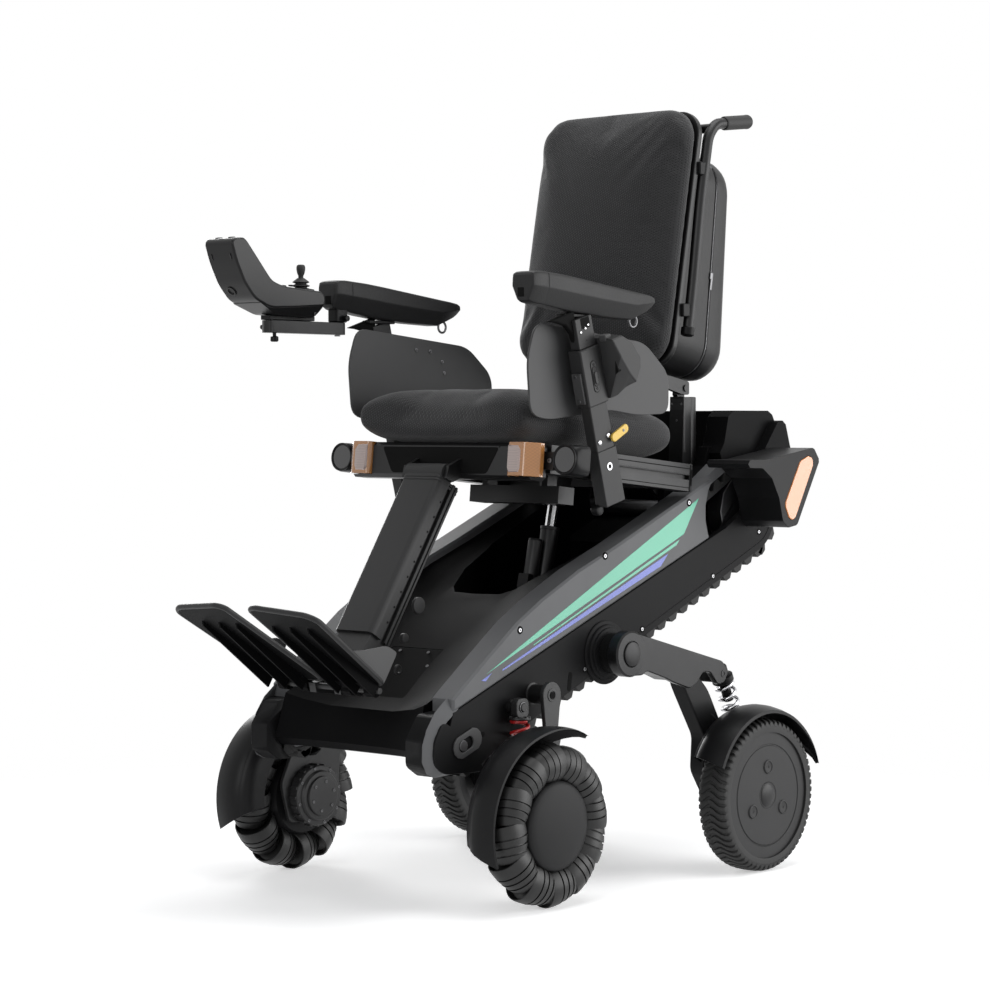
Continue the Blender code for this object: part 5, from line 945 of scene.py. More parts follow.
def cover_face(sign):
    """Outer wall of the lower cover, its rear corner following the belt."""
    below = belt_loop(BELT_SKIN + 0.001)
    rear = [place for place in below[:19] if place[1] < COWL_UNDER - 0.012]
    nose = round_corners([(-0.392, 0.2065), (-0.490, 0.2090), (-0.5125, 0.2260), (-0.5125, 0.2580),
                          (-0.4900, 0.2935)], 0.018, 5)
    first = Vector(below[-1])
    run = Vector(below[0]) - first
    start = first + run * 0.115
    seam = [(-0.470, 0.3013), (0.202, 0.5628), (0.262, 0.5950), (0.262, COWL_UNDER - 0.0008)]
    outline = [tuple(start)] + nose + seam + rear[::-1]
    return side_plate(sign, outline, POD_OUT - COVER_WALL - 0.0002, POD_OUT, COVER, 0.0022, 3)


def inner_wall(node, sign):
    """The drawn cover behind its outer wall."""
    work = bmesh.new()
    work.from_mesh(NODES[node].data)
    bmesh.ops.bisect_plane(work, geom=work.verts[:] + work.edges[:] + work.faces[:], dist=0.00001,
                           plane_co=(sign * (POD_OUT - COVER_WALL), 0, 0), plane_no=(sign, 0, 0),
                           clear_outer=True)
    bmesh.ops.dissolve_limit(work, angle_limit=math.radians(0.4), verts=work.verts, edges=work.edges)
    return shaded(mesh_of(work, "inner"), COVER)


BAND_EDGE = 0.1996
BAND_INNER = 0.1975
BAND_FOOT = 0.1880
NOSE_BAND = (((-0.4600, 0.3060), (-0.4600, 0.3270)), ((-0.4720, 0.2975), (-0.4740, 0.3220)),
             ((-0.4850, 0.2890), (-0.4985, 0.3035)), ((-0.4990, 0.2700), (-0.5165, 0.2790)),
             ((-0.5080, 0.2500), (-0.5262, 0.2550)), ((-0.5075, 0.2330), (-0.5266, 0.2300)),
             ((-0.4995, 0.2205), (-0.5165, 0.2120)), ((-0.4860, 0.2125), (-0.4990, 0.2046)),
             ((-0.4300, 0.2100), (-0.4300, 0.2075)))


def nose_band(sign):
    """The grey panel's edge carried round the nose as a sloping band."""
    rings = []
    for near, far in NOSE_BAND:
        along, up = (0.004, 0.0) if near[1] > 0.215 else (0.0, 0.004)
        rings.append([spot(sign * BAND_EDGE, *near), spot(sign * BAND_FOOT, *far),
                      spot(sign * BAND_FOOT, far[0] + along, far[1] + up),
                      spot(sign * BAND_INNER, near[0] + along, near[1] + up)])
    return loft(rings, PANEL, 40)


def cover_fittings(sign):
    """Stepped flange of the arm's pivot, pins of the leg and of the spring, and a slot mark and hole of
    painted shade.
    """
    flange = [(0.030, 0), (0.0515, 0), (0.0515, 0.0022), (0.0500, 0.0036), (0.0455, 0.0040),
              (0.0450, 0.0072), (0.0432, 0.0086), (0.0405, 0.0090), (0.0400, 0.0118), (0.0388, 0.0128),
              (0.0340, 0.0130)]
    flange += [(0.0340, 0.0140), (0.0, 0.0140)]
    pieces = [on_side(turned(flange, COVER, 72), POD_OUT - 0.0002, *ARM_PIVOT, sign)]
    leg = [(0, 0), (0.0175, 0), (0.0175, 0.0010), (0.0150, 0.0022), (0.0150, 0.0296), (0.0135, 0.0302),
           (0.0, 0.0302)]
    pieces.append(on_side(turned(leg, FRAME_METAL, 36), POD_OUT - 0.0002, *LEG_PIVOT, sign))
    shock = [(0, 0), (0.0110, 0), (0.0110, 0.0060), (0.0085, 0.0075), (0.0085, 0.0265), (0.0060, 0.0290),
             (0.0, 0.0290)]
    pieces.append(on_side(turned(shock, FRAME_METAL, 28), POD_OUT - 0.0002, *SHOCK_TOP, sign))
    # The slot mark and the hole are near black sheets of painted shade.
    mark = round_corners([(-0.2070, 0.3170), (-0.1985, 0.3150), (-0.1935, 0.3440), (-0.2020, 0.3470)],
                         0.0045)
    pieces.append(side_plate(sign, mark, POD_OUT - 0.0002, POD_OUT + 0.0004, SHADE_AND_BLACK))
    hole = disc(0.0042, 0.0006, SHADE_AND_BLACK, 20, 0.0002)
    pieces.append(on_side(hole, POD_OUT, -0.404, 0.264, sign))
    return pieces


def cover_lip(sign):
    """Thin raised bead along the cover's lower edge."""
    loop = belt_loop(-0.0035)
    first, last = Vector(loop[-1]), Vector(loop[0])
    run = [first + (last - first) * share for share in (0.56, 0.70, 0.85, 1.0)] + loop[1:9]
    return pipe([spot(sign * (POD_OUT + 0.0001), *place) for place in run], 0.0007, COVER, 2)


COVER_SCREWS = ((0.297, 0.554), (0.169, 0.483), (-0.019, 0.404), (-0.163, 0.348))
PANEL_SCREWS = ((0.104, 0.608), (-0.113, 0.527), (-0.3185, 0.419))


def cover_pieces():
    """Panels, lower covers, tension plates and tail units of both sides."""
    for side, sign in LEFT_AND_RIGHT:
        way = (sign, 0, 0)
        film = stripes(sign)
        film.append(sunk_screws([(sign * (POD_OUT - 0.0002), *place, way) for place in PANEL_SCREWS],
                                0.0036))
        refine("side_panel_" + side, PANEL, 0.0030, film, segments=3)
        held = sunk_screws([(sign * (POD_OUT - 0.0002), *place, way) for place in COVER_SCREWS], 0.0032)
        node = "track_plate_" + side
        stand_in(node, merged(cover_face(sign), inner_wall(node, sign), held, cover_lip(sign),
                              nose_band(sign), *cover_fittings(sign), *front_shock_top(sign)))
        refine("tension_plate_" + side, GUARD, 0.0010)
        refine("tail_unit_" + side, TRIM, 0.0022, segments=3)
        refine("tail_lens_" + side, ORANGE, 0.0012)


hull_pieces()


# Armrests. Their own frame stands on the rail: Z up the leaning post, Y backward across it.

ON_POST = Matrix.Translation(spot(0, *POST_FOOT)) @ Matrix.Rotation(ARM_LEAN, 4, "X")
BUTTON_UP = 0.205
SLEEVE_OUT = 0.2355


def capsule(centre, length, width, steps=12):
    """A slot's outline, long along Z."""
    out = []
    for n in range(2 * steps):
        angle = math.pi * (n % steps) / (steps - 1) + (0 if n < steps else math.pi)
        rise = (length - width) / 2 * (1 if n < steps else -1)
        out.append((centre[0] + width / 2 * math.cos(angle),
                    centre[1] + rise + width / 2 * math.sin(angle)))
    return out


def post_plate(sign, outline, near, far, material, width=0.0):
    """An outline of the post's frame pushed between two distances from the middle."""
    low, high = sorted((sign * near, sign * far))
    return placed(outline_plate(outline, low, high, material, width), ON_POST)


def post_block(sign, low, high, material, width=0.001):
    return side_block(sign, low, high, material, width, ON_POST)


def post_spot(sign, x, across, up):
    """A place of the armrest post's own frame."""
    return ON_POST @ Vector((sign * x, across, up))


def post_pins(sign, x, places, roll=0.0):
    """Places on the post's side, facing outward, for small round pieces."""
    return [(post_spot(sign, x, across, up), Vector((sign, 0, 0)), roll) for across, up in places]


def guard_plate(sign):
    """Flat side guard with large round corners, and the screws that hold it."""
    outline = round_corners([(-0.3000, 0.8400), (-0.2800, 0.8980), (-0.0120, 0.8720), (0.0510, 0.8220),
                             (0.0510, 0.7560), (-0.0300, 0.7530), (-0.1000, 0.7620), (-0.2500, 0.7450),
                             (-0.2920, 0.7530)], 0.022, 6)
    held = [(-0.140, 0.864), (-0.106, 0.862), (-0.076, 0.845), (-0.071, 0.826), (-0.108, 0.790)]
    heads = screws([(sign * 0.1950, *place, (-sign, 0, 0)) for place in held], 0.0032, 0.0014, DARK_STEEL)
    return [side_plate(sign, outline, 0.195, 0.199, GUARD, 0.0012), heads]


def post_tube(sign):
    """Foot socket, square tube and sleeve of one post."""
    pieces = [
        post_block(sign, (0.2110, -0.0235, -0.004), (0.2345, 0.0235, 0.086), POST_METAL, 0.0016),
        post_block(sign, (0.2125, -0.0215, 0.084), (0.2325, 0.0215, 0.160), POST_METAL, 0.0022),
        post_block(sign, (0.2085, -0.0250, 0.159), (SLEEVE_OUT, 0.0250, 0.252), POST_METAL, 0.0028),
        post_block(sign, (0.2056, -0.0190, 0.040), (0.2120, 0.0190, 0.078), FRAME_METAL, 0.0010),
        # The strap across the sleeve's front is in the lighter guard grey as a painted highlight of its
        # curved face.
        post_block(sign, (0.2116, -0.0290, 0.166), (0.2300, -0.0246, 0.216), GUARD, 0.0010),
        post_block(sign, (0.1985, -0.0120, 0.176), (0.2100, 0.0200, 0.240), FRAME_METAL, 0.0010),
    ]
    # The near black capsule round the button is painted shade of its recess.
    pieces.append(post_plate(sign, capsule((0.0, BUTTON_UP), 0.052, 0.0150), SLEEVE_OUT - 0.0002,
                             SLEEVE_OUT + 0.0004, SHADE_AND_BLACK))
    pieces.append(post_plate(sign, capsule((0.0, BUTTON_UP), 0.050, 0.0132), SLEEVE_OUT - 0.0002,
                             SLEEVE_OUT + 0.0009, POST_METAL, 0.0003))
    ends = post_pins(sign, SLEEVE_OUT + 0.0008, ((0.0, BUTTON_UP + 0.0195), (0.0, BUTTON_UP - 0.0195)))
    pieces.append(scattered(hex_socket_screw(0.0024, 0.0006), ends, TRIM))
    front = ON_POST.to_3x3() @ Vector((0, -1, 0))
    strap = [(post_spot(sign, 0.2200, -0.0290, up), front, 0.4) for up in (0.171, 0.211)]
    pieces.append(scattered(hex_socket_screw(0.0026, 0.0012), strap, DARK_STEEL))
    studs = post_pins(sign, 0.2325, ((-0.0130, 0.1000), (0.0100, 0.1060)))
    pieces.append(scattered(disc(0.0040, 0.0030, CHROME, 20, 0.0020), studs, CHROME))
    bolt = post_pins(sign, 0.2344, ((-0.0010, 0.0580),), 0.2)
    pieces.append(scattered(ring(0.0066, 0.0034, 0.0010, BRIGHT_STEEL, 28, 0.0003), bolt, BRIGHT_STEEL))
    pieces.append(scattered(hex_socket_screw(0.0034, 0.0007), bolt, SHADE_AND_BLACK))
    return pieces


def side_knob(sign):
    """Moulded grip behind the sleeve: deep at the post, drawn out to a slanted face, with its latch."""
    inner = ((0.0235, 0.262), (0.050, 0.262), (0.072, 0.245), (0.086, 0.215), (0.080, 0.196),
             (0.064, 0.172), (0.040, 0.163), (0.0235, 0.163))
    outer = ((0.0200, 0.259), (0.046, 0.260), (0.068, 0.244), (0.083, 0.215), (0.079, 0.199),
             (0.062, 0.179), (0.0490, 0.198), (0.0345, 0.228))
    rings = [[post_spot(sign, x, *place) for place in outline]
             for x, outline in ((0.2050, inner), (0.2400, inner), (0.2660, outer))]
    grip = shaded(edged(loft(rings, POST_METAL), 0.0026, 3), POST_METAL)
    # The grip's slot is a near black loft of painted shade.
    slot = [[post_spot(sign, x, *place) for place in outline] for x, outline in (
        (0.2440, ((0.0238, 0.192), (0.0238, 0.246), (0.0260, 0.246), (0.0300, 0.192))),
        (0.2590, ((0.0310, 0.205), (0.0225, 0.246), (0.0250, 0.246), (0.0380, 0.205))))]
    return [grip, loft(slot, SHADE_AND_BLACK), post_block(sign, (0.2380, 0.0215, 0.2560), (0.2520, 0.0360, 0.2660),
                                                 GUARD, 0.0020)]


def pad_section(half, low, high):
    """Across one armrest pad: chamfered base, crease, and a soft top."""
    side = ((0.44, 0.0), (0.52, 0.02), (0.60, 0.08), (0.95, 0.475), (0.975, 0.50), (0.995, 0.53),
            (1.0, 0.56), (0.975, 0.86), (0.95, 0.93), (0.90, 0.975), (0.80, 1.0), (0.40, 1.01))
    right = [(half * share, low + (high - low) * rise) for share, rise in side]
    return right + [(-x, z) for x, z in reversed(right)]


def pad_cushion(sign):
    """Armrest pad lofted along its length."""
    stations = ((-0.3310, 0.9420, 0.9640, 0.66), (-0.3305, 0.9350, 0.9690, 0.80),
                (-0.3280, 0.9305, 0.9725, 0.90), (-0.3220, 0.9275, 0.9748, 0.97),
                (-0.3100, 0.9252, 0.9752, 1.0), (-0.2965, 0.9240, 0.9745, 1.0),
                (-0.2952, 0.9238, 0.9738, 0.975), (-0.2938, 0.9237, 0.9742, 1.0),
                (-0.2600, 0.9190, 0.9718, 1.0), (-0.2200, 0.9145, 0.9675, 1.0),
                (-0.1500, 0.9090, 0.9590, 1.0), (-0.0800, 0.9065, 0.9505, 1.0),
                (-0.0560, 0.9150, 0.9478, 0.99), (-0.0400, 0.9215, 0.9455, 0.95),
                (-0.0320, 0.9260, 0.9425, 0.86), (-0.0290, 0.9290, 0.9400, 0.74))
    rings = [[spot(sign * 0.215 + x, y, z) for x, z in pad_section(0.025 * share, low, high)]
             for y, low, high, share in stations]
    return loft(rings, PAD_SKIN, 22)


def pad_fittings(sign):
    """Neck with its studs, socket in the front, and the ring under the back."""
    neck = ((-0.0205, 0.2525), (-0.0205, 0.3010), (0.0205, 0.3010), (0.0205, 0.2525))
    flare = ((-0.0190, 0.2580), (-0.0235, 0.2800), (-0.0350, 0.2960), (-0.0560, 0.3060), (-0.0740, 0.3120),
             (-0.0100, 0.3150))
    # The flare under the pad, the strip and slot on the neck and the socket in the front are in the near
    # black of painted shade.
    pieces = [
        post_plate(sign, neck, 0.2130, 0.2315, POST_METAL, 0.0014),
        post_plate(sign, flare, 0.2140, 0.2255, SHADE_AND_BLACK, 0.0030),
        post_block(sign, (0.2162, -0.0148, 0.062), (0.2282, 0.0148, 0.256), DARK_STEEL, 0.0006),
        post_block(sign, (0.2310, -0.0080, 0.2830), (0.2318, 0.0135, 0.3000), SHADE_AND_BLACK, 0.0002),
        post_plate(sign, capsule((-0.0005, 0.2640), 0.0025, 0.0012, 5), 0.2310, 0.2318, SHADE_AND_BLACK),
    ]
    studs = post_pins(sign, 0.2312, ((-0.0120, 0.2790), (0.0000, 0.2830), (0.0080, 0.2870)))
    pieces.append(scattered(disc(0.0024, 0.0024, CHROME, 16, 0.0012), studs, CHROME))
    pieces.append(side_block(sign, (0.2060, -0.3316, 0.9355), (0.2190, -0.3290, 0.9500), SHADE_AND_BLACK, 0.0008))
    pieces.append(side_block(sign, (0.2060, -0.2400, 0.9070), (0.2240, -0.1800, 0.9120), TRIM))
    loop = [spot(sign * 0.2120, -0.0585 + place.x, 0.9050 + place.y) for place in circle(0.0095, 20)]
    pieces.append(pipe(loop, 0.0020, DARK_STEEL, 4, True))
    return pieces


LEVER_PIVOT = Vector((-0.142, 0.715))
LEVER_RISE = math.radians(28)
LEVER_OUT = 0.2402


def lock_levers():
    """A yellow blade with round ends, standing up and back from its pivot, and its screw."""
    reach = Vector((math.cos(LEVER_RISE), math.sin(LEVER_RISE)))
    square = Vector((-reach.y, reach.x))
    middle = LEVER_PIVOT + reach * 0.0215
    blade = [tuple(middle + reach * z + square * y) for y, z in capsule((0, 0), 0.0445, 0.0145)]
    place = LEVER_PIVOT + reach * 0.030
    for side, sign in LEFT_AND_RIGHT:
        plate = side_plate(sign, blade, 0.2358, LEVER_OUT, YELLOW, 0.0014)
        head = screws([(sign * LEVER_OUT, *place, (sign, 0, 0))], 0.0024, 0.0008, DARK_STEEL)
        stand_in("lock_lever_" + side, merged(plate, head))


def armrest_buttons():
    """An oblong button with a rocker on each post."""
    for side, sign in LEFT_AND_RIGHT:
        plate = post_plate(sign, capsule((0.0, BUTTON_UP), 0.0335, 0.0115), SLEEVE_OUT - 0.0012,
                           SLEEVE_OUT + 0.0018, TRIM, 0.0006)
        rocker = post_plate(sign, capsule((0.0, BUTTON_UP - 0.002), 0.0200, 0.0072), SLEEVE_OUT + 0.0010,
                            SLEEVE_OUT + 0.0034, POST_METAL, 0.0010)
        stand_in("armrest_button_" + side, merged(plate, rocker))


def link_bracket():
    """Forked bracket under the right pad's front with the pin of the controller's bar."""
    low, high = spot(-0.2230, -0.3220, 0.9063), spot(-0.2010, -0.2960, 0.9290)
    pin = placed(disc(0.0049, 0.0260, DARK_STEEL, 24), Matrix.Translation(spot(-0.2120, -0.3100, 0.8835)))
    knob = placed(disc(0.0050, 0.0090, TRIM, 18), facing(spot(-0.2010, -0.3050, 0.9130), (1, 0, 0)))
    return [block(low, high, TRIM, 0.0030, 3), pin, knob]


def armrests():
    """The posts with their guards, and the pads; the controller's bracket is on the right."""
    for side, sign in LEFT_AND_RIGHT:
        stand_in("armrest_post_" + side, merged(*guard_plate(sign), *post_tube(sign), *side_knob(sign)))
        pieces = [pad_cushion(sign), *pad_fittings(sign)]
        if side == "right":
            pieces += link_bracket()
        stand_in("armrest_pad_" + side, merged(*pieces))


# Hand control

LINK_X = -0.2120
STICK = (LINK_X, -0.3930, 0.9500)
WELL_RADIUS = 0.0190


def hollowed(mesh, tool):
    """A mesh with another one cut away from it."""
    whole, cutter = new_object("whole", mesh), new_object("cutter", tool)
    cut = whole.modifiers.new("cut", "BOOLEAN")
    cut.object, cut.operation, cut.solver = cutter, "DIFFERENCE", "EXACT"
    cut.material_mode = "TRANSFER"
    left = evaluated(whole)
    bpy.data.objects.remove(cutter)
    return left


def control_case():
    """Deck and upright display as one case, its underside drawn in."""
    upper = round_corners([(-0.3690, 0.9310), (-0.3690, 0.9480), (-0.3770, 0.9545), (-0.4600, 0.9600),
                           (-0.4860, 0.9680), (-0.5400, 1.0290), (-0.5470, 1.0340), (-0.5680, 1.0325),
                           (-0.5740, 1.0250), (-0.5640, 0.9960), (-0.5460, 0.9620), (-0.5230, 0.9370),
                           (-0.4900, 0.9240), (-0.4400, 0.9260)], 0.010, 4)
    case = outline_plate(drawn(upper), LINK_X - 0.033, LINK_X + 0.033, SMOOTH, 0.0050, segments=4)
    # The well's walls keep the cutter's near black: painted shade inside the well.
    well = placed(disc(WELL_RADIUS, 0.0400, SHADE_AND_BLACK, 40), Matrix.Translation(spot(*STICK[:2], 0.9350)))
    case = hollowed(case, well)
    under = round_corners([(-0.5150, 0.9330), (-0.4730, 0.9150), (-0.3880, 0.9105), (-0.3780, 0.9210),
                           (-0.3710, 0.9335)], 0.006, 3)
    keel = outline_plate(drawn(under), LINK_X - 0.0325, LINK_X + 0.0325, SMOOTH)
    for vertex in keel.vertices:
        depth = min(1.0, max(0.0, (0.9320 - vertex.co.z) / 0.020))
        vertex.co.x = LINK_X + (vertex.co.x - LINK_X) * (1 - 0.30 * depth)
    return [case, keel]


def control_details():
    """Well ring, display, keys, slots and the round port."""
    well = placed(ring(0.0220, WELL_RADIUS, 0.0030, TRIM), facing(spot(*STICK[:2], 0.9555), (0, 0.05, 1)))
    slope = Vector((0, 0.749, 0.663))
    glass = outline_plate(round_corners([(-0.0265, -0.026), (0.0265, -0.026), (0.0265, 0.030),
                                         (-0.0265, 0.030)],
                                        0.005), -0.0002, 0.0010, SCREEN, 0.0004, "Z")
    pieces = [well, placed(glass, facing(spot(LINK_X, -0.5130, 0.9995), slope))]
    keys = [(spot(LINK_X + step, -0.4320, 0.9612), Vector((0, 0.10, 1)), 0.0)
            for step in (-0.018, 0.0, 0.018)]
    pieces.append(scattered(disc(0.0048, 0.0022, TRIM, 24, 0.0008), keys, TRIM))
    caps = [(spot(LINK_X + step, -0.5570, 1.0320), Vector((0, -0.06, 1)), 0.0) for step in (-0.016, 0.014)]
    pieces.append(scattered(disc(0.0060, 0.0030, TRIM, 24, 0.0012), caps, TRIM))
    front = Vector((0, -0.91, -0.41))
    for step in (-0.022, 0.022):
        slot = outline_plate(capsule((0, 0), 0.0105, 0.0022, 6), -0.0004, 0.0006, LEG_METAL, 0.0, "Z")
        pieces.append(placed(slot, facing(spot(LINK_X + step, -0.5668, 1.0030), front, math.pi)))
    port = placed(ring(0.0088, 0.0060, 0.0012, LEG_METAL, 32, 0.0004),
                  facing(spot(LINK_X - 0.010, -0.5360, 0.9500), (0, -0.75, -0.66)))
    pieces.append(port)
    heads = [(LINK_X + 0.030, -0.4720, 0.9275, (1, 0, -0.35)),
             (LINK_X + 0.027, -0.3870, 0.9180, (1, 0, -0.35))]
    pieces.append(screws(heads, 0.0026, 0.0010, DARK_STEEL))
    pieces.append(block(spot(LINK_X - 0.011, -0.472, 0.9066), spot(LINK_X + 0.011, -0.372, 0.9140), TRIM,
                        0.001))
    return pieces


def stick():
    """Stem, ribbed boot and pear shaped knob."""
    knob = [(0, 0.0485), (0.0040, 0.0483), (0.0064, 0.0470), (0.0073, 0.0440), (0.0072, 0.0400),
            (0.0060, 0.0340), (0.0042, 0.0300), (0.0042, 0.0270)]
    boot = [(0.0042, 0.0270), (0.0060, 0.0262), (0.0128, 0.0212), (0.0140, 0.0196), (0.0118, 0.0184),
            (0.0092, 0.0176), (0.0092, 0.0166), (0.0138, 0.0148), (0.0150, 0.0136), (0.0128, 0.0124),
            (0.0100, 0.0118), (0.0100, 0.0108), (0.0146, 0.0092), (0.0160, 0.0080), (0.0160, 0.0072),
            (0.0032, 0.0070), (0.0032, -0.0040), (0, -0.0040)]
    post = Matrix.Translation(spot(*STICK))
    pin = placed(disc(0.0012, 0.0200, DARK_STEEL, 10, 0.0003),
                 facing(spot(LINK_X, -0.4030, 0.9500), (0, 1, 0)))
    stand_in("joystick", merged(placed(turned(knob, GRIP, 40, 60), post),
                                placed(turned(boot, GRIP, 40, 50), post),
                                pin))


def hand_control():
    """Controller, its bar with a thumb screw, and the joystick."""
    stand_in("controller", merged(*control_case(), *control_details()))
    thumb = [(0, 0), (0.0030, 0), (0.0030, 0.0050), (0.0060, 0.0060), (0.0066, 0.0075), (0.0066, 0.0130),
             (0.0050, 0.0145), (0, 0.0145)]
    grip = placed(turned(thumb, TRIM, 14, 30), facing(spot(LINK_X, -0.4520, 0.8862), (0, 0, -1)))
    refine("controller_link", ARM_METAL, 0.0030, [grip], segments=3)
    stick()


armrests()
armrest_buttons()
lock_levers()
hand_control()


# Seat frame. Its own frame sits at the tilt pivot: Z up, Y backward along the rails.

ON_SEAT = Matrix.Translation(spot(0, *SEAT_PIVOT)) @ Matrix.Rotation(-SEAT_TILT, 4, "X")
BAR_FRONT = -0.413
RAIL_OUT = 0.205
LAMP_WHITE = lens("lamp_white", (0.60, 0.47, 0.43), 0.20, 0.004)


def seat_block(sign, low, high, material, width=0.001):
    return side_block(sign, low, high, material, width, ON_SEAT)


# The near black strips are painted shade in the rail's two slots and in the end cap's slot.
RAIL_STRIPS = (
    ((-0.0004, -0.360, 0.0335), (0.0004, -0.024, 0.0350), SHADE_AND_BLACK, 0.0),
    ((-0.0004, -0.360, 0.0020), (0.0004, -0.024, 0.0032), SHADE_AND_BLACK, 0.0),
    ((-0.0004, -0.360, 0.0245), (0.0010, -0.024, 0.0262), FRAME_METAL, 0.0004),
    ((-0.0360, -0.0245, -0.0042), (0.0014, -0.0165, 0.0430), TRIM, 0.0030),
    ((0.0008, -0.0225, 0.0060), (0.0020, -0.0185, 0.0330), SHADE_AND_BLACK, 0.0006),
)


def rail_details(sign):
    """Lips beside the rail's slots, the moulded end cap, and the bolts of the lamp's bracket."""
    pieces = []
    for low, high, material, width in RAIL_STRIPS:
        pieces.append(seat_block(sign, (RAIL_OUT + low[0], *low[1:]), (RAIL_OUT + high[0], *high[1:]),
                                 material, width))
    way = ON_SEAT.to_3x3() @ Vector((0, -1, 0))
    bolt = [(ON_SEAT @ Vector((sign * 0.2150, -0.3886, 0.0160)), way, 0.3)]
    pieces.append(scattered(hex_socket_screw(0.0040, 0.0022), bolt, DARK_STEEL))
    knob = placed(disc(0.0090, 0.0140, TRIM, 24, 0.0030),
                  facing(spot(sign * 0.2050, -0.147, 0.6020), (sign, 0, 0)))
    return pieces + [knob]


def bar_front():
    """Shallow trapezoid panel on the front bar, near black as painted shade of its recess."""
    outline = [(-0.128, 0.034), (0.128, 0.034), (0.104, -0.008), (-0.104, -0.008)]
    face = outline_plate(round_corners(outline, 0.006), BAR_FRONT - 0.0008, BAR_FRONT + 0.001, SHADE_AND_BLACK,
                         0.0004, "Y")
    lip = outline_plate(round_corners([(-0.130, 0.0365), (0.130, 0.0365), (0.129, 0.0340),
                                       (-0.129, 0.0340)], 0.001),
                        BAR_FRONT - 0.0014, BAR_FRONT + 0.001, FRAME_METAL, 0.0003, "Y")
    return [placed(face, ON_SEAT), placed(lip, ON_SEAT)]


def recline_posts(sign):
    """Smooth cylinder over each drawn post, its front plate and screws."""
    length = 0.122
    shell = turned([(0, 0), (0.0162, 0), (0.0162, length), (0.0150, length + 0.0012), (0, length + 0.0012)],
                   LEG_METAL, 48)
    pieces = [placed(shell, Matrix.Translation(spot(sign * 0.110, 0.210, 0.662)))]
    pieces.append(side_block(sign, (0.0945, 0.1835, 0.690), (0.1255, 0.1900, 0.783), LEG_METAL, 0.0014))
    heads = [(sign * x, 0.1835, z, (0, -1, 0)) for x, z in ((0.100, 0.773), (0.120, 0.773), (0.110, 0.745))]
    return pieces + [screws(heads, 0.0022, 0.0010, DARK_STEEL)]


def seat_lamps():
    """Amber corner lamps with a pale face each, and the headlamps beside them."""
    for side, sign in LEFT_AND_RIGHT:
        outline = [(sign * x, y) for x, y in round_corners(
            [(0.1508, -0.3966), (0.1508, -0.4140), (0.1560, -0.4215), (0.1880, -0.4225), (0.2085, -0.4050),
             (0.2085, -0.3930), (0.2010, -0.3966)], 0.0040, 3)]
        shell = placed(outline_plate(outline, -0.0108, 0.0424, AMBER, 0.0030, "Z", 3), ON_SEAT)
        glass = []
        for y, inset in ((-0.4216, 0.0), (-0.4238, 0.0018), (-0.4250, 0.0070)):
            low, high = 0.1555 + inset, 0.1830 - inset
            glass.append([ON_SEAT @ Vector((sign * x, y, z)) for x, z in (
                (low + 0.003, -0.0055 + inset), (high - 0.003, -0.0055 + inset), (high, 0.0000 + inset),
                (high, 0.0300 - inset), (high - 0.006, 0.0375 - inset), (low, 0.0375 - inset),
                (low, 0.0000 + inset))])
        stand_in("corner_lamp_" + side, merged(shell, loft(glass, LAMP_WHITE, 20)))
        head_lamp(side, sign)


def head_lamp(side, sign):
    """Square housing blending into a round rim, with a dark lens set in it."""
    centre = Vector((sign * 0.2461, -0.3745, 0.0180))
    rings = []
    for back, half, power in ((0.0200, 0.0228, 7.0), (0.0180, 0.0240, 7.0), (-0.0010, 0.0242, 5.0),
                              (-0.0100, 0.0240, 2.6), (-0.0128, 0.0236, 2.1), (-0.0132, 0.0230, 2.0),
                              (-0.0158, 0.0238, 2.0), (-0.0172, 0.0236, 2.0), (-0.0176, 0.0228, 2.0),
                              (-0.0168, 0.0208, 2.0), (-0.0150, 0.0200, 2.0), (-0.0146, 0.0120, 2.0)):
        ring_points = []
        for n in range(48):
            angle = math.tau * n / 48
            c, s = math.cos(angle), math.sin(angle)
            reach = half / (abs(c) ** power + abs(s) ** power) ** (1 / power)
            ring_points.append(ON_SEAT @ (centre + Vector((reach * c, back, reach * s))))
        rings.append(ring_points)
    body = loft(rings, TRIM, 50)
    glass = placed(disc(0.0198, 0.0010, LAMP_GLASS, 48, 0.0004),
                   facing(ON_SEAT @ (centre + Vector((0, -0.0146, 0))),
                          ON_SEAT.to_3x3() @ Vector((0, -1, 0))))
    stand_in("headlamp_" + side, merged(body, glass))


def lift_pieces():
    """Smooth tube and motor of the seat's lift."""
    foot, head = spot(0, -0.045, 0.445), spot(0, -0.008, 0.612)
    axis = (head - foot).normalized()
    tube = [(0, 0.014), (0.0140, 0.014), (0.0155, 0.0155), (0.0155, 0.1180), (0.0165, 0.1185),
            (0.0165, 0.1235), (0.0155, 0.1240), (0.0092, 0.1240), (0.0092, 0.1200)]
    motor = [(0, 0.016), (0.0110, 0.016), (0.0120, 0.0170), (0.0120, 0.0880), (0.0112, 0.0900),
             (0.0100, 0.0925), (0, 0.0925)]
    pieces = [placed(turned(tube, FRAME_METAL, 48), facing(foot, axis)),
              placed(turned(motor, LEG_METAL, 40), facing(foot + Vector((0, -0.030, 0.012)), axis))]
    stand_in("lift_tube", merged(shaded(edged(copy_of("lift_tube"), 0.0008), TRIM), *pieces))


refine("seat_frame", FRAME_METAL, 0.0020, rail_details(1) + rail_details(-1) + bar_front()
       + recline_posts(1) + recline_posts(-1), segments=3)
seat_lamps()
lift_pieces()


# Wheels. A wheel's own frame: X rearward, Y up, Z out from the chair.

OMNI_OUT = 0.3167
TYRE_OUT = 0.3297
TYRE_HALF = 0.028
OUTWARD = Matrix(((0, 0, 1, 0), (1, 0, 0, 0), (0, 1, 0, 0), (0, 0, 0, 1)))


def on_axle(mesh, out, axle):
    """A wheel's piece on its axle, that far out from the middle."""
    return placed(mesh, Matrix.Translation(spot(out, *axle)) @ OUTWARD)


def both_sides(**pieces):
    """The pieces for the left side, and their mirror images for the right."""
    for name, mesh in pieces.items():
        stand_in(name + "_left", mesh)
    for name, mesh in pieces.items():
        stand_in(name + "_right", flipped(mesh))


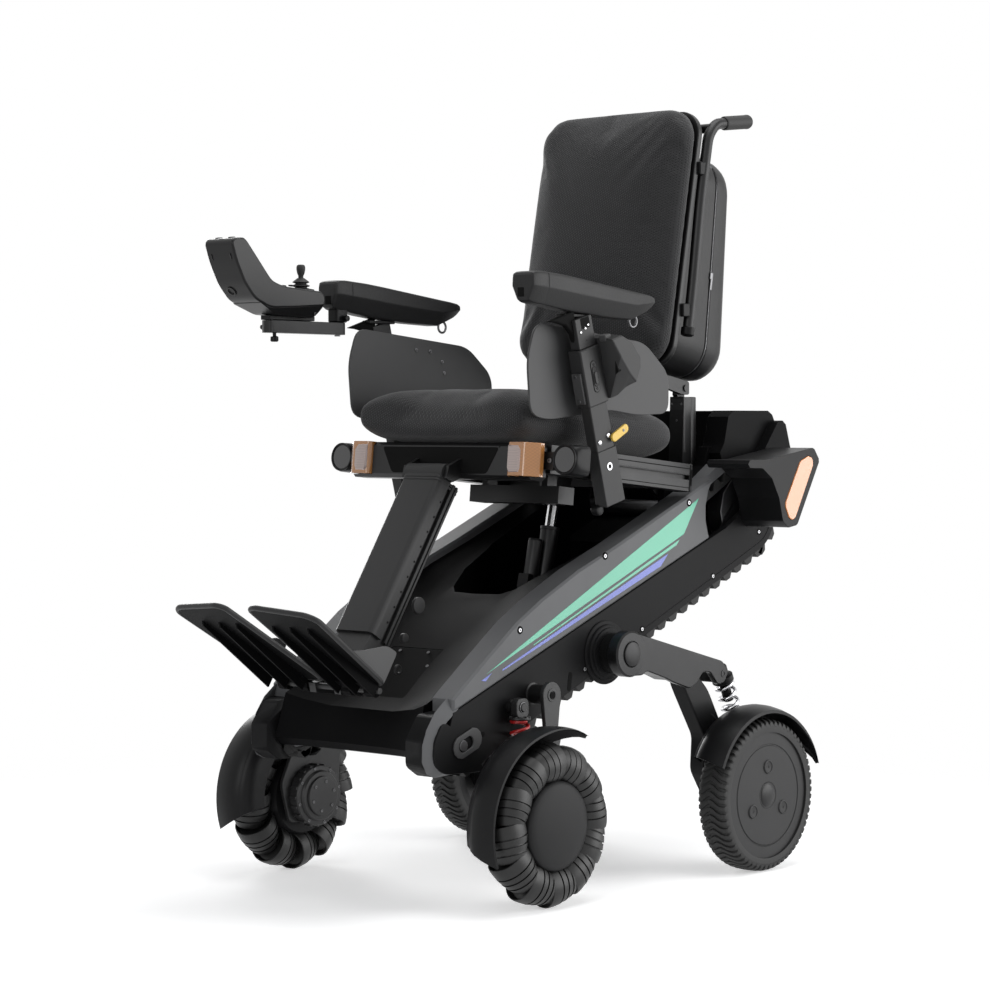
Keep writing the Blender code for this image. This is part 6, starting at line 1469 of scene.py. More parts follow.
def roller_shape():
    """One tapered barrel: its wide rim takes the next one's narrow end, with three grooves round it."""
    outline = [(0, 0.034), (0.0215, 0.034), (0.0228, 0.0325)]
    taper = ((0.0325, 0.0234), (0.024, 0.0268), (0.012, 0.0303), (0.000, 0.0327), (-0.010, 0.0337),
             (-0.0225, 0.0333))

    def reach(level):
        for (high, inner), (low, outer) in zip(taper, taper[1:]):
            if low <= level <= high:
                return inner + (outer - inner) * (high - level) / (high - low)
        return taper[-1][1]

    for middle in (0.0205, 0.0085, -0.0035):
        outline += [(reach(middle + 0.0036), middle + 0.0036), (reach(middle), middle + 0.0013),
                    (reach(middle) - 0.0026, middle + 0.0009), (reach(middle) - 0.0026, middle - 0.0009),
                    (reach(middle), middle - 0.0013)]
    outline += [(reach(-0.012), -0.012), (0.0335, -0.0195), (0.0330, -0.0232), (0.0318, -0.0238),
                (0.0300, -0.0225), (0.0275, -0.0150), (0, -0.0140)]
    barrel = turned(list(reversed(outline)), ROLLER, 30, 42)
    skew = Matrix.Rotation(math.radians(9), 4, "X") @ Matrix.Rotation(math.radians(-90), 4, "X")
    return placed(barrel, skew)


def omni_wheels():
    """Twelve barrels round a carrier, under a domed cover."""
    barrels = around(roller_shape(), 12, 0.093, ROLLER)
    barrels = placed(barrels, Matrix.Translation((0, 0, -0.034)) @ Matrix.Rotation(math.radians(8), 4, "Z"))
    dome = turned([(0, -0.0006), (0.020, -0.0010), (0.040, -0.0024), (0.055, -0.0046), (0.063, -0.0068),
                   (0.0675, -0.0096), (0.069, -0.0130), (0.069, -0.0190), (0.060, -0.0240), (0, -0.0240)],
                  CAP_PLASTIC, 96, 50)
    carrier = turned([(0, -0.020), (0.072, -0.020), (0.086, -0.026), (0.086, -0.046), (0.070, -0.052),
                      (0.064, -0.066), (0.040, -0.067), (0, -0.067)], TRIM, 72, 30)
    spokes = [(place, (place.x, place.y, 0), 0) for place in circle(0.088, 12, -0.044, 22 / 30)]
    bracket = block((-0.013, -0.004, -0.010), (0.013, 0.004, 0.016), TRIM, 0.0015)
    arms = scattered(bracket, spokes, TRIM)
    wheel = on_axle(merged(barrels, dome, carrier, arms), OMNI_OUT, WHEEL_FRONT)
    both_sides(omni_wheel=wheel)


def tread_bar():
    """One chevron bar, folded over the crown from one side wall to the other."""
    half = ((0.0000, 0.0000), (0.0075, 0.0001), (0.0145, 0.0007), (0.0205, 0.0020), (0.0250, 0.0043),
            (0.0272, 0.0075), (0.0279, 0.0125))
    line = [(-w, drop) for w, drop in reversed(half[1:])] + list(half)
    work = bmesh.new()
    rows = []
    for across, drop in line:
        bend = 0.42 * min(abs(across), 0.0215) + (0.0022 if abs(across) > 0.012 else 0)
        level = 0.126 - drop
        sunk = 0.0030 if drop < 0.006 else 0.0010
        inward = Vector((1, 0, 0.6 * across / 0.028)).normalized() * sunk
        row = []
        for way, lift in ((-0.0042, 1), (-0.0030, 0), (0.0030, 0), (0.0042, 1)):
            row.append(work.verts.new(Vector((level, way + bend, across)) - inward * lift))
        rows.append(row)
    for low, high in zip(rows, rows[1:]):
        for n in range(3):
            work.faces.new((low[n], low[n + 1], high[n + 1], high[n]))
    mesh = mesh_of(work, "bar")
    if sum(face.normal.x for face in mesh.polygons) < 0:
        mesh.flip_normals()
    return shaded(mesh, TREAD, 40)


def rear_wheels():
    """Tyres with a chevron tread, and plain discs with a ring groove, a cap and three bosses."""
    carcass = turned([(0.104, 0.0270), (0.1120, 0.0278), (0.1165, 0.0268), (0.1200, 0.0235),
                      (0.1222, 0.0170), (0.1231, 0.0080), (0.1232, 0.0000), (0.1231, -0.0080),
                      (0.1222, -0.0170), (0.1200, -0.0235), (0.1165, -0.0268), (0.1120, -0.0278),
                      (0.104, -0.0270), (0.104, 0.0270)], TREAD, 160, 50)
    bars = around(tread_bar(), 62, 0.0, TREAD)
    tyre = on_axle(merged(carcass, bars), TYRE_OUT - TYRE_HALF, WHEEL_REAR)
    disc = [(0, 0.0002), (0.040, 0.0002), (0.0815, -0.0004), (0.0826, -0.0016), (0.0838, -0.0018),
            (0.0850, -0.0006), (0.1115, -0.0010), (0.1130, -0.0022), (0.1130, -0.0060), (0.104, -0.0070),
            (0.102, -0.0480), (0.088, -0.0500), (0.078, -0.0300), (0.050, -0.0260), (0.046, -0.0440),
            (0, -0.0440)]
    face = turned(disc, WHEEL_METAL, 160, 30)
    cap = turned([(0, 0.0030), (0.010, 0.0027), (0.0165, 0.0018), (0.0200, 0.0002), (0.0208, -0.0012)],
                 SMOOTH, 64, 50)
    rim = turned([(0.0208, 0.0000), (0.0222, 0.0006), (0.0230, -0.0002)], TRIM, 64, 50)
    places = [(place, (0, 0, 1), 0.4 * n) for n, place in enumerate(circle(0.047, 3, 0.0, 0.75))]
    pad = turned([(0.0020, -0.0016), (0.0024, 0.0006), (0.0085, 0.0010), (0.0100, 0.0022), (0.0112, 0.0018),
                  (0.0120, -0.0002)], WHEEL_METAL, 32, 30)
    bosses = scattered(pad, places, WHEEL_METAL)
    wheel = on_axle(merged(face, cap, rim, bosses), TYRE_OUT - 0.0035, WHEEL_REAR)
    both_sides(rear_tyre=tyre, rear_wheel=wheel)


omni_wheels()
rear_wheels()


# Wheel guards, legs, swing arms, struts and their springs

def wheel_guard(sign, axle, section, start, ends, tip, steps=30):
    """A thin arched guard: its section swept round the axle, drawn to a point at the start.

    The section holds (distance from the middle, radius) pairs. The ends are the last angles at its inner
    and outer edges.
    """
    outer = max(x for x, _ in section)
    inner = min(x for x, _ in section)
    rings = []
    for k in range(steps + 1):
        t = k / steps
        share = min(1.0, (t + 0.02) / tip)
        share = share * share * (3 - 2 * share)
        ring_points = []
        for x, radius in section:
            last = ends[0] + (ends[1] - ends[0]) * (x - inner) / (outer - inner)
            angle = math.radians(start + (last - start) * t)
            across = outer - 0.004 + (x - outer + 0.004) * (0.06 + 0.94 * share)
            reach = radius + (section[1][1] + 0.006 - radius) * (1 - share) * 0.9
            ring_points.append(spot(sign * across, axle[0] + reach * math.cos(angle),
                                    axle[1] + reach * math.sin(angle)))
        rings.append(ring_points)
    return loft(rings, TRIM, 50)


FRONT_GUARD = ((0.3060, 0.1430), (0.3053, 0.1464), (0.2930, 0.1490), (0.2800, 0.1505), (0.2670, 0.1500),
               (0.2570, 0.1462), (0.2490, 0.1390), (0.2445, 0.1290), (0.2428, 0.1170), (0.2420, 0.1000),
               (0.2398, 0.1000), (0.2404, 0.1180), (0.2420, 0.1305), (0.2468, 0.1410), (0.2560, 0.1440),
               (0.2670, 0.1474), (0.2800, 0.1478), (0.2930, 0.1462))
REAR_GUARD = ((0.3320, 0.1360), (0.3312, 0.1412), (0.3200, 0.1448), (0.3050, 0.1478), (0.2900, 0.1484),
              (0.2780, 0.1462), (0.2700, 0.1400), (0.2668, 0.1320), (0.2664, 0.1180), (0.2640, 0.1180),
              (0.2644, 0.1330), (0.2680, 0.1415), (0.2775, 0.1440), (0.2900, 0.1458), (0.3050, 0.1450),
              (0.3200, 0.1418))


def coil(low, high, radius, wire, turns, material):
    """Spring wire wound between two places, its last half turns lying flat."""
    low, high = Vector(low), Vector(high)
    frame_turn = facing(low, high - low)
    length = (high - low).length
    points = []
    count = int(turns * 16)
    for n in range(count + 1):
        t = n / count
        flat = max(0.0, min(1.0, (t * turns - 0.5) / (turns - 1.0)))
        points.append(frame_turn @ Vector((radius * math.cos(math.tau * turns * t),
                                           radius * math.sin(math.tau * turns * t),
                                           wire + (length - 2 * wire) * flat)))
    return pipe(points, wire, material, 4)


SHOCK_SIDE = 0.2190


def front_shock_top(sign):
    """Fork, bolt and notched collar that hang from the cover's boss."""
    x, (y, z) = SHOCK_SIDE, SHOCK_TOP
    fork = round_corners([(y - 0.0140, z - 0.0170), (y + 0.0140, z - 0.0170), (y + 0.0140, z + 0.0140),
                          (y - 0.0140, z + 0.0140)], 0.0105, 5)
    seat = Matrix.Translation(spot(sign * x, y, z - 0.0190))
    pieces = [side_plate(sign, fork, x - 0.0065, x + 0.0065, LEG_METAL, 0.0014),
              placed(disc(0.0168, 0.0032, LEG_METAL, 32), seat),
              on_side(ring(0.0082, 0.0036, 0.0016, DARK_STEEL, 28, 0.0004), x + 0.0065, y, z, sign)]
    teeth = around(block((-0.0022, -0.0020, 0), (0.0022, 0.0020, 0.0048), LEG_METAL, 0.0005), 10, 0.0140,
                   LEG_METAL)
    return pieces + [placed(teeth, seat)]


def hub_motor(sign):
    """Ribbed drum inside the wheel with its screwed cover."""
    inward = facing(spot(sign * 0.2400, *WHEEL_FRONT), (-sign, 0, 0))
    drum = [(0, 0), (0.0440, 0), (0.0440, 0.0060), (0.0500, 0.0070), (0.0500, 0.0230), (0.0485, 0.0250),
            (0.0420, 0.0255), (0.0410, 0.0290), (0.0395, 0.0305), (0.0330, 0.0310), (0.0325, 0.0345),
            (0.0310, 0.0355), (0.0, 0.0355)]
    ribs = around(block((-0.0015, -0.0026, 0.008), (0.0022, 0.0026, 0.0225), LEG_METAL, 0.0006), 20, 0.0500,
                  LEG_METAL)
    heads = []
    for count, reach, height in ((6, 0.0245, 0.0354), (8, 0.0460, 0.0248)):
        places = circle(reach, count, height, 0.3)
        heads += [(inward @ place, Vector((-sign, 0, 0)), 0.5 * n) for n, place in enumerate(places)]
    return [placed(turned(drum, LEG_METAL, 72, 35), inward), placed(ribs, inward),
            scattered(hex_socket_screw(0.0026, 0.0014), heads, DARK_STEEL)]


def front_ear(sign):
    """Flat plate from the pivot down past the motor, with the spring's perch."""
    y, z = LEG_PIVOT
    top = [(y + 0.0210 * math.cos(math.pi * n / 14), z + 0.0210 * math.sin(math.pi * n / 14))
           for n in range(15)]
    lower = round_corners([(-0.3110, 0.2500), (-0.3220, 0.2190), (-0.3520, 0.2190), (-0.3920, 0.2050),
                           (-0.4180, 0.1500), (-0.4000, 0.0850), (-0.2900, 0.0850), (-0.2860, 0.1800),
                           (-0.2645, 0.2550)], 0.010, 3)
    plate = side_plate(sign, top + lower, 0.2324, 0.2398, LEG_METAL, 0.0012)
    rim = on_side(ring(0.0105, 0.0066, 0.0012, LEG_METAL, 36, 0.0004), 0.2396, y, z, sign)
    # The bore is a near black disc of painted shade.
    bore = on_side(disc(0.0055, 0.0005, SHADE_AND_BLACK, 28, 0.0002), 0.2407, y, z, sign)
    perch = placed(turned([(0, 0), (0.0160, 0), (0.0166, 0.0006), (0.0166, 0.0034), (0.0046, 0.0038),
                           (0.0046, 0.0160), (0, 0.0160)], LEG_METAL, 32),
                   Matrix.Translation(spot(sign * SHOCK_SIDE, -0.340, 0.2216)))
    shelf = side_block(sign, (0.2080, -0.3520, 0.2100), (0.2340, -0.3280, 0.2222), LEG_METAL, 0.0014)
    axle = placed(disc(0.0090, 0.0300, DARK_STEEL, 28),
                  facing(spot(sign * 0.2380, *WHEEL_FRONT), (sign, 0, 0)))
    heads = screws([(sign * 0.2396, -0.3750, 0.2070, (sign, 0, 0)),
                    (sign * 0.2396, -0.4030, 0.1700, (sign, 0, 0))],
                   0.0032, 0.0016, DARK_STEEL)
    return [plate, rim, bore, perch, shelf, axle, heads]


def front_legs():
    """Mudguard, ear and hub motor of each leg, and its spring."""
    for side, sign in LEFT_AND_RIGHT:
        guard = wheel_guard(sign, WHEEL_FRONT, FRONT_GUARD, 60, (187, 200), 0.36)
        stand_in("front_leg_" + side, merged(guard, *front_ear(sign), *hub_motor(sign)))
        low, high = spot(sign * SHOCK_SIDE, -0.340, 0.2258), spot(sign * SHOCK_SIDE, -0.340, 0.2830)
        spring = coil(low, high, 0.0134, 0.0029, 3.5, RED_PAINT)
        stand_in("front_spring_" + side, spring)


ARM_OUTLINE = ((-0.1090, 0.4070), (0.1255, 0.3460), (0.1390, 0.3270), (0.1310, 0.3110), (0.1120, 0.3070),
               (0.0910, 0.3300), (0.0720, 0.3310), (0.0560, 0.3140), (0.0380, 0.3060), (-0.0020, 0.3180),
               (-0.0280, 0.3280), (-0.0740, 0.3425), (-0.0840, 0.3360), (-0.1200, 0.3370))
REAR_SHOCK_SIDE = 0.235
REAR_TOP = (0.153, 0.308)
REAR_LOW = (0.183, 0.243)


def swing_arms():
    """Side plate, hub and damper of each arm, and its spring."""
    for side, sign in LEFT_AND_RIGHT:
        front = [(-0.1090, 0.4040), (-0.0040, 0.3778), (-0.0040, 0.3212), (-0.0280, 0.3306),
                 (-0.0740, 0.3450), (-0.0840, 0.3385), (-0.1200, 0.3395)]
        rear = [(0.1120, 0.3470), (0.1240, 0.3440), (0.1370, 0.3265), (0.1290, 0.3130), (0.1120, 0.3100)]
        pieces = [
            side_plate(sign, round_corners(ARM_OUTLINE, 0.006), 0.2452, 0.2555, ARM_METAL, 0.0026, 3),
            side_plate(sign, round_corners(front, 0.004), 0.2150, 0.2458, ARM_METAL, 0.0020),
            side_plate(sign, round_corners(rear, 0.004), 0.2150, 0.2458, ARM_METAL, 0.0020),
            on_side(turned([(0.0205, 0), (0.0310, 0), (0.0310, 0.0210), (0.0355, 0.0215), (0.0368, 0.0230),
                            (0.0368, 0.0400), (0.0340, 0.0425), (0.0215, 0.0428), (0.0205, 0.0415),
                            (0, 0.0415)],
                           ARM_METAL, 72), 0.2140, *ARM_PIVOT, sign),
            on_side(turned([(0, 0), (0.0198, 0), (0.0198, 0.0030), (0.0190, 0.0042), (0.0120, 0.0052),
                            (0, 0.0056)],
                           ARM_METAL, 56, 50), 0.2552, *ARM_PIVOT, sign),
            # A near black ring of painted shade at the inner end of the pivot's hub.
            on_side(turned([(0.0200, 0), (0.0313, 0), (0.0313, 0.0200), (0.0200, 0.0200)], SHADE_AND_BLACK, 56),
                    0.2142, *ARM_PIVOT, sign),
            on_side(ring(0.0062, 0.0030, 0.0010, ARM_METAL, 28, 0.0003), 0.2553, 0.1262, 0.3250, sign),
        ]
        top, low = spot(sign * REAR_SHOCK_SIDE, *REAR_TOP), spot(sign * REAR_SHOCK_SIDE, *REAR_LOW)
        along = facing(top, low - top)
        damper = [(0, -0.030), (0.0110, -0.030), (0.0125, -0.028), (0.0125, -0.013), (0.0185, -0.012),
                  (0.0185, -0.002), (0.0170, -0.0005), (0.0085, 0.0), (0.0085, 0.0340), (0, 0.0340)]
        pieces.append(placed(turned(damper, TRIM, 40), along))
        stand_in("swing_arm_" + side, merged(*pieces))
        stand_in("rear_spring_" + side, coil(low, top, 0.0150, 0.0032, 4.5, SPRING_STEEL))


STRUT_OUTLINE = ((0.030, 0.318), (0.055, 0.341), (0.100, 0.300), (0.136, 0.240), (0.180, 0.150),
                 (0.180, 0.100), (0.130, 0.100), (0.086, 0.165), (0.090, 0.222), (0.040, 0.300))


def rear_struts():
    """Mudguard, strut, caliper and hub of each rear wheel."""
    for side, sign in LEFT_AND_RIGHT:
        low = spot(sign * REAR_SHOCK_SIDE, *REAR_LOW)
        along = facing(low, spot(sign * REAR_SHOCK_SIDE, *REAR_TOP) - low)
        bracket = round_corners([(0.105, 0.262), (0.140, 0.236), (0.204, 0.240), (0.204, 0.226),
                                 (0.150, 0.205), (0.110, 0.200)], 0.006)
        caliper = round_corners([(0.082, 0.150), (0.120, 0.160), (0.126, 0.100), (0.104, 0.072),
                                 (0.080, 0.098)], 0.010)
        pieces = [
            wheel_guard(sign, WHEEL_REAR, REAR_GUARD, 16, (150, 156), 0.30),
            side_plate(sign, round_corners(STRUT_OUTLINE, 0.010), 0.2152, 0.2446, TRIM, 0.0030, 3),
            side_plate(sign, bracket, 0.2250, 0.2452, TRIM, 0.0016),
            side_plate(sign, caliper, 0.2460, 0.2655, SHADE_AND_BLACK, 0.0030),
            on_side(turned([(0, 0), (0.0340, 0), (0.0380, 0.0020), (0.0400, 0.0050), (0.0400, 0.0520),
                            (0.0340, 0.0560), (0, 0.0560)], TRIM, 56), 0.2095, *WHEEL_REAR, sign),
            on_side(disc(0.0090, 0.0400, DARK_STEEL, 28), 0.2600, *WHEEL_REAR, sign),
            placed(turned([(0, -0.008), (0.0180, -0.008), (0.0185, -0.007), (0.0185, -0.0015),
                           (0.0050, 0.0), (0.0050, 0.0060), (0, 0.0060)], TRIM, 40), along),
        ]
        stand_in("rear_strut_" + side, merged(*pieces))


cover_pieces()
front_legs()
swing_arms()
rear_struts()


# Leg rest. Its own frame: Z down the post, Y across it, from the place where its middle line starts.

ON_LEG = Matrix.Translation(spot(0, *LEG_TOP)) @ Matrix.Rotation(math.pi - LEGREST_LEAN, 4, "X")
ON_FOOT = Matrix.Translation(spot(0, *FOOT_HINGE)) @ Matrix.Rotation(-FOOT_PITCH, 4, "X")
POST_SIDE = ((-0.0250, 0.0310), (-0.0243, 0.0355), (-0.0220, 0.0390), (-0.0180, 0.0410), (-0.0130, 0.0415),
             (0.0012, 0.0415), (0.0015, 0.0350), (0.0098, 0.0350), (0.0101, 0.0412), (0.0150, 0.0412),
             (0.0154, 0.0385), (0.0178, 0.0385), (0.0182, 0.0412), (0.0215, 0.0412), (0.0250, 0.0380))


def leg_spot(x, across, down):
    """A place of the leg rest's own frame."""
    return ON_LEG @ Vector((x, across, down))


def post_extrusion():
    """Drawn tube of the post: round front corners, a deep slot and a groove down each side."""
    front = -1 if (leg_spot(0, -0.025, 0.1) - leg_spot(0, 0.025, 0.1)).y < 0 else 1
    section = [(x, -front * y) for y, x in POST_SIDE]
    section += [(-x, y) for x, y in reversed(section)]
    rings = [[leg_spot(x, y, down) for x, y in section] for down in (0.0100, 0.3000)]
    tube = loft(rings, POST_METAL, 24)
    collar = []
    for start, stop in ((0.0120, 0.0165), (0.0180, 0.0215)):
        band = [(x * 1.018, y * 1.03) for x, y in section
                if abs(y) > 0.0245 or abs(x) < 0.0340 or y * front > 0.012]
        collar.append(loft([[leg_spot(x, y, down) for x, y in band] for down in (start, stop)], POST_METAL,
                           24))
    holes = []
    for sign in (1, -1):
        for n in range(9):
            holes.append((leg_spot(sign * 0.0414, front * 0.0016, 0.050 + 0.0275 * n), Vector((sign, 0, 0)),
                          0.0))
    # The holes are near black discs of painted shade.
    marks = scattered(disc(0.0019, 0.0004, SHADE_AND_BLACK, 12, 0.0001), holes, SHADE_AND_BLACK)
    return [tube, *collar, marks]


def legrest():
    """The post with its eye, and the carriage with its knobs."""
    eye = placed(turned([(0, -0.0415), (0.0160, -0.0415), (0.0160, 0.0415), (0, 0.0415)], POST_METAL, 32),
                 facing(spot(0, -0.3125, 0.6600), (1, 0, 0)))
    stand_in("legrest_post", merged(*post_extrusion(), eye))
    knobs = []
    for x, y, z, radius, thick in ((0.0420, -0.3850, 0.4540, 0.0130, 0.0060),
                                   (0.0460, -0.4225, 0.4050, 0.0072, 0.0080)):
        knobs.append(placed(disc(radius, thick, POST_METAL, 32, 0.0010), facing(spot(x, y, z), (1, 0, 0))))
    knobs.append(placed(ring(0.0080, 0.0046, 0.0040, POST_METAL, 32, 0.0010),
                        facing(spot(0.0460, -0.4340, 0.3560), (1, 0, 0))))
    refine("legrest_carriage", LEG_METAL, 0.0012, knobs)


FOOT_EDGE = ((0.0070, 0.010), (0.1240, 0.010), (0.1540, 0.208), (0.1400, 0.222), (0.0420, 0.236),
             (0.0270, 0.230))


def footplates():
    """The drawn plates with a rolled rim and a pale heel wall."""
    for side, sign in LEFT_AND_RIGHT:
        edge = round_corners([(sign * x, -y) for x, y in FOOT_EDGE], 0.014, 4)
        rim = pipe([ON_FOOT @ Vector((x, y, 0.0076)) for x, y in edge], 0.0042, POST_METAL, 4, True)
        wall = round_corners([(-0.0095, 0.0060), (-0.1180, 0.0060), (-0.0700, 0.0325), (-0.0340, 0.0605),
                              (-0.0095, 0.0625)], 0.006, 3)
        low, high = sorted((sign * 0.1190, sign * 0.1240))
        heel = placed(outline_plate(wall, low, high, GUARD, 0.0012), ON_FOOT)
        refine("footplate_" + side, HULL, 0.0020, [rim, heel])


legrest()
footplates()


# Cushions

BACK_FOOT = (0.10924, 0.830)
BACK_FRAME = Matrix.Translation(spot(0, *BACK_FOOT)) @ Matrix.Rotation(-BACK_LEAN, 4, "X")
BACK_HALF = 0.165
BACK_LENGTH = 0.4456


def round_rectangle(half, low, high, corner, steps=7):
    """A rounded rectangle from -half to half and from low to high."""
    out = []
    corner = max(corner, 0.002)
    for x, z, start in ((half - corner, low + corner, -90), (half - corner, high - corner, 0),
                        (corner - half, high - corner, 90), (corner - half, low + corner, 180)):
        for n in range(steps + 1):
            turn = math.radians(start + 90 * n / steps)
            out.append((x + corner * math.cos(turn), z + corner * math.sin(turn)))
    return out


def puffed(mesh, held, material, pressure=4.0, voxel=0.0055):
    """A stuffed cover: an even net of cloth is blown up a little, held where the test says."""
    item = new_object("cover", mesh)
    even = item.modifiers.new("even", "REMESH")
    even.mode = "VOXEL"
    even.voxel_size = voxel
    mesh = evaluated(item)
    item = new_object("cover", mesh)
    pins = item.vertex_groups.new(name="held")
    pins.add([v.index for v in mesh.vertices if held(v.co)], 1.0, "REPLACE")
    cloth = item.modifiers.new("cloth", "CLOTH")
    cloth.settings.quality = 5
    cloth.settings.mass = 0.2
    cloth.settings.tension_stiffness = 22
    cloth.settings.compression_stiffness = 22
    cloth.settings.shear_stiffness = 10
    cloth.settings.bending_stiffness = 1.2
    cloth.settings.use_pressure = True
    cloth.settings.uniform_pressure_force = pressure
    cloth.settings.vertex_group_mass = "held"
    cloth.settings.effector_weights.gravity = 0.0
    cloth.collision_settings.use_self_collision = False
    cloth.point_cache.frame_start = 1
    cloth.point_cache.frame_end = 20
    for step in range(1, 21):
        bpy.context.scene.frame_set(step)
        bpy.context.evaluated_depsgraph_get().update()
    calm = item.modifiers.new("calm", "SMOOTH")
    calm.factor = 0.5
    calm.iterations = 4
    fine = item.modifiers.new("fine", "SUBSURF")
    fine.levels = 1
    fine.render_levels = 1
    made = evaluated(item)
    bpy.context.scene.frame_set(1)
    return shaded(made, material, 80)


def back_cushion():
    """A flat pad with rounded corners whose front rolls over into its sides."""
    deep = 0.0405
    rings = []
    for share, inset in ((0.0, 0.006), (0.10, 0.0025), (0.30, 0.0015), (0.50, 0.0025), (0.68, 0.006),
                         (0.82, 0.012), (0.92, 0.020), (0.975, 0.030), (0.99, 0.046)):
        ring = round_rectangle(BACK_HALF - inset, inset, BACK_LENGTH - inset, 0.052 - inset * 0.5)
        rings.append([(x, -0.0125 - deep * share, z) for x, z in ring])
    pad = placed(loft(rings, FABRIC_BACK, 80), BACK_FRAME)
    to_frame = BACK_FRAME.inverted()
    pad = puffed(pad, lambda place: (to_frame @ place).y > -0.0180, FABRIC_BACK, 1.4)
    item = stand_in("backrest_cushion", pad)


def seat_height(share):
    """The cushion's height over its width: bolsters at both sides, lower between."""
    edge = min(1.0, max(0.0, (abs(share) - 0.25) / 0.45))
    return 0.80 + 0.20 * edge * edge * (3 - 2 * edge)


def seat_cushion():
    """A long rounded pad with raised sides, on the seat's rails."""
    front, rear, half, base, high = -0.4235, -0.0455, 0.1870, 0.0425, 0.084
    rings = []
    count = 26
    for n in range(count + 1):
        share = 0.5 - 0.5 * math.cos(math.pi * n / count)
        along = front + (rear - front) * share
        near = min(share, 1 - share) * (rear - front)
        size = 1.0
        if near < 0.045:
            size = (1 - (1 - near / 0.045) ** 2.4) ** (1 / 2.4) if near > 0 else 0.0
        ring = []
        for k in range(56):
            turn = 2 * math.pi * k / 56
            c, s = math.cos(turn), math.sin(turn)
            x = half * (0.94 + 0.06 * size) * math.copysign(abs(c) ** 0.5, c)
            up = math.copysign(abs(s) ** 0.62, s)
            level = base + high / 2 * (1 + up * (0.35 + 0.65 * size))
            if up > 0:
                level = base + (level - base) * seat_height(x / half)
            else:
                level = max(level, base)
            ring.append((x, along, level))
        rings.append(ring)
    pad = placed(loft(rings, FABRIC_SEAT, 80), ON_SEAT)
    to_frame = ON_SEAT.inverted()
    pad = puffed(pad, lambda place: (to_frame @ place).z < base + 0.010, FABRIC_SEAT, 1.6)
    item = stand_in("seat_cushion", pad)


back_cushion()
seat_cushion()


# Backboard, push bars and bag

def tube_path(points, radius, bend=0.03, steps=6):
    """A round tube along a path whose corners are rounded off."""
    out = [Vector(points[0])]
    for before, here, after in zip(points, points[1:], points[2:]):
        here = Vector(here)
        one, two = Vector(before) - here, Vector(after) - here
        reach = min(bend, one.length * 0.45, two.length * 0.45)
        start, end = here + one.normalized() * reach, here + two.normalized() * reach
        for n in range(steps + 1):
            t = n / steps
            out.append(start * (1 - t) ** 2 + here * 2 * t * (1 - t) + end * t * t)
    out.append(Vector(points[-1]))
    return pipe(out, radius, FRAME_METAL, 5, smooth=False)


def back_shell():
    """Board with its rim, bent push bars with grips, clamps, cross bar and hinge arms."""
    board = outline_plate(round_rectangle(BACK_HALF + 0.001, 0.002, BACK_LENGTH - 0.001, 0.046, 10),
                          -0.0118, -0.0012, FRAME_METAL, 0.0018, "Y", 3)
    rim = round_rectangle(BACK_HALF - 0.006, 0.008, BACK_LENGTH - 0.007, 0.042, 10)
    inner = outline_plate(rim, -0.004, 0.0016, TRIM, 0.0010, "Y", 2)
    parts = [placed(board, BACK_FRAME), placed(inner, BACK_FRAME)]
    path = ((0.1430, 0.8900), (0.1580, 0.9780), (0.1770, 1.1170), (0.1985, 1.2260), (0.2180, 1.2480),
            (0.3060, 1.2585))
    for side in (-1, 1):
        x = side * BACK_HALF
        points = [spot(x, y, z) for y, z in path]
        parts.append(tube_path(points, 0.0095, 0.045))
        way = (points[-1] - points[-2]).normalized()
        start = points[-1] - way * 0.066
        grip = turned([(0, 0), (0.0108, 0.0004), (0.0120, 0.003), (0.0120, 0.060), (0.0124, 0.0635),
                       (0.0124, 0.066), (0.0112, 0.0690), (0.0070, 0.0705), (0, 0.0705)], GRIP, 40, 40)
        parts.append(placed(grip, facing(start, way)))
        foot = turned([(0, -0.004), (0.0080, -0.0036), (0.0112, -0.0015), (0.0118, 0.002), (0.0118, 0.010),
                       (0.0098, 0.012)], TRIM, 32, 40)
        parts.append(placed(foot, facing(points[0], points[1] - points[0])))
        for height in (0.930, 1.170):
            y = 0.141 + (height - 1) * math.tan(BACK_LEAN)
            parts.append(block(spot(x - 0.007, y - 0.004, height - 0.011),
                               spot(x + 0.007, y + 0.014, height + 0.011), TRIM, 0.002))
        arm = round_corners([(0.0995, 0.8600), (0.0985, 0.8350), (0.1180, 0.8060), (0.1900, 0.7890),
                             (0.2090, 0.7890), (0.2090, 0.8110), (0.1960, 0.8140), (0.1180, 0.8280),
                             (0.1090, 0.8320), (0.1130, 0.8600)], 0.004)
        parts.append(side_plate(side, arm, 0.1095, 0.1175, FRAME_METAL, 0.0010))
    parts.append(pipe([spot(-BACK_HALF, 0.2080, 1.2400), spot(BACK_HALF, 0.2080, 1.2400)], 0.0080,
                      FRAME_METAL, 5, smooth=False))
    parts.append(screws([(x, 0.1405 + (z - 1) * math.tan(BACK_LEAN), z, (0, 1, -math.tan(BACK_LEAN)))
                         for x in (-0.13, 0.13) for z in (0.862, 0.880)], 0.0045, 0.003, DARK_STEEL))
    stand_in("backrest_shell", merged(*parts))


POD_ZIP = 0.61


def pod_depth(height):
    """How far the bag reaches back at that height."""
    return 0.1730 - 0.125 * height


def pod_ring(share, inset):
    """One outline of the bag, at that share of its depth behind the board."""
    ring = round_rectangle(0.1425 - inset, 0.008 + inset, 0.390 - inset, max(0.058 - inset * 0.6, 0.02), 9)
    return [(x, 0.0025 + share * pod_depth(z), z) for x, z in ring]


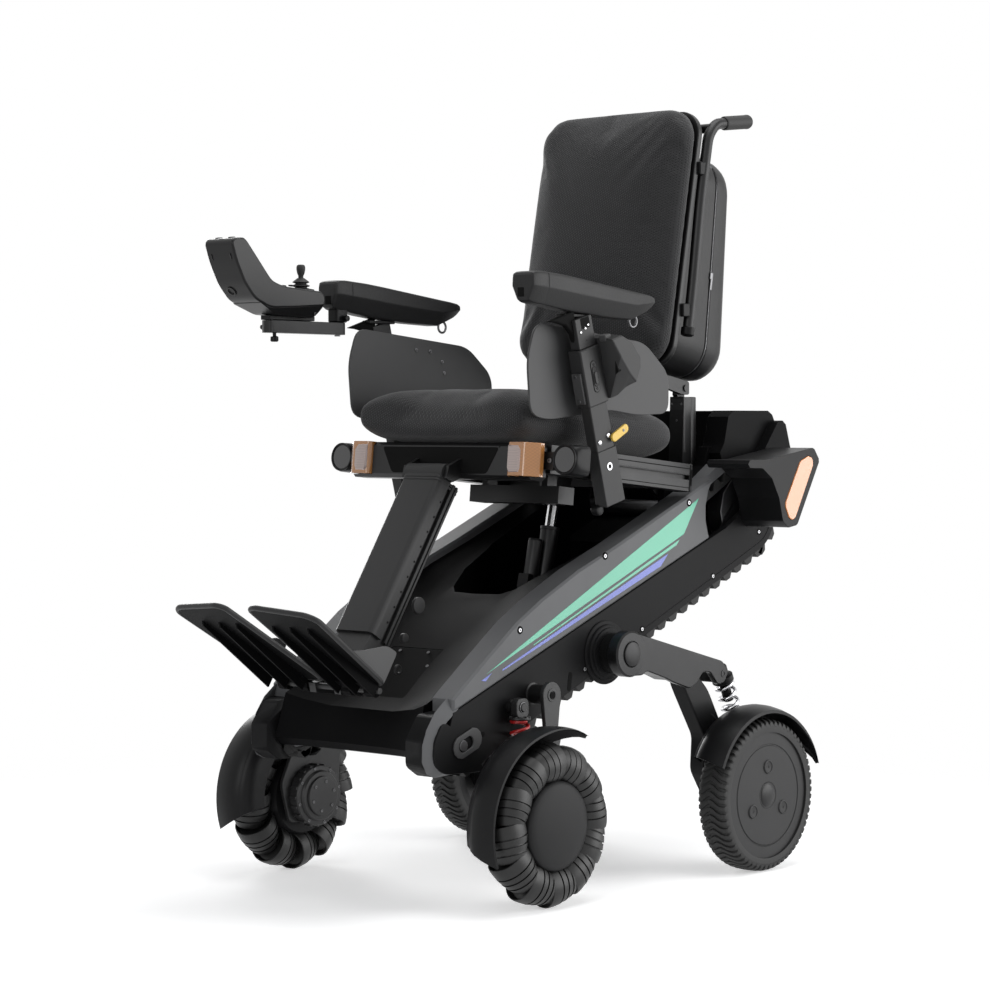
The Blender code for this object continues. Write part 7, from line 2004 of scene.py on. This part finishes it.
def bag():
    """A zipped bag in its filled form, with a domed rear."""
    layers = ((0.0, 0.010), (0.03, 0.004), (0.10, 0.0005), (0.30, 0.0), (POD_ZIP - 0.030, 0.0),
              (POD_ZIP - 0.022, 0.0006), (POD_ZIP - 0.018, 0.0030), (POD_ZIP + 0.018, 0.0030),
              (POD_ZIP + 0.022, 0.0006), (POD_ZIP + 0.030, 0.0), (0.78, 0.0006), (0.86, 0.0030),
              (0.925, 0.0085), (0.965, 0.0160), (0.990, 0.0260), (1.0, 0.0400))
    shell = placed(loft([pod_ring(*layer) for layer in layers], BAG_SHELL, 40), BACK_FRAME)
    bead = [BACK_FRAME @ Vector(place) for place in pod_ring(POD_ZIP, 0.0026)]
    piping = pipe(bead, 0.0017, PIPING, 3, closed=True, smooth=False)
    tooth = block((-0.0016, -0.0005, -0.0011), (0.0016, 0.0005, 0.0011), DARK_STEEL)
    teeth = lined_up(tooth, [BACK_FRAME @ Vector(place) for place in pod_ring(POD_ZIP, 0.0012)], 0.0021,
                     DARK_STEEL, True)
    pull = block((0.1405, 0.003 + POD_ZIP * pod_depth(0.19) - 0.004, 0.176),
                 (0.1452, 0.003 + POD_ZIP * pod_depth(0.19) + 0.004, 0.188), DARK_STEEL, 0.0012)
    tab = block((0.1435, 0.003 + POD_ZIP * pod_depth(0.17) - 0.0025, 0.158),
                (0.1450, 0.003 + POD_ZIP * pod_depth(0.17) + 0.0025, 0.180), DARK_STEEL, 0.0007)
    stand_in("storage_pod", merged(shell, piping, teeth, placed(pull, BACK_FRAME), placed(tab, BACK_FRAME)))


back_shell()
bag()


# Pieces that keep the shape they have in the CAD

refine("drive_shaft", DARK_STEEL, 0.0008)
refine("idler_shaft", DARK_STEEL, 0.0006)
refine("lift_rod", CHROME, 0.0006)
refine("joystick_gimbal", DARK_STEEL, 0.0)


# Floor, backdrop, light and camera

def floor():
    """A white floor that takes the shadow near the chair and fades into the backdrop further out."""
    work = bmesh.new()
    bmesh.ops.create_grid(work, x_segments=8, y_segments=8, size=6.0)
    mesh = bpy.data.meshes.new("floor")
    work.to_mesh(mesh)
    work.free()
    made = Finish("floor_paper", (0.93, 0.93, 0.93), 0.9, 0.0, **{
        "Emission Color": (1.0, 1.0, 1.0, 1.0), "Emission Strength": 0.45})
    where = made.place()
    made.colour(made.blend(made.noise(where, 3.0), (0.925, 0.925, 0.925), (0.935, 0.935, 0.935)))
    reach = made.node("ShaderNodeVectorMath", {"operation": "LENGTH"}, {0: where}).outputs["Value"]
    clear = made.node("ShaderNodeBsdfTransparent")
    paper = made.node("ShaderNodeMixShader", {}, {
        0: made.step(Term(made, reach), 0.75, 1.6), 1: made.shader.outputs[0], 2: clear.outputs[0]})
    made.feed(made.out.inputs["Surface"], paper.outputs[0])
    mesh.materials.append(made.material)
    new_object("floor", mesh)


def world():
    """Soft light from all round, and plain white behind the object for the eye, mirrors and clear pieces."""
    studio = bpy.data.worlds.new("studio")
    studio.use_nodes = True
    studio.node_tree.nodes.clear()
    sky = Wiring(studio.node_tree)
    soft = sky.node("ShaderNodeBackground", {}, {"Color": (0.90, 0.93, 1.0, 1.0), "Strength": 0.12})
    white = sky.node("ShaderNodeBackground", {}, {"Color": (1.0, 1.0, 1.0, 1.0), "Strength": 1.0})
    rays = sky.node("ShaderNodeLightPath").outputs
    seen = rays["Is Camera Ray"]
    for kind in ("Is Glossy Ray", "Is Transmission Ray"):
        seen = sky.sum("MAXIMUM", seen, rays[kind])
    mix = sky.node("ShaderNodeMixShader", {}, {0: seen, 1: soft.outputs[0], 2: white.outputs[0]})
    sky.node("ShaderNodeOutputWorld", {}, {"Surface": mix.outputs[0]})
    bpy.context.scene.world = studio


def softbox(name, place, aim, size, power):
    """A light panel at a place, turned to its aim."""
    light = bpy.data.lights.new(name, "AREA")
    light.shape = "RECTANGLE"
    light.size, light.size_y = size
    light.energy = power
    item = bpy.data.objects.new(name, light)
    bpy.context.scene.collection.objects.link(item)
    item.location = place
    item.rotation_euler = (Vector(aim) - Vector(place)).to_track_quat("-Z", "Y").to_euler()


def lights():
    """A wide panel beside and behind the chair, which its sides mirror, and weak light from ahead."""
    softbox("side", (2.9, 2.1, 1.2), (0, 0, 0.6), (3.2, 2.6), 100)
    softbox("high", (0.4, 0.3, 3.6), (0, 0, 0.5), (2.2, 2.2), 55)
    softbox("front", (0.9, -3.9, 1.7), (0, 0, 0.6), (1.6, 2.2), 34)
    softbox("far", (-3.2, 1.6, 1.6), (0, 0, 0.7), (1.2, 2.2), 50)


CAMERA_PLACE = (3.0627, -3.3573, 0.7405)
CAMERA_TURN = math.radians(42.271)
CAMERA_RISE = math.radians(1.486)
FOCAL_PIXELS = 2771.85
SENSOR_MM = 36
PICTURE_PIXELS = 990


def camera():
    """The photo's camera: its place, its turn and its lens."""
    lens_data = bpy.data.cameras.new("view")
    lens_data.lens = FOCAL_PIXELS * SENSOR_MM / PICTURE_PIXELS
    item = bpy.data.objects.new("view", lens_data)
    bpy.context.scene.collection.objects.link(item)
    flat = math.cos(CAMERA_RISE)
    back = Vector((math.sin(CAMERA_TURN) * flat, -math.cos(CAMERA_TURN) * flat, math.sin(CAMERA_RISE)))
    item.matrix_world = Matrix.Translation(CAMERA_PLACE) @ back.to_track_quat("Z", "Y").to_matrix().to_4x4()
    bpy.context.scene.camera = item


floor()
world()
lights()
camera()
bpy.context.scene.view_settings.view_transform = "Standard"
